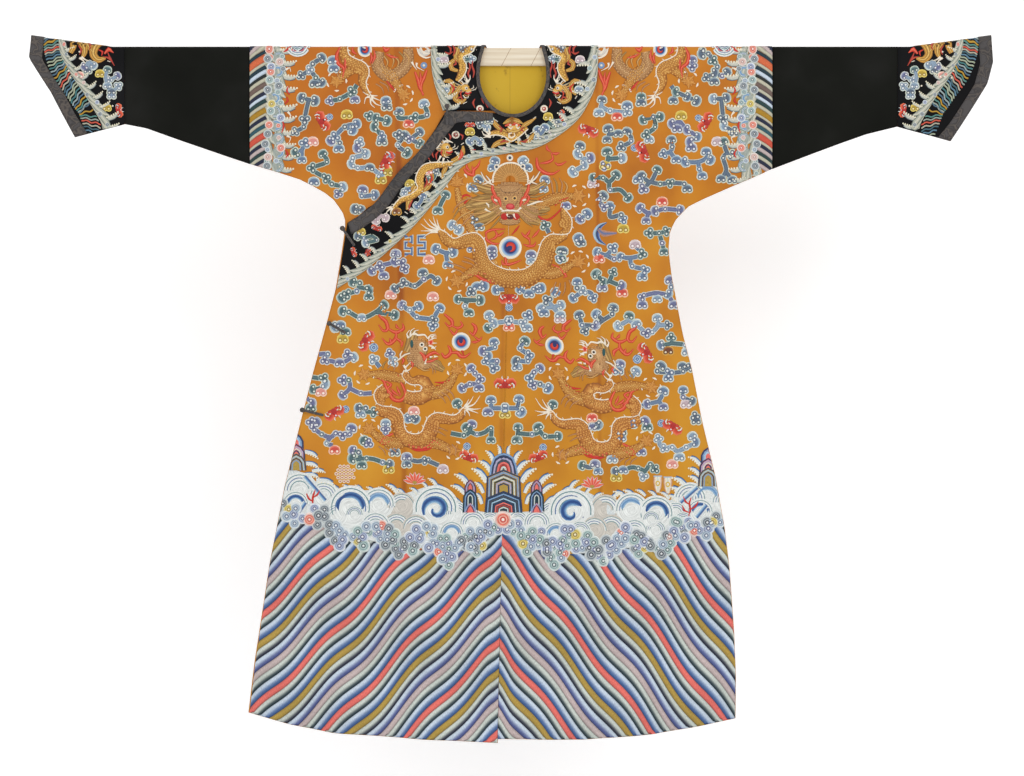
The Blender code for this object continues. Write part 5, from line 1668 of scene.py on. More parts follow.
def facing_dragon():
    made = Dragon()
    made.limb("472,232,9 466,216,9 460,202,8 457,188,5", 0)
    made.limb("536,208,7 546,202,11 557,198,12 567,197,9 576,196,5", 0)
    made.limb("497,262,8 487,266,12 474,271,10 464,277,7 458,281,4", 0)
    made.limb("536,266,8 546,273,12 558,272,11 569,266,7 577,262,4", 0)
    made.body("563,207.4,3 566,211,7 571,218,12 571.5,226.5,13 568.6,233,10 560,235.4,3", -1, 0)
    made.body(
        """567,234.4,4 558,234.6,10 550,234.7,13 542.4,240.9,16 538.5,251.4,15.5 534.7,261,17 524.2,269.1,18
507,269.6,18 493.6,263.8,17 487.8,255.2,15 484.5,240.9,14 476.4,233.2,14 465.8,234.2,14 454.3,238.5,11 445.7,232.3,9
440,229.4,5""", 1, 0)
    strokes(made.silk, ON_GOLD, """T 440,229 436,225 433,216|T 439,229 432,223 429,219|T 439,230 430,226 424,219|T
438,231 428,229 421,224|T 438,232 430,233 423,238|T 438,231 429,231 421,231|T 440,230 438,224 437,219""")
    # The mane sweeps out from the head, and the beard is combed down.
    for mass in (
        "500,190,6 488,189,11 478,186,8 471,184,3", "499,198,9 486,202,17 474,205,15 466,207,5",
        "501,208,9 489,214,17 476,219,14 468,224,4", "521,190,6 533,190,11 541,186,8 547,182,3",
        "521,202,8 534,207,15 546,209,8 550,209,3", "519,211,8 530,218,13 540,223,6",
    ):
        made.limb(mass, 4, scaled=False)
    strokes(made.gold, GOLD_FLOSS + 0.0002, """H 500,188 488,186 478,181 474,179|O 500,191 486,191 476,188 469,184|O
500,196 484,196 474,193 468,189|H 500,199 484,201 474,200 466,197|O 500,202 484,206 474,206 465,204|H 500,205 486,212
476,214 466,213|O 501,208 488,217 478,220 470,221|H 502,211 491,221 483,226 477,229|O 503,214 496,223 490,229|P
472,197 462,202 456,207 453,213|H 476,209 464,215 458,220 455,226|O 472,203 461,208 456,214 452,221|P 474,214 465,222
460,229|H 521,188 532,188 540,184 545,180|O 521,191 534,192 542,189 549,184|D 524,189 531,184 536,180|O 522,195
534,197 542,195 548,192|D 526,197 534,193 541,188|H 522,201 533,206 541,207 549,206|O 522,206 532,213 541,215
548,214|H 520,210 530,218 538,221 544,222|O 518,213 526,222 533,227|D 524,208 534,211 544,211|D 523,212 532,219
540,222|H 524,200 536,202 546,200 552,197|P 553,193 552,186 551,181 548,177|O 557,193 557,187 556,182 553,178|P
561,193 562,187 562,183 559,178|H 565,193 567,188 566,184 563,181|P 464,257 470,259 474,261 478,265|P 462,261 469,263
473,265 476,268|P 556,282 554,287 552,291 549,295|P 560,283 559,289 557,293 554,297|P 565,282 565,288 564,292
562,296|P 569,280 571,285 571,289 570,293|B 507,270 508,276 507,282 505,288|B 513,270 514,277 513,283 512,289|P
448,262 456,265 462,267 466,269|P 446,267 454,269 460,271 464,274""")
    # The crest over its brow: a ring of rays of gold thread in a white edge, with a jewel at the top.
    crest = (510.5, 180.5)
    ribbon(made.gold, arc(crest, 11.2, -98, 98, 24), 12.8, BODY_GOLD, GOLD_FLOSS, smoothed=False)
    for i, angle in enumerate(np.radians(np.linspace(-94, 94, 55))):
        out = np.array((math.sin(angle), -math.cos(angle)))
        tint = (PALE_GOLD, BRONZE, HAIR, DULL)[i % 4]
        start = 6.2 + 1.6 * (i % 2)
        ray = [crest + out * start, crest + out * 16.8]
        ribbon(made.gold, ray, (0.7, 1.1), tint, ON_GOLD - 0.0002, smoothed=False)
    ribbon(made.silk, arc(crest, 17.7, -98, 98), 1.7, SPINE_WHITE, ON_GOLD)
    for spot, size in (((509.9, 157.9), 3.3), ((496.6, 167.0), 2.9), ((522.8, 166.6), 2.9)):
        disc(made.silk, spot, plate(size, ON_GOLD, SPINE_WHITE), 14)
        disc(made.silk, spot, plate(size * 0.55, ON_GOLD + 0.0001, dye(66, 76, 94)), 10)
    for patch in (
        ((530, 214), 9, 8, 2), ((510, 190), 15.5, 8, 2), ((510.3, 199), 14.5, 9, 2), ((501, 208), 8.5, 8, 2),
        ((520, 208), 8.5, 8, 2), ((510.3, 211), 9, 7, 2), ((510, 221), 10.5, 4.6, 2),
    ):
        made.knots(*patch)
    strokes(made.silk, ON_GOLD + 0.0001, """C 492.5,185 492.6,190 495,195 498,199|C 528.8,184 528,190 525.5,195
523,199|C 494,197 498,198.5 500,203 501,207|C 527,197 523,198.5 521,203 520,207|F 496,194 492,197 494,202 498,205|F
525,194 529,197 527,202 523,205|D 499,198 499.6,202 500,205|D 521.6,198 521,202 520.4,205|D 500,188 503,192 509,193
515,192 520,188|B 498,184 504,186 510,185 516,186 522,184|B 503,195 506,194 509,197|B 512,197 515,194 518,195|D
502,201 504,204 506,206|D 518,201 516,204 514,206|T 500,208 502,210 506,211|T 521,207.5 518.5,210 515,211|W
501.5,211.6 506,210.6 511,210.4 516,211 519.5,211.4|A 481,172 484,178 488,182.4 494,185.4|A 482.6,184.6 488,182.6
492.4,179.6|A 486,175.6 489.6,180 491,184|A 540,171.4 536.6,177 532,181.4 525.6,185.2|A 537.4,184.4 532,182.4
528,180|A 534,175.6 531.6,180 529.6,184.4|W 527,205.6 533,203.6 538,201.8 543,201.6|W 486,203 488.4,205 489,207.6|T
485,209 488,211 491,212""")
    for spot in ((505.7, 198.8), (514.6, 198.4)):
        disc(made.silk, spot, plate(2.7, ON_GOLD + 0.0001, PALE_GOLD), 12)
        disc(made.silk, spot, plate(1.5, ON_GOLD + 0.0002, DARK), 10)
    for spot in ((504.6, 216.6), (515.8, 216.6)):
        disc(made.silk, spot, plate(4.2, ON_GOLD + 0.0001, RED), 14, 0.9)
    disc(made.silk, (510.2, 217), plate(4.0, ON_GOLD + 0.0002, dye(92, 34, 30)), 12, 0.72)
    strokes(made.silk, ON_GOLD + 0.0003, """T 507,214 507.6,216.6 510,217|T 513.6,214 514.4,217 516,219|W 509,216.4
512,216.2""")
    disc(made.silk, (510.2, 206.8), plate(5.0, ON_GOLD + 0.0002, dye(196, 56, 58)), 14, 0.70)
    disc(made.silk, (510.2, 206.2), plate(3.4, ON_GOLD + 0.0003, dye(222, 92, 88)), 12, 0.6)
    for spot, turn in (((495.7, 200.4), 0.5), ((524.2, 200), -0.4)):
        disc(made.silk, spot, plate(2.4, ON_GOLD + 0.0003, SPINE_WHITE), 8, 0.45, turn)
    pearl(made.silk, (510.3, 247.6), 11.2, -60)
    strokes(made.silk, GOLD_FLOSS, """F 486,234 487,240 493.6,243.8 499.5,243.4|F 489,240 495,238 497,234 494,230|F
487,238 486,233 492,230 505,229|F 495,237 500,235 504,232|F 521.3,232.3 524.2,236 529,239 530,245.7|F 539.5,229.4
536,234 531.8,238|F 535.7,241.8 533.8,245.7 528,246 523.2,244.2|F 524,237 528,234 530,230|F 506,253.3 505.5,259
507,264.4 514.6,262.9 521.3,260|F 507,264.6 503,264 502,260|R 519.4,225.6 516,230 511.7,235|C 464,169 467,173 473,175
473.5,170.6 478,166 480.2,160.5|F 473.5,176.8 473.5,171 472,166|F 466.8,163.4 467,168 471.5,172|C 536.6,157.7 537,163
538.5,168.2 545.2,173 552.9,173.9 559.6,170|F 539.5,163.4 545,163 550,161.5 552.9,158.6 551,153|F 551,152.9 556,154
559.6,152.9|F 554.8,162.4 558,165 561.5,164.3 566.3,161.5|F 551,152 547,149 547,145|R 569,197.4 562,200 557,203
555,206|R 562.5,203.6 561,209 553,217 547,220 541,218.5 537,213 539.5,206.4 542.4,201.7 538.5,198.8|F 464,275.3
475.4,275 482,279 493.6,282.5 503,281|F 475.4,272.5 483,273 490.7,276.3 494,277|F 476,274 484,280 494,280|F 552,264.3
558.6,267.7 564.4,273.4 566.3,276.3 563,277.7|F 552,270.5 557,272.5 562,271|R 460,203 462,197 467,195 471,197|R
461,203 465,203 468,199""")
    made.claw((457, 182), 9, -110, 110)
    made.claw((578, 196), 9, -20, 200)
    made.claw((457, 281), 8.6, -250, -20)
    made.claw((578, 262), 9, -75, 150, 6)
    made.stamp()
    return made


def rising_dragon():
    made = Dragon()
    made.limb("405,381,6 396,377,10 384,375,11 374,374,7 365,374,4", 0)
    made.limb("422,390,8 433,393,13 443,390,12 451,381,9 457,371,5", 0)
    made.limb("410,438,7 399,443,12 388,441,11 378,436,8 370,429,5", 0)
    made.limb("414,436,7 424,441,12 436,443,11 446,447,9 453,451,5", 0)
    made.body("382.7,384.4,8 376,390,14 374.6,396.8,16 378,403.5,13 383.7,405.9,6", 1, 1)
    made.body(
        """404.7,370,6 402.4,375.8,8 406.7,381.5,7 412.4,384.4,7 419.1,384.4,10 422.4,387.3,13 421,390.6,14
412.4,391.6,13.4 407.1,390.1,12""", 1, 1)
    made.body(
        """378,403.5,8 383.7,405.9,11 393.3,406.9,13 400,410.2,13.5 403.8,416.9,12.5 404.7,426.5,12 408.6,432.2,14
416.2,433.7,15 422,431.3,15 424.8,424.6,15 428.7,416.9,14 436.3,412.6,12 444.9,413.6,10 452.6,415,9 458.3,413.1,7.5
462.1,408.3,5 465,406.4,3""", -1, 1)
    strokes(made.silk, ON_GOLD, """T 465,407 470,402 473.6,395.9|T 466,407 474,404 480.3,395.4|T 465,406 467,403
468.8,399|T 466,408 474,409 480.8,408.3|T 466,408 473,411 478.4,413|T 465,408 465,412 465,415.5|T 466,409 469,413
470,416""")
    made.limb("407,352,8 411,344,11 413,336,11 416,331,5", 4, scaled=False)
    made.limb("428,362,9 436,365,10 444,370,5", 4, scaled=False)
    made.knots((419, 348), 9.5, 10, 2)
    made.knots((416, 358), 9, 8.6, 2)
    made.knots((424, 365), 8, 4.5, 2)
    made.knots((422.4, 338), 5, 3.6, 3)
    strokes(made.gold, GOLD_FLOSS + 0.0002, """P 428,362 434,366 436,373|P 431,361 437,364 440,371|O 434,360 440,362
443,368|P 430,366 433,369 433,374|H 418,366 424,370 430,370|P 437,394 443,398 446,403|P 441,392 448,396 451,402|P
446,389 452,393 455,400|P 379,446 384,450 386,455|P 385,447 390,451 391,456|P 392,448 396,451 397,455|P 434,427
441,428 448,431|P 433,430 440,432 446,436|O 383,368 384,364 388,360|P 388,368 391,364 391,358|P 447,446 450,450
449,456|P 452,444 456,449 455,455|P 394,370 396,365 394,359""")
    strokes(made.silk, ON_GOLD + 0.0001, """A 394.6,362.4 399.4,359 405,354.6 410.4,353|A 400.6,358 400.4,354.6
402.6,350.6|T 409,338 407,334 410,330|T 411,336 411,331 415,328|T 414,335 415,331 419,330|W 410,337 414,333 418,335
424.8,334.7 427.7,338.5|T 428,339 431,335 436,334|T 429,341 434,338 437,338|T 429,345 434,347 436,350|T 429,343
434,343 437,343|C 423.9,360.5 427.7,356 434.4,352.4 440,355|F 425,362 431,361 438.4,358|C 420,352 424,356 424,361|T
425.4,364 426,361 427,358|T 430,357 433,356.4|T 434,356.4 438,356.4|T 431.6,347.6 434,348 436.6,346|T 431.4,337.4
434,335.6 437,336|T 404.7,368 408,365 411,362|T 405,371 409,370 412,367|T 404,365 406,369 409,373|F 411,361 413,364
412,368|F 402,357 404,360 402,364""")
    disc(made.silk, (412, 343.8), plate(4.4, ON_GOLD + 0.0001, dye(44, 84, 84)), 12, 0.4, math.pi / 2)
    for spot, pupil in (((422, 344.6), DARK), ((425.3, 348.8), dye(40, 62, 52))):
        disc(made.silk, spot, plate(2.7, ON_GOLD, SPINE_WHITE), 12)
        disc(made.silk, spot, plate(1.4, ON_GOLD + 0.0001, pupil), 8)
    disc(made.silk, (430.9, 342.2), plate(3.4, ON_GOLD + 0.0001, BLUSH), 12, 0.85, math.pi / 2)
    disc(made.silk, (430.9, 342.2), plate(2.2, ON_GOLD + 0.0002, SCARLET), 10, 0.8, math.pi / 2)
    pearl(made.silk, (461.2, 341.6), 9.1, 60)
    strokes(made.silk, GOLD_FLOSS, """C 444.4,314.1 449,318 451.6,320.3 452.6,325 449.2,326.5 445,322.2|F 451.6,325.5
458.3,328 462.6,325 460.2,321|F 448.8,328 454.5,334.2 458,328.6|C 471.7,323.2 475,326 476,329 473.1,334.7
469.3,330.8|F 473.7,335.6 479.4,340 481.8,336.6|F 479.4,340.9 475,342 471.2,341.8|C 441.6,352.8 445.4,357.1
450.7,352.8 450,348 447.8,345.2|C 450.7,352.8 457.4,352.4 460.2,355.7 465,356.7 470.8,352.4|R 464,355.7 462,350
459.3,345.5|C 378.9,314.6 382,318 386.1,321.3 388,328.9 383.7,330.8 378.9,324.6|C 388,328.4 396.1,332.3 403.8,328.4
402.4,323.2|F 396.1,324.1 397,327 400,329|C 396.1,332.3 396.1,338 390.9,343.3 387,343.3 382.3,338|F 390,338 391,341
391,343|C 396.1,338 401.9,342.3 401.4,347.1|C 376,376.3 383.7,380.6 386,386 388.5,391.1 393.3,398.8 400.9,400.2
405.7,394.9 403.8,387.3 400,379.6 398,374|F 384,380 391.4,384.4 388,389 396.1,396.8|F 397,386 399,391 401,395|F
391,388 394,392 400,396|R 434.9,382 441,382.5 446.8,381.5 450.7,379.6|R 446,382.6 444.9,387.3 439.2,388.2|R 436,385
441,386|C 393.3,433.2 384.7,437.5 381.3,441.8 386,443 393.3,439|C 408.6,444.2 417.2,447.5 425.8,446.6 434.4,440.8
441.1,445.2|R 409,447 417,450 428,449 434,445""")
    made.claw((364.6, 374.5), 8, -260, 40, 6)
    made.claw((457.2, 369.5), 8, -110, 120)
    made.claw((369.4, 428.6), 8, -130, 80)
    made.claw((454, 450), 7.5, 30, 220, 4)
    made.stamp()
    return made


def shoulder_dragon():
    made = Dragon()
    made.limb("360,64,6 353,69,10 346,74,9 339,80,5", 0)
    made.limb("384,68,8 391,76,12 398,86,9 403,94,5", 0)
    made.limb("380,52,9 378,66,13 388,76,12 400,72,12 408,62,11 408,48,10", 2)
    made.body(
        """347.2,46.5,8 349.1,54.5,10 355.3,58.7,13 363.7,62.2,14 368.3,67.6,13 369,74.4,11 366.4,81.3,8.5
366.7,86.7,6 370.6,95.1,3""", -1, 0)
    strokes(made.silk, ON_GOLD, """T 370.6,96 366,94 363,92|T 370,97 366,98 364.5,104|T 371,98 371,104 375.2,108.1|T
371,98 376,104 383.6,106.6|T 371,97 376,99 381,101|T 371,96 375,96 378,96""")
    strokes(made.gold, GOLD_FLOSS + 0.0002, """P 376,84 382,88 384,94|P 380,82 387,86 389,92|H 384,56 388,62 386,68|H
389,54 394,60 392,68|H 394,56 399,62 396,70|O 399,52 404,58 402,66|H 404,52 409,58 408,66|P 342,68 338,74 340,80|H
381,64 384,70 390,74""")
    pearl(made.silk, (365, 50), 7)
    strokes(made.silk, ON_GOLD, """C 341,47.5 336.9,55.3 338.4,63.7 343.8,68.3 343,78|F 345.3,58 345.5,64 346,70|F
353,48 353,52 357,54.5|F 370,52 372,58 370,64|F 374,50 375,57 372,64|C 415,72 418,80 420,88 424,95|C 427,70 424,78
421,86 423,96|F 420,72 421,79 419,85|R 386.6,81 391,86 395,91|F 388,82 391,88|C 383,47.5 386,51 390,49|F 386,54
392,57 398,58|T 412,62 414,66 417,70|T 417,63 417,67 424,71|W 417,49 420,55 426,58 431,57|W 420,48 424,53 430,54|T
426,48 428,51 432,50""")
    disc(made.silk, (424, 52), plate(6.5, GOLD_FLOSS, dye(214, 206, 196)), 14, 0.7)
    disc(made.silk, (424, 65.6), plate(3.4, ON_GOLD, dye(120, 150, 190)), 10)
    disc(made.silk, (424, 65.6), plate(1.4, ON_GOLD + 0.0001, SPINE_WHITE), 8)
    made.claw((336.9, 81.3), 8, -180, 90)
    made.claw((403.5, 95), 8, -60, 170, 6)
    made.stamp()
    return made


LOW_MIRROR, LOW_LEAN, SHOULDER_MIRROR = 507.8, 0.09, 512.6  # the columns that they are mirrored about
dragons = (
    (facing_dragon(), ((None, 0),)),
    (rising_dragon(), ((None, 0), (LOW_MIRROR, LOW_LEAN))),
    (shoulder_dragon(), ((None, 0), (SHOULDER_MIRROR, 0))),
)
for face in (-1, 1):
    gold, silks = Embroidery(), Embroidery()
    for dragon, mirrors in dragons:
        for mirror, lean in mirrors:
            gold.join(dragon.gold, mirror, lean)
            silks.join(dragon.silk, mirror, lean)
    gold.lay(f"dragons_{FACE_NAME[face]}", face, gold_thread, SKIN[face], "yellow_silk", robe_outline)
    silks.lay(f"flames_{FACE_NAME[face]}", face, floss, SKIN[face], "yellow_silk", robe_outline)

# ---------------------------------------------------------------- the bats, the symbols and the flowers
# Small lucky figures of satin stitch among the clouds: red bats with white-tipped wings, each with a coin,
# four of the old symbols of rank, and lotus flowers and coral that the sea throws up.
CRIMSON = dye(176, 44, 40)
ROYAL = dye(58, 74, 138)


def draw_bat(work):
    for side in (-1, 1):
        for spots, width, shades in (
            (
                ((0.6, 1.0), (3.4, -1.8), (6.2, -2.6), (8.4, -0.6), (8.8, 2.4)), (3.6, 4.6, 4.0, 2.6, 0.8),
                (BLUSH, FLAME, CRIMSON),
            ),
            (((0.8, 2.4), (3.2, 3.2), (5.4, 2.6), (6.4, 0.8)), (3.0, 2.8, 2.0, 0.8), (FLAME, CRIMSON)),
            (((3.0, 1.2), (5.0, 2.4), (5.6, 4.2)), (1.0, 1.2, 0.6), (WHITE,)),
            (((5.6, 0.0), (7.6, 1.8), (7.4, 4.0)), (1.1, 1.3, 0.6), (WHITE,)),
            (((1.2, -2.6), (2.6, -4.2), (2.4, -6.0)), (0.9, 1.0, 0.4), (WHITE,)),
        ):
            turned = [(side * across, down) for across, down in spots]
            both = (shades if side > 0 else shades[::-1]) if len(shades) > 1 else None
            ribbon(work, turned, width, shades[0], SEA_FLOSS, shades=both, cloth=False)
    disc(work, (0, 1.2), plate(2.6, SEA_FLOSS + 0.0002, CRIMSON), 10, 1.3, cloth=False)
    disc(work, (0, -2.0), plate(2.0, SEA_FLOSS + 0.0002, SCARLET), 9, cloth=False)
    disc(work, (0, -2.2), plate(0.9, SEA_FLOSS + 0.0003, WHITE), 7, cloth=False)


def draw_coin(work):
    """A lozenge looped through a round coin."""
    rise_and_fall = ((0, 0), (2.2, 0.0002), (2.6, SEA_FLOSS), (4.4, SEA_FLOSS), (4.8, 0))
    disc(work, (0, 0), [(radius, height, ICE) for radius, height in rise_and_fall], 14, cloth=False)
    ribbon(work, arc((0, 0), 3.4, 0, 360, 14), 1.3, ROYAL, SEA_FLOSS + 0.0002, cloth=False)
    for reach in (1.6, 4.4):
        diamond = [(0, -reach), (reach, 0), (0, reach), (-reach, 0), (0, -reach)]
        ribbon(work, diamond, 1.1, ROYAL, SEA_FLOSS + 0.0003, smoothed=False, cloth=False)


bat, coin = Motif("bat", draw_bat, floss), Motif("coin", draw_coin, floss)
BATS = (  # column, row, turn in degrees, size
    (323, 121, 60, 1.15), (387, 162, 115, 1.2), (367, 341, 120, 1.2), (335, 413, 150, 1.15), (509, 299, 180, 1.1),
    (505, 383, 0, 1.2), (469, 456, 20, 1.05), (538, 456, -20, 1.05), (705, 122, -60, 1.15), (642, 152, -110, 1.2),
    (588, 131, 200, 1.15), (645, 353, -120, 1.2), (672, 427, -150, 1.15),
)
COINS = (
    (374, 347.5, 10, 0.95), (509, 307.5, 0, 0.8), (467, 446, 0, 0.8), (543, 447, 0, 0.8), (637, 359, -10, 0.95),
    (346, 409, 20, 0.8), (392, 156, 0, 0.75), (661, 423, -20, 0.8), (634, 148, 0, 0.75), (330, 117, 0, 0.7),
    (698, 118, 0, 0.7),
)


FRET_MIDDLE = 415.3
FRET = (  # one of the two fronted figures: columns from the line between them, rows
    (10.5, 236.6), (3.2, 236.6), (3.2, 242.6), (9.8, 242.6), (9.8, 248.4), (3.2, 248.4), (3.2, 254.4), (10.5, 254.4),
)
CUPS = ((657.5, 484), (667.5, 485))
GRAINS, GRAINS_ROUND = (344.5, 473.4), 10.4  # the middle and the half width of the round of grains


def lined(work, spots, width, core, edge):
    """A line of stitches with an edge of another dye."""
    ribbon(work, spots, width, edge, SEA_FLOSS, smoothed=False)
    ribbon(work, spots, width - 2.4, core, SEA_FLOSS + 0.0002, smoothed=False)


def symbols(work):
    for side in (-1, 1):  # the two fronted figures, back to back
        figure = [(FRET_MIDDLE + side * across, row) for across, row in FRET]
        lined(work, figure, 4.8, dye(84, 106, 150), dye(196, 208, 204))
    blade = [(606.5, 222.6), (599.5, 226.6), (596.2, 233.6), (598.6, 240.6), (605.5, 245)]
    ribbon(work, blade, (1, 5, 7, 5, 1), None, SEA_FLOSS, shades=(SKY, ROYAL, SLATE, PALE, ICE))
    haft = [(598, 229), (604, 233.6), (616.5, 233.2)]
    ribbon(work, haft, (3, 7, 2.2), None, SEA_FLOSS + 0.0002, shades=(ROSE, LINE_BLUE, ROSE))
    for across in range(-2, 3):
        for down in range(5):
            spot = GRAINS[0] + 3.9 * across + (1.9 if down % 2 else 0), 466 + 3.7 * down
            if math.dist(spot, GRAINS) < GRAINS_ROUND:
                disc(work, spot, plate(1.8, SEA_FLOSS, SPINE_WHITE), 9)
                disc(work, spot, plate(1.0, SEA_FLOSS + 0.0002, dye(190, 96, 74)), 7)
    for column, row in CUPS:
        cup = [(column, row - 8), (column, row - 3), (column, row + 3), (column, row + 8)]
        ribbon(work, cup, (8.4, 9.2, 7.4, 3.4), None, SEA_FLOSS, shades=(ROSE, SPINE_WHITE, SAGE, SPINE_WHITE, ROSE))
        disc(work, (column, row - 1), plate(2.6, SEA_FLOSS + 0.0002, dye(214, 178, 80)), 10, 1.2)
        disc(work, (column, row - 1), plate(1.4, SEA_FLOSS + 0.0003, SPINE_WHITE), 8, 1.2)
        ribbon(work, [(column - 4.2, row - 8), (column + 4.2, row - 8)], 1.6, ICE, SEA_FLOSS + 0.0003, smoothed=False)


LOTUSES = ((415, 482), (592, 486))


def lotus(work, column, row):
    for step in (-3, 3, -2, 2, -1, 1, 0):
        angle = math.radians(26 * step)
        tip = (column + 11.5 * math.sin(angle), row - 10.5 * math.cos(angle))
        middle = (column + 6.4 * math.sin(angle), row - 5.6 * math.cos(angle))
        petal, height = [(column, row + 1), middle, tip], SEA_FLOSS + 0.0009 - 0.0001 * abs(step)
        ribbon(work, petal, (2.4, 5.2, 0.9), None, height, shades=(WHITE, BLUSH, FLAME, CORAL, WHITE))
    disc(work, (column, row), plate(2.6, SEA_FLOSS + 0.0011, GOLD_OLIVE), 10, 0.7)


for face in (-1, 1):
    work = Embroidery()
    for motif, spots in ((bat, BATS), (coin, COINS)):
        motif.stamp(work, [(column, row, math.radians(turn), size, 0) for column, row, turn, size in spots])
    symbols(work)
    for spot in LOTUSES:
        lotus(work, *spot)
    strokes(work, SEA_FLOSS + 0.0011, """R 314,506 313,500 314,494 316,489|R 313,501 309,498 307,493|R 314,497
318,494 320,490|R 688,516 690,509 689,503 691,497|R 690,509 695,506 698,501|R 689,504 685,501 683,496|R 689,512
684,510 682,505""")
    work.lay(f"figures_{FACE_NAME[face]}", face, floss, SKIN[face], "yellow_silk", robe_outline)

# ---------------------------------------------------------------- the black sleeves and their cuffs
# Plain black gauze lengthens the sleeves and ends in flared cuffs of black satin, cut like a horse's hoof.
# A border of figured brocade is laid round each open end, and the cuffs are lined with reddish silk.
ON_CLOTH = OUTSIDE + LAID
BAND, TRIM = 0.0012, 0.0012
ON_COLLAR = ON_CLOTH + BAND
ON_BAND = ON_COLLAR + LAID
CUFF_TRIM = 0.026
ON_CUFF = OUTSIDE + SEAM + TRIM  # the outer face of a cuff's border
FINE = 0.008
TRIM_WALL = 0.0008

gauze = silk("black_gauze", (dye(12, 13, 9), dye(19, 20, 16), dye(32, 32, 30)), 0.8, 0.0, 0.12, 3000, 0.0002)
satin = silk("black_satin", (dye(9, 9, 11), dye(14, 14, 16), dye(23, 23, 26)), 0.55, 0.0, 0.10, 3200, 0.0002)
russet = silk("russet_lining", (dye(140, 66, 34), dye(166, 84, 42), dye(186, 104, 56)), 0.6)


BROCADE = dye(84, 76, 70), dye(46, 42, 42), dye(70, 66, 66)  # the edge of a scroll, the ground and the scroll
SCROLL_BEND = 0.05


def brocade_material():
    """Dark silk with scrolls a little paler and warmer than the ground, and a fine paler edge to each."""
    made = plain_material("brocade", BROCADE[1], 0.6)
    tree = made.node_tree
    where = node(tree, "ShaderNodeTexCoord").outputs["Object"]
    twist = node(tree, "ShaderNodeTexNoise", Scale=38.0, Detail=2.0)
    tree.links.new(where, twist.inputs["Vector"])
    bend = twist.outputs["Color"], (SCROLL_BEND,) * 3, where
    bent = calc(tree, "MULTIPLY_ADD", *bend, kind="ShaderNodeVectorMath")
    cells = node(tree, "ShaderNodeTexVoronoi", feature="DISTANCE_TO_EDGE", Scale=44.0)
    tree.links.new(bent, cells.inputs["Vector"])
    scroll = ramp(tree, tuple(zip((0.02, 0.10, 0.22), BROCADE)))
    tree.links.new(cells.outputs["Distance"], scroll.inputs[0])
    woven = node(tree, "ShaderNodeGroup")
    woven.node_tree = weave
    woven.inputs["Threads"].default_value = 2600
    tree.links.new(where, woven.inputs["Vector"])
    mottle = remap(tree, woven.outputs["Patches"], (0.3, 0.7, 0.75, 1.2))
    shader = tree.nodes["Principled BSDF"]
    tree.links.new(scaled(tree, scroll.outputs[0], mottle), shader.inputs["Base Color"])
    emboss(tree, woven.outputs["Height"], 0.6, 0.0004)
    return made


brocade = brocade_material()


def shell(node_name, x, drop, face, lift, materials, slot, strip=False, wall=SHELL, ring=False):
    """A grid of places made the cloth that stands for a node."""
    points = place(x, drop, face, lift)
    piece = cloth(f"cloth_{node_name}", points, np.max(face), wall, materials, ring)
    declare(points, strip=strip)
    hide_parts(node_name)


FOLD_ROWS = np.linspace(0, FOLD_DROP, 7)


def sleeve(name, face, side):
    across = np.linspace(SLEEVE_JOIN + SEAM / 2, CUFF_JOIN - SEAM / 2, 40)[None, :]
    seam = SLEEVE_SEAM[side]
    low = np.interp(across, seam[:, 0], seam[:, 1])
    share = np.linspace(0, 1, 26)[1:, None]
    drop = np.concatenate((FOLD_ROWS[:, None] + 0 * across, FOLD_DROP + (low - FOLD_DROP) * share))
    shell(f"sleeve_{name}", side * across + 0 * drop, drop, face, OUTSIDE, (gauze, lining), "black_silk")


def cuff_places(side, columns):
    """The places of a cuff, with its columns given as shares from the join (0) to the border (1) and the end (2)."""
    end, seam = CUFF_END[side], SLEEVE_SEAM[side]
    rows = []
    for share in np.concatenate((0 * FOLD_ROWS, np.linspace(0, 1, 24)[1:])):
        down = end[0, 0] + (end[-1, 0] - end[0, 0]) * share
        reach = np.interp(down, end[:, 0], end[:, 1])
        x = np.interp(columns, (0, 1, 2), (CUFF_JOIN + SEAM / 2, reach - CUFF_TRIM, reach))
        lowest = np.interp(x, (seam[-1, 0], end[-1, 1]), (seam[-1, 1], end[-1, 0]))
        if len(rows) < len(FOLD_ROWS):
            drop = FOLD_ROWS[len(rows)] - rise(x)
        else:
            drop = FOLD_DROP - rise(x) + (lowest - FOLD_DROP + rise(x)) * share
        rows.append((side * x, drop))
    return np.array(rows)[:, 0], np.array(rows)[:, 1]


def cuff(name, face, side):
    x, drop = cuff_places(side, np.concatenate((np.linspace(0, 1, 20), (1.5, 2))))
    shell(f"cuff_{name}", x, drop, face, OUTSIDE, (satin, russet), "black_silk")
    x, drop = cuff_places(side, np.linspace(1, 2, 5))
    shell(f"cuff_trim_{name}", x, drop, face, ON_CUFF, (brocade,), "brocade", strip=True, wall=TRIM_WALL)


for side, hand in ((-1, "right"), (1, "left")):
    for face, where in ((-1, "front"), (1, "back")):
        sleeve(f"{hand}_{where}", face, side)
        cuff(f"{hand}_{where}", face, side)

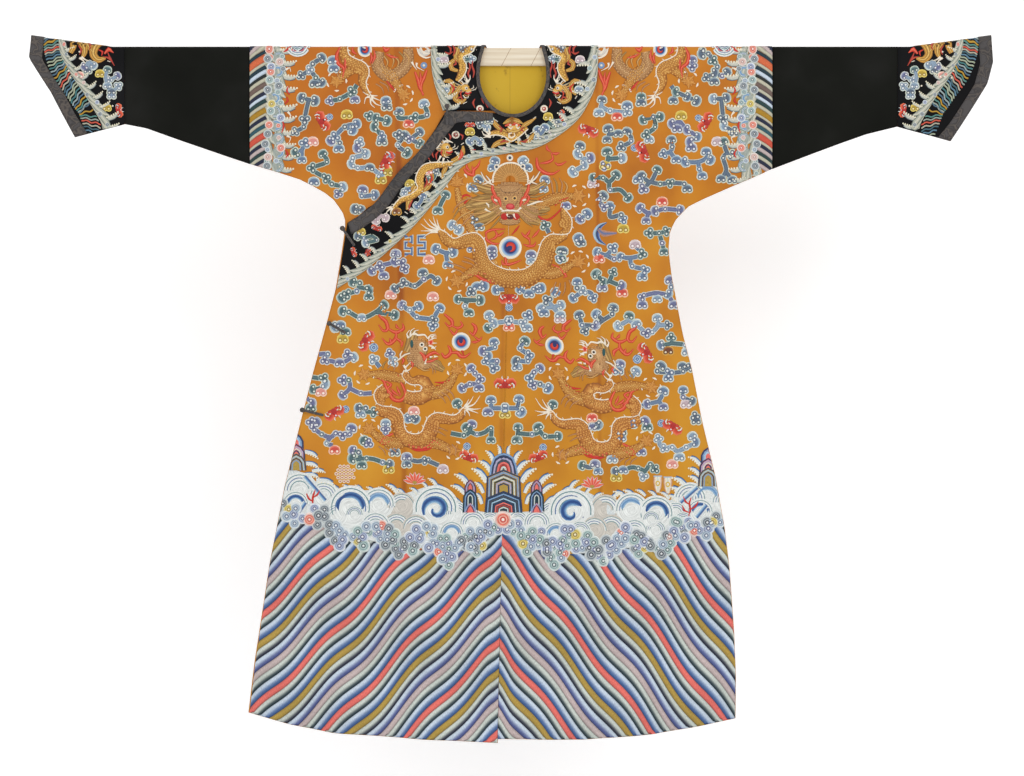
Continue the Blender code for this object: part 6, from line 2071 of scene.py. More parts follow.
# ---------------------------------------------------------------- the collar, its binding and the lapel strip
# A broad band of black satin goes round the neck and down the lapel. The neck hole is bound with brocade,
# a strip of brocade follows the lapel's edge, and inside the neck the gold lining of the back shows.
COLLAR_FRONT = np.array((  # inner edge (x, drop), outer edge (x, drop)
    (0.0665, 0.024, 0.174, 0.024), (0.0710, 0.048, 0.173, 0.048), (0.0695, 0.074, 0.170, 0.074),
    (0.0605, 0.098, 0.158, 0.106), (0.0490, 0.116, 0.134, 0.146), (0.0310, 0.130, 0.090, 0.182),
    (0.0070, 0.136, 0.044, 0.205), (-0.050, 0.1325, -0.020, 0.216), (-0.096, 0.131, -0.070, 0.226),
    (-0.128, 0.131, -0.104, 0.246), (-0.154, 0.170, -0.128, 0.277), (-0.186, 0.212, -0.161, 0.321),
    (-0.228, 0.255, -0.200, 0.366), (-0.268, 0.309, -0.240, 0.404), (-0.286, 0.323, -0.267, 0.428),
    (-0.302, 0.337, -0.294, 0.450), (-0.315, 0.345, -0.321, 0.467), (-0.327, 0.3525, -0.348, 0.484),
))
COLLAR_CREST = {-1: 0.160, 1: 0.174}
COLLAR_BACK_DEEP = 0.115
COLLAR_RIGHT = np.array(((0.024, -0.160), (0.048, -0.158), (0.074, -0.153), (0.098, -0.146), (0.1285, -0.136)))
LAPEL_STRIP = np.array((  # outer edge (x, drop), inner edge (x, drop)
    (-0.036, 0.1335, -0.036, 0.1460), (-0.064, 0.1310, -0.062, 0.150), (-0.128, 0.131, -0.106, 0.153),
    (-0.136, 0.147, -0.119, 0.165), (-0.186, 0.212, -0.168, 0.227), (-0.228, 0.255, -0.210, 0.271),
    (-0.268, 0.309, -0.250, 0.325), (-0.302, 0.337, -0.287, 0.357), (-0.326, 0.3525, -0.319, 0.376),
))
BINDING_WIDTH = 0.007
LINING = 0.0010


def across_band(table, columns):
    """The x and drop of places between the two edges of a band."""
    share = np.linspace(0, 1, columns)[None, :]
    edges = table[:, None, :]
    return edges[..., 0] * (1 - share) + edges[..., 2] * share, edges[..., 1] * (1 - share) + edges[..., 3] * share


def collar_front_edges():
    crest = [(NECK_X + neck_half(drop, -1), drop, COLLAR_CREST[1], drop) for drop in FOLD_ROWS]
    return np.concatenate((crest, curve(COLLAR_FRONT, FINE)[0]))


x, drop = across_band(collar_front_edges(), 16)
band = {"materials": (satin,), "slot": "black_silk", "strip": True, "wall": TRIM_WALL}
shell("collar_front", x, drop, -1, ON_COLLAR + over(x), **band)

outer = np.concatenate(([(drop, -COLLAR_CREST[-1]) for drop in FOLD_ROWS], curve(COLLAR_RIGHT, FINE)[0]))
collar_right_edges = np.array([(NECK_X - neck_half(drop, -1), drop, reach, drop) for drop, reach in outer])
x, drop = across_band(collar_right_edges, 14)
shell("collar_right", x, drop, -1, under(x, drop) + ON_COLLAR, **band)

collar_back_places = {}
for side, name in ((-1, "collar_back_right"), (1, "collar_back_left")):
    low = COLLAR_BACK_DEEP * np.sin(np.radians(np.linspace(6, 79.3, 18)))
    drop = np.concatenate((FOLD_ROWS, [0.010, NECK_BACK], low[low > NECK_BACK + 0.002]))[:, None]
    reach = COLLAR_CREST[side] * np.sqrt(1 - (drop / COLLAR_BACK_DEEP) ** 2)
    share = np.linspace(0, 1, 14)[None, :]
    x = inner_edge(drop, 1, side) * (1 - share) + side * reach * share
    shell(name, x, drop, 1, ON_COLLAR, **band)
    collar_back_places[side] = x, drop + 0 * x


def neck_loop():
    """The neck hole's edge all the way round: x, drop, face, and which way is out from it."""
    spots = []
    for side in (1, -1):
        part = []
        for angle in np.radians(np.linspace(0, 150, 26)):
            drop = NECK_MID + (NECK_DEEP - NECK_MID if angle < math.pi / 2 else NECK_RISE) * math.cos(angle)
            if drop > FOLD_ROWS[-1]:
                reach = NECK_X + side * neck_half(drop, -1)
                part.append((reach, drop, -1, side * math.sin(angle), math.cos(angle)))
        part += [(NECK_X + side * neck_half(drop, -1), drop, -1, side, 0) for drop in FOLD_ROWS[:0:-1]]
        part += [(NECK_X + side * neck_half(drop, 1), drop, 1, side, 0) for drop in FOLD_ROWS]
        for share in np.linspace(0.94, 0.06, 12):
            drop, aside = NECK_BACK * math.sqrt(1 - share**2), share**4
            if drop > FOLD_ROWS[-1]:
                part.append((NECK_X + side * NECK_TOP_HALF * share, drop, 1, side * aside, 1 - aside))
        spots.append(part if side > 0 else part[:0:-1])
    return np.array(spots[0] + spots[1])


x, drop, face, out_x, out_drop = neck_loop().T[:, :, None]
width = np.array((-0.0005, BINDING_WIDTH / 2, BINDING_WIDTH))[None, :]
places = x + out_x * width, drop + out_drop * width, face + 0 * width, ON_BAND + TRIM + 0 * width
edging = {"materials": (brocade,), "slot": "brocade", "strip": True, "wall": TRIM_WALL}
shell("neck_binding", *places, ring=True, **edging)

x, drop = across_band(curve(LAPEL_STRIP, FINE)[0], 5)
shell("lapel_strip", x, drop, -1, over(x) + ON_BAND + TRIM, **edging)

LINING_DEEP, LINING_REACH = 0.280, (-0.150, 0.158)
LINING_SEAM = -0.002, 0.0006  # x, and half the seam's width
STAINS = 0.66, 0.76, 0.0, 0.6
SEAM_SHADE, STAIN = 0.35, dye(120, 86, 24)


def stained_lining():
    """The gold lining with the dark line of its centre seam and some brown stains."""
    made = silk("lining_of_the_neck", GOLDS, 0.6)
    tree = made.node_tree
    base = tree.nodes["Principled BSDF"].inputs["Base Color"]
    plain = base.links[0].from_socket
    where = node(tree, "ShaderNodeTexCoord").outputs["Object"]
    split = node(tree, "ShaderNodeSeparateXYZ")
    tree.links.new(where, split.inputs[0])
    seam = calc(tree, "MULTIPLY", calc(tree, "COMPARE", split.outputs["X"], *LINING_SEAM), SEAM_SHADE)
    spots = node(tree, "ShaderNodeTexNoise", Scale=55.0, Detail=6.0)
    tree.links.new(where, spots.inputs["Vector"])
    marked = calc(tree, "MAXIMUM", seam, remap(tree, spots.outputs["Fac"], STAINS))
    tree.links.new(mix(tree, marked, plain, STAIN), base)
    return made


drop = np.linspace(FOLD_DROP, LINING_DEEP, 30)[:, None]
x = np.linspace(*LINING_REACH, 34)[None, :] + 0 * drop
shell("back_lining", x, drop, 1, -OUTSIDE - SEAM, (stained_lining(),), "lining", wall=LINING)

# ---------------------------------------------------------------- the stitched borders
# The satin of the collar and the cuffs is worked with small gold dragons, clouds and bats between banks of
# foam, and the same foam with striped water ends the yellow sleeves. All is floss, like the rest.
BANK_STEP = 11.5  # squares from one arm of foam to the next


def rim(x, drop):
    """The closed edge of a grid of places."""
    sides = np.s_[0, :], np.s_[1:, -1], np.s_[-1, -2::-1], np.s_[-2:0:-1, 0]
    return np.concatenate([np.stack((x[at], drop[at]), 1) for at in sides])


def within(edge):
    """An outline that pulls places that are past a closed edge back onto it."""
    ends = np.roll(edge, -1, axis=0)
    tall = np.where(ends[:, 1] == edge[:, 1], 1, ends[:, 1] - edge[:, 1])

    def outline(x, drop):
        crossed = (edge[:, 1] > drop[:, None]) != (ends[:, 1] > drop[:, None])
        at = edge[:, 0] + (drop[:, None] - edge[:, 1]) / tall * (ends[:, 0] - edge[:, 0])
        outside = (crossed & (x[:, None] < at)).sum(1) % 2 == 0
        new_x, new_drop = x.copy(), drop.copy()
        if outside.any():
            closed = np.concatenate((edge, edge[:1]))
            new_x[outside], new_drop[outside], _ = to_line(x[outside], drop[outside], closed)
        return new_x, new_drop, outside

    return outline


# the third of these is the dark edge of an arm of foam: partly its outline, partly painted shade where the arms meet
CREAM, CREST_GREY, FOAM_EDGE_SHADE = dye(193, 191, 172), dye(160, 168, 160), dye(98, 112, 106)
OFF_WHITE = dye(207, 205, 190)
comb = Motif("crest", draw_spray(1, CREST_GREY, OFF_WHITE), floss)


def bank(work, spots, width, inward, seed, combs=1.0, curls=0.5):
    """A bank of foam beside a line of spots: arms of foam, curls of floss in it, and combs thrown up from it.

    inward is 1 where the bank lies to the right of the line's run, -1 to the left.
    """
    rng = np.random.default_rng(seed)
    line, along = curve(spots)
    width = np.interp(along, np.arange(len(spots)), np.broadcast_to(width, len(spots)))
    gone = np.append(0, np.cumsum(np.hypot(*np.diff(line, axis=0).T)))
    run = np.gradient(line, axis=0)
    run /= np.hypot(*run.T)[:, None]
    aside = inward * np.stack((-run[:, 1], run[:, 0]), 1)

    def at(far, share):
        here, wide = [np.interp(far, gone, line[:, i]) for i in (0, 1)], np.interp(far, gone, width)
        return tuple(here[i] + share * wide * np.interp(far, gone, aside[:, i]) for i in (0, 1))

    ground, shades = line + aside * width[:, None] * 0.32, (CREAM, CREST_GREY, CREAM)
    ribbon(work, ground, width * 0.64, None, SEA_FLOSS, shades=shades, smoothed=False)
    thrown, curled = [], []
    for number, far in enumerate(np.arange(-4, gone[-1] - 4, BANK_STEP)):
        wide = float(np.interp(far + 8, gone, width))
        arm = [at(far + step, share) for step, share in ((0, 0.04), (8, 0.32), (15, 0.50), (20, 0.74), (23, 1.0))]
        spread = np.array((0.10, 0.50, 0.62, 0.44, 0.10)) * wide
        height = SEA_FLOSS + 0.0002 + 0.00004 * (number % 3)
        # each arm is darker at its edges, an outline with painted shade where the arms meet, and lighter in its
        # middle, a painted highlight
        ribbon(work, arm, spread, None, height, SEA_FLOSS, (FOAM_EDGE_SHADE, CREAM, OFF_WHITE, CREAM, FOAM_EDGE_SHADE))
        for shift, colour in ((-0.10, CREAM), (0.09, LINE_TEAL)):
            thread = [at(far + step, share + shift) for step, share in ((5, 0.28), (14, 0.48), (20, 0.70))]
            ribbon(work, thread, 0.7, colour, SEA_FLOSS + 0.0005)
        toward = math.atan2(*(np.array(at(far + 12, 1.5)) - at(far + 12, 0.5))[[0, 1]] * (1, -1))
        if rng.random() < combs:
            thrown.append((*at(far + 13, 0.86), toward + 0.9, 0.074 * wide, 0))
        if rng.random() < curls:
            tone = rng.choice(7, p=(0.22, 0.26, 0.20, 0.08, 0.10, 0.08, 0.06))
            curled.append((*at(far + 6, 0.22 + 0.5 * rng.random()), 0, 0.048 * wide, int(tone)))
    for motif, stamped, palettes in ((comb, thrown, None), (bubble, curled, BUBBLE_PALETTES)):
        if stamped:
            motif.stamp(work, stamped, palettes)


def water_lines(work, lines, count, colours, width, wave=0.8):
    """Wavy lines of floss between pairs of spots, with a number of lines from each pair to the next."""
    lines = np.array(lines, float)
    total = count * (len(lines) - 1) + 1
    for number, place_in in enumerate(np.linspace(0, len(lines) - 1, total)):
        ends = np.array([np.interp(place_in, np.arange(len(lines)), values) for values in lines.T])
        start, end = ends[:2], ends[2:]
        share = np.linspace(0, 1, 11)[:, None]
        run = end - start
        across = np.array((-run[1], run[0])) / max(math.hypot(*run), 1e-6)
        swing = wave * np.sin(share * math.hypot(*run) / 9.5 * 2 * math.pi + 0.35 * number)
        wavy, colour = start + run * share + across * swing, colours[number % len(colours)]
        ribbon(work, wavy, width, colour, SEA_FLOSS, smoothed=False)


BONE = (SPINE_WHITE,)
FEATURES = (  # the strokes of a small head: start, middle and end from its middle, width, dyes, layer
    ((0, 4), (3, 5), (6.4, 3.4), 2.4, (RED, SCARLET, RED), 2), ((0.6, 3), (3.6, 3.6), (6.8, 1.6), 1.1, BONE, 4),
    ((-1, 5.6), (2, 7.2), (5.4, 6.0), 1.5, (BRONZE, BODY_GOLD), 1),
    ((6, 0.4), (8.6, -1.2), (8.4, -3.6), 1.0, BONE, 3), ((7, 1.6), (10.4, 0.6), (12, -2), 0.9, BONE, 3),
    ((-3.6, -3), (-1, -5.6), (3, -4.8), 1.3, BONE, 3), ((-1, -4), (-3, -7.4), (-6, -9), 1.2, BONE, 4),
    ((1.4, -4.4), (1.2, -7.8), (-1, -10), 1.2, BONE, 4), ((-2, 6.4), (0, 8.8), (3, 9.2), 1.3, BONE, 2),
    ((-3.4, 2), (-4.6, 5), (-3.6, 8), 1.6, (FLAME, RED), 2),
)


class Scroll(Dragon):
    """A small dragon on black satin, with its clouds, its bats and its pearl."""

    def __init__(self, seed):
        super().__init__()
        self.sky = Clouds(seed, 0.82)

    def draw(self, limbs, floss_lines, clouds, heads):
        for limb in limbs.split("|"):
            self.limb(limb, 5, scaled=False)
        strokes(self.silk, ON_GOLD + 0.0001, floss_lines.replace("F", "G"))
        self.sky.draw(self.silk, clouds)
        self.sky.heads(heads)

    def face(self, column, row, size, side):
        """A small head turned to one side: its brow, snout, red mouth, eye and white whiskers."""
        def spot(across, down):
            return column + side * across * size, row + down * size

        for back, down, length in ((-2, -3, 9), (-3, -1, 10), (-3, 1.5, 9), (-2, 4, 8), (0, -4.5, 7)):
            lock = [spot(-1, down * 0.6), spot(back - length * 0.5, down - 1), spot(back - length, down - 3.5)]
            tint = (LINE_TEAL, BRONZE, SLATE)[length % 3]
            ribbon(self.gold, lock, (2.2 * size, 1.8 * size, 0.5), None, GOLD_FLOSS, shades=(tint, PALE_GOLD, tint))
        self.knots(spot(0, -1), 4.4 * size, 3.8 * size, 5, 0.6)
        self.knots(spot(3.4, 1.6), 3.4 * size, 2.4 * size, 5, 0.6)
        for start, middle, end, width, shades, layer in FEATURES:
            line, height = [spot(*start), spot(*middle), spot(*end)], ON_GOLD + 0.00006 * layer
            both = shades if len(shades) > 1 else None
            ribbon(self.silk, line, (0.7 * width, width, 0.4 * width), shades[0], height, shades=both)
        disc(self.silk, spot(1.4, -0.6), plate(1.7 * size, ON_GOLD + 0.0003, SPINE_WHITE), 9)
        disc(self.silk, spot(1.6, -0.5), plate(0.9 * size, ON_GOLD + 0.0004, DARK), 7)

    def bats(self, spots):
        bat.stamp(self.silk, [(column, row, math.radians(turn), size, 0) for column, row, turn, size in spots])

    def little_pearl(self, column, row):
        disc(self.silk, (column, row), plate(3.8, ON_GOLD, SPINE_WHITE), 12)
        disc(self.silk, (column, row), plate(2.4, ON_GOLD + 0.0001, CRIMSON), 10)
        disc(self.silk, (column + 0.3, row - 0.2), plate(1.1, ON_GOLD + 0.0002, SPINE_WHITE), 7)

    def stamp(self):
        self.sky.stamp(self.silk)
        super().stamp()

    def join_to(self, work, mirror=None):
        for part in (self.gold, self.silk):
            work.join(part, mirror)


NECK_COLUMN = 512  # the band is drawn alike on both sides of it
shoulder = Scroll(21)
shoulder.draw(
    limbs="""459,45,6 457,52,6 456,58,5 461,62,5|456,60,4 451,63,5 452,69,5 458,71,3|443,82,2 449,81,5 453,85,5
452,91,4 448,95,2|454,92,3 455,99,5 461,102,5 466,99,2|461,86,5 456,94,5 458,101,3""",
    floss_lines="""F 470,79 468,74 470,68 469,63|F 473,78 474,72 472,66 473,61|F 447,47 451,50 450,54|F 452,46 455,51
453,56|F 445,52 449,54 453,52|F 453,66 456,64 455,60|R 450,84 454,88 452,93|F 457,99 461,97 463,101|W 445,80 443,83|W
442,86 445,88|W 447,96 449,99|W 463,104 467,102|W 468,98 469,94|F 475,108 473,103 475,99|F 484,104 482,99 484,94|R
488,108 486,103 487,99|D 462,66 464,70|D 461,74 462,78|T 468,82 466,78 465,74|T 467,83 470,79 470,75""",
    clouds="1 464,60 472,59|0 463,50 468,52. 470,48", heads="3 445,90|8 444,60",
)
shoulder.body("478,45,4 471,53,6 463,57.5,6 466,64,7 466,71,7 463,77,6.5 458.5,82,4", -1, 5)
shoulder.face(465, 89, 1.0, 1)
shoulder.little_pearl(480, 109)
shoulder.stamp()

chest = Scroll(22)
chest.draw(
    limbs="""507,132,1 499,128,5 495,124,5 494,120,1|519,131,1 525,125,5 530,122,4 536,118,1|512,142,1 502,142,6
495,145,5 491,149,1|515,142,1 525,143,6 531,138,5 534,133,1|503,124,1 508,121.5,5 513,120.5,6 518,121.5,5
523,124,1|506,129,1 510,131,6 514,132,7 518,131,6 522,128,1""",
    floss_lines="""F 499,126 502,129 500,133|F 524,127 521,130 524,132|F 500,143 504,141 508,142|F 520,141 525,142
528,139|C 505,126 513,124 521,126|D 510.9,144 510.9,154|T 490,135 486,132 484,129|T 490,136 484,135 482,131|T 491,137
486,137 483,138|T 490,134 489,130 488,128|W 512,133 509,134 509,137 512,138 515,136 514,133|W 495,120 498,122|W
536,117 533,119|W 492,148 495,149|W 533,132 530,134|F 449,134 451,137 450,140|F 460,134 463,136 462,140|W 508,127
511,129 513,127|W 516,127 518,129 520,127|D 467,150 471,150|R 472,150 476,150""",
    clouds="""3 483,126. 487,128 480,124|3 470,142 475,138. 480,142|2 537,130 541,134. 545,128 / 541,134. 538,138|1
548,122. 553,126 558,124""",
    heads="6 470,132|6 548,117|0 490,121|8 553,134",
)
chest.body("528,129,3 519,137,5 511,141.5,6 505,137,5 496,135,5 489,136,3", -1, 5)
chest.knots((513.5, 126), 6.5, 5.2, 5, 0.6)
chest.bats(((470, 125, 0, 0.55), (562, 115.5, 90, 0.6)))
chest.little_pearl(456, 135)
for column in (510.4, 516.6):
    disc(chest.silk, (column, 125.4), plate(1.4, ON_GOLD + 0.0003, SPINE_WHITE), 8)
chest.stamp()

arm = Scroll(23)
arm.draw(
    limbs="""452,162,5 459,158,6 463,152,5 463,146,2|447,165,4 444,172,5 442,179,2|416,186,7 412,194,8 409,202,6
407,210,2|430,168,3 432,177,5 428,187,6 421,193,3|441,148,5 446,151,8 444,157,5""",
    floss_lines="""F 434,158 432,153 436,148|F 430,160 427,156 430,151|F 437,160 436,155 439,151|C 459,160 462,155
461,150|F 424,188 427,183 426,177|F 413,200 410,206 409,211|R 428,186 432,180 431,174|W 441,143 437,148 433,147|W
443,142 448,141 453,143|T 392,207 388,208 384,209|T 392,208 388,211 386,214|T 393,208 391,212 391,215|T 441,156
439,160 436,163|T 444,158 443,162 442,165|W 405,212 408,214|W 410,212 413,213|W 440,181 443,182|W 464,143 461,145|F
375,226 377,229 380,227|F 366,250 369,253 371,256""",
    clouds="""0 412,188. 408,190 404,193|2 423,196 421,202. 417,206|8 386,218 381,216. 376,221|1 372,236. 377,240
366,243 / 372,236. 364,238 358,236|1 436,172 434,178. 430,180""",
    heads="6 410,184|9 397,212|6 361,232|7 429,172",
)
arm.body(
    """453,162,4 445.7,162.4,5 432.1,162.9,7 424,165,8 419.5,169.5,8 416.5,176,8 416,182,8 418,188.3,7 414,192,6
409.4,195,6 401,198,5 396,203,4 393,207.5,3""",
    1, 5,
)
arm.face(446, 148, 1.05, 1)
arm.bats(((377, 228, 20, 0.6), (354, 252, 70, 0.55), (368, 252.2, 120, 0.5)))
arm.little_pearl(455.6, 135)
arm.stamp()

ABOVE_COLLAR = (598.0, 44.0)  # the column and row that the outer bank of foam comes from


def squares(x, drop):
    """Places on the cloth as columns and rows of the drawing."""
    return np.stack((x / SQUARE + CENTRE_COLUMN, drop / SQUARE + SHOULDER_ROW), 1)


front_rim = rim(*across_band(collar_front_edges(), 6))
outer_line = np.concatenate(([ABOVE_COLLAR], squares(*COLLAR_FRONT[:, 2:].T)))
work = Embroidery()
bank(work, outer_line, [11] * 4 + [10] * 3 + [8.5] * (len(outer_line) - 7), 1, 31, combs=0.85)
shoulder.join_to(work, NECK_COLUMN)
chest.join_to(work)
arm.join_to(work)


ON_SATIN = ON_COLLAR + 0.0002


def collar_skin(x, drop):
    return ON_SATIN + over(x)


work.lay("collar_work_front", -1, floss, collar_skin, "black_silk", within(front_rim))

work = Embroidery()
edge_drop, edge_x = np.concatenate(([(0, -COLLAR_CREST[-1])], COLLAR_RIGHT)).T
bank(work, squares(edge_x, edge_drop), 10, -1, 32, combs=0.9)
shoulder.join_to(work)


def collar_right_skin(x, drop):
    return under(x, drop) + ON_SATIN


right_rim = rim(*across_band(collar_right_edges, 6))
work.lay("collar_work_right", -1, floss, collar_right_skin, "black_silk", within(right_rim))

for side, hand in ((-1, "right"), (1, "left")):
    work = Embroidery()
    turn = np.linspace(0, math.pi / 2, 9)
    line = squares(side * COLLAR_CREST[side] * np.cos(turn), COLLAR_BACK_DEEP * np.sin(turn))
    bank(work, line, 9, side, 33 + side)
    behind = Scroll(35)
    behind.draw(
        limbs="486,66,3 480,71,5 473,70,4|468,60,4 463,66,5 458,70,2",
        floss_lines="F 476,62 473,58 476,54|F 470,76 467,73 463,75|T 459,80 455,82 452,80|T 459,80 457,84 455,87",
        clouds="2 496,84 501,88. 505,83|0 470,88 476,91. 480,87", heads="6 488,92|5 452,62",
    )
    behind.body("492,62,3 486,60,5 479,62,6 474,68,6 472,75,6 466,79,5 460,80,3", -1, 5)
    behind.face(492, 66, 0.9, 1)
    behind.bats(((503, 72, 0, 0.55),))
    behind.stamp()
    behind.join_to(work, None if side < 0 else CENTRE_COLUMN)
    back_rim = rim(*collar_back_places[side])
    work.lay(f"collar_work_back_{hand}", 1, floss, lambda x, drop: ON_SATIN + 0 * x, "black_silk", within(back_rim))

# The cuffs: striped water inside the brocade border, then a bank of foam, and a dragon over the black.
CUFF_WATER = (  # from the border (column, row) to the foam (column, row)
    (43, 34, 57, 31), (43.5, 42, 58, 37), (44.5, 50, 60, 44.5), (46, 57, 62, 51), (49, 67, 64, 58), (53, 76, 67, 64),
    (58, 85, 70, 70), (64, 93, 74, 77), (70, 101, 78, 84), (75, 108, 84, 92), (79, 113, 90, 101),
)
CUFF_BANK = (  # column, row, width
    (58, 32, 9), (59, 42, 9), (61, 54, 7.5), (68, 68, 7.5), (75, 80, 8.5), (82, 90, 9), (89, 101, 9), (96, 113, 10),
    (101, 122, 11), (103, 129, 9),
)
CUFF_FOOT = ((79, 113, 90, 103), (80, 115, 97, 117), (82, 120, 101, 124), (84, 126, 101, 131), (87, 134, 97, 136))
WATER_DYES = [
    dye(*dyes) for dyes in (
        (168, 176, 150), (64, 120, 122), (150, 166, 166), (78, 108, 128), (184, 142, 42), (84, 134, 126),
        (150, 160, 150), (206, 84, 62), (176, 172, 154), (64, 100, 112), (88, 126, 148), (160, 170, 146),
    )
]
wrist = Scroll(41)
wrist.draw(
    limbs="""72,41,5 74,46,7 71,53,5|79,42,6 84,46,8 85,53,6 82,59,2|109,44,5 101,43,8 95,48,9 94,55,8 99,60,7
106,58,3|86,44,4 90,48,5 93,52,3""",
    floss_lines="""C 105,54 109,50 114,53|F 108,52 111,59 115,66|F 104,57 109,58 113,63|F 88,43 91,46 90,50|R 99,50
103,52 102,56|F 79,46 82,50 80,55|T 82,57 86,60 90,61|T 80,58 84,61 86,64|W 77,41 80,43|W 108,61 111,62""",
    clouds="""3 85,67 90,62. 94,66 / 90,62. 88,71|3 108,70 106,77. 110,80 118,76 / 106,77. 108,86 114,90. 119,86 /
108,86. 112,96|0 106,85. 112,92""",
    heads="6 100.5,74|7 80,76|6 107,108",
)
wrist.bats(((119.5, 110.3, 80, 0.75),))
for spot in ((101, 86), (113, 106), (80, 52), (69, 71), (71, 78)):
    disc(wrist.silk, spot, plate(1.0, ON_GOLD, SPINE_WHITE), 7)
water_lines(wrist.silk, CUFF_WATER, 3, WATER_DYES, 1.45)
water_lines(wrist.silk, CUFF_FOOT, 2, WATER_DYES[3:], 1.35)
bank(wrist.silk, [spot[:2] for spot in CUFF_BANK], [spot[2] for spot in CUFF_BANK], -1, 42, curls=1.0)
wrist.stamp()

# The ends of the yellow sleeves, beside the joins.
STRAW = dye(192, 188, 166)
SLEEVE_DYES = (
    (44, STRAW, 2.4), (48.5, NAVY, 2.6), (52, TAUPE, 3), (56, STRAW, 2.6), (60.5, TEAL, 2.6),
    (66.5, dye(212, 104, 62), 6), (72, STRAW, 2.4), (76, TEAL, 3.2), (80, MIST, 3.2), (84.5, dye(26, 34, 34), 2.4),
    (88, STRAW, 3), (93, dye(112, 92, 84), 4), (97.5, STRAW, 2.4), (101.5, NAVY, 3), (105, MIST, 2.6),
    (109.5, dye(30, 62, 62), 3.2), (113.5, STRAW, 2.8), (119, dye(170, 128, 28), 5), (123, STRAW, 2),
    (126.5, NAVY, 3.2), (130, STRAW, 2.6), (134.5, dye(40, 84, 96), 3), (138, STRAW, 2.6),
    (143.5, dye(206, 82, 60), 5.2), (148.5, STRAW, 2.2), (152, NAVY, 3), (156, TAUPE, 3),
    (160.5, dye(34, 60, 60), 3), (164, STRAW, 3), (168, NAVY, 3), (172, TAUPE, 3),
)
SLEEVE_BUBBLES = """269.5,50,4 268,59,1 271.5,67,3 271,72,4 270,80,2 268,90,1 272,104,5 271,111,2 269.5,125,4
268,134,1 265.5,144,1 268,157,6 267,166,1 279,86,1 280,62,6 281,118,3 281,148,4"""
OUTER_BANK = ((263, 44), (264, 70), (263, 100), (264, 130), (262, 160), (260, 174))
INNER_BANK = ((273, 44), (275, 70), (272, 100), (275, 130), (273, 160), (270, 178))
SLEEVE_RISE = 9.0
CREST_DROP = 0.001  # the highest that the ends of the sleeves are worked
STRIPE_SPREAD = 1.42
for side, hand in ((-1, "right"), (1, "left")):
    for face, where in ((-1, "front"), (1, "back")):
        work = Embroidery()
        wrist.join_to(work, None if side < 0 else CENTRE_COLUMN)
        cuff_rim = rim(*cuff_places(side, np.linspace(0, 1, 8)))
        work.lay(f"cuff_work_{hand}_{where}", face, floss, back_skin, "black_silk", within(cuff_rim))


def sleeve_outline(x, drop):
    x, drop, outside = robe_outline(x, drop)
    x = np.clip(x, -SLEEVE_JOIN, SLEEVE_JOIN)
    return x, np.maximum(drop, CREST_DROP), outside | (drop < CREST_DROP)


ending = Embroidery()
for row, colour, width in SLEEVE_DYES:
    # each stripe is painted darker at its edges, shade where it meets the next
    edge_shade = np.array(colour) * 0.6
    line = [(248.6, row + 3.0), (257, row - 3.5), (266.5, row - SLEEVE_RISE)]
    ribbon(ending, line, STRIPE_SPREAD * width, colour, PADDING * 0.6, shades=(edge_shade, colour, colour, edge_shade))
bank(ending, OUTER_BANK, (12, 13, 13, 12, 12, 10), -1, 51, combs=0.0, curls=0.4)
bank(ending, INNER_BANK, (11, 12, 14, 11, 12, 10), -1, 52, combs=0.9, curls=0.5)
for row in np.arange(58, 172, 13.5):
    shades = (PALE, MID, PALE) if row % 27 > 13 else None
    fan(ending, (277 + 2 * math.sin(row), row), 6.4, -40, 200, 1, shades, CREST_GREY)
eyes = [(column, row, 0, 0.9, tone) for column, row, tone in read_spots(SLEEVE_BUBBLES)]
bubble.stamp(ending, eyes, BUBBLE_PALETTES)
fan(ending, (298, 44), 13, -180, 180, 2, (CORAL, SLATE, PALE))
fan(ending, (298, 44), 7, -180, 180, 3, (NAVY, TEAL, CORAL))
strokes(ending, SEA_FLOSS + 0.0006, """R 289,86 287,91 290,95|R 282,119 284,126 282,133|R 286,150 288,154 286,158|D
272,84 276,83 281,80|R 285,104 288,101 287,97|T 286,70 290,68 291,72|T 288,112 291,116 289,121|T 287,136 291,138
289,143|R 291,46 288,50 284,52""")


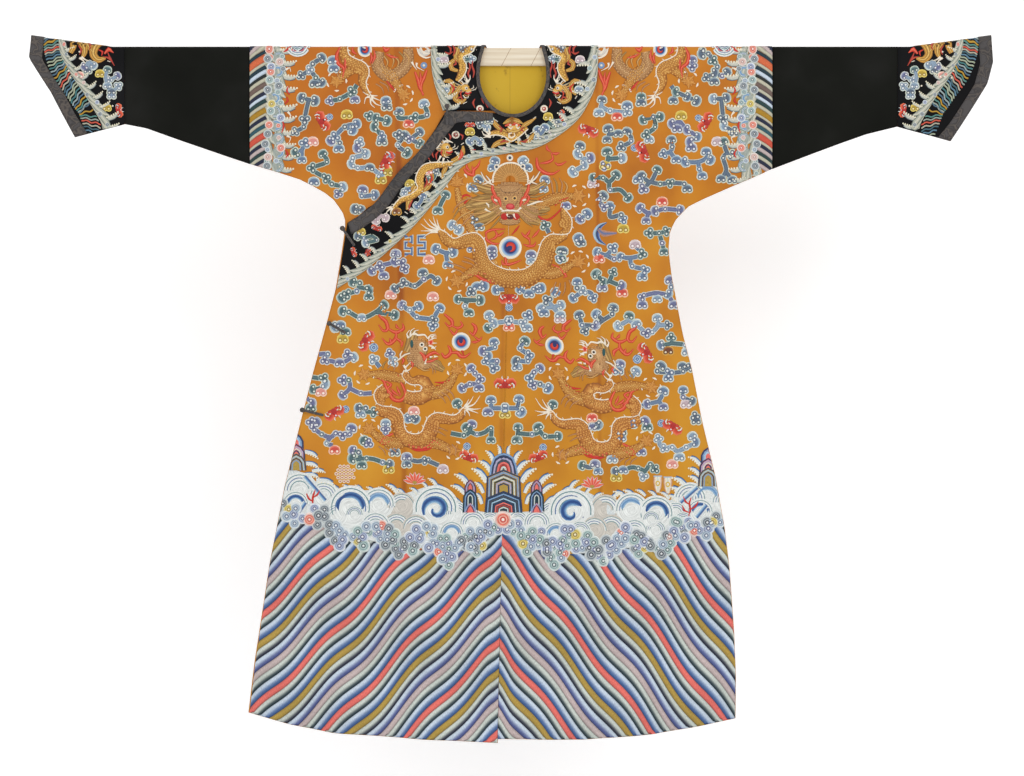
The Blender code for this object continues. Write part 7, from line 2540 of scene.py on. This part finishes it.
for face in (-1, 1):
    work = Embroidery()
    for mirror in (None, CENTRE_COLUMN):
        work.join(ending, mirror)
    work.lay(f"sleeve_ends_{FACE_NAME[face]}", face, floss, SKIN[face], "yellow_silk", sleeve_outline)

# ---------------------------------------------------------------- the toggles and the slat
# The robe closes with knotted balls of brocade cord on short straps. It hangs on a slat of planed pale
# wood, made up of lengths that are scarfed together.
GILT = dye(148, 98, 44)
gilt = plain_material("gilt", GILT, 0.45)
gilt.node_tree.nodes["Principled BSDF"].inputs["Metallic"].default_value = 0.6
for name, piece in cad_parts.items():
    if name.startswith("toggle"):
        piece.data.materials.clear()
        piece.data.materials.append(gilt if name == "toggle_neck" else brocade)

JOINTS = (-0.66, -0.31, -0.0094, 0.0494, 0.36, 0.69)  # where the scarf joints come, along the slat
JOINT_SLANT, JOINT_WIDTH, JOINT = 0.527, 0.0009, dye(150, 112, 66)
PALE_WOOD = dye(214, 196, 168), dye(228, 214, 190), dye(236, 226, 206)
GRAIN_RUN = (3, 60, 90)  # long along the slat and fine across it


def wood_material():
    """Pale wood with a long grain. A scarf joint shows as a fine slanting line across the face."""
    made = plain_material("pale_wood", PALE_WOOD[1], 0.55)
    tree = made.node_tree
    where = node(tree, "ShaderNodeTexCoord").outputs["Object"]
    grain = node(tree, "ShaderNodeTexNoise", Scale=2.0, Detail=5.0)
    tree.links.new(calc(tree, "MULTIPLY", where, GRAIN_RUN, kind="ShaderNodeVectorMath"), grain.inputs["Vector"])
    tones = ramp(tree, tuple(zip((0.3, 0.5, 0.7), PALE_WOOD)))
    tree.links.new(grain.outputs["Fac"], tones.inputs[0])
    split = node(tree, "ShaderNodeSeparateXYZ")
    tree.links.new(where, split.inputs[0])
    slanted = calc(tree, "MULTIPLY_ADD", split.outputs["Z"], -JOINT_SLANT, split.outputs["X"])
    shade = tones.outputs[0]
    for joint in JOINTS:
        shade = mix(tree, calc(tree, "COMPARE", slanted, joint, JOINT_WIDTH / 2), shade, JOINT)
    tree.links.new(shade, tree.nodes["Principled BSDF"].inputs["Base Color"])
    return made


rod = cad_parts["rod"]
rod.data.materials.clear()
rod.data.materials.append(wood_material())
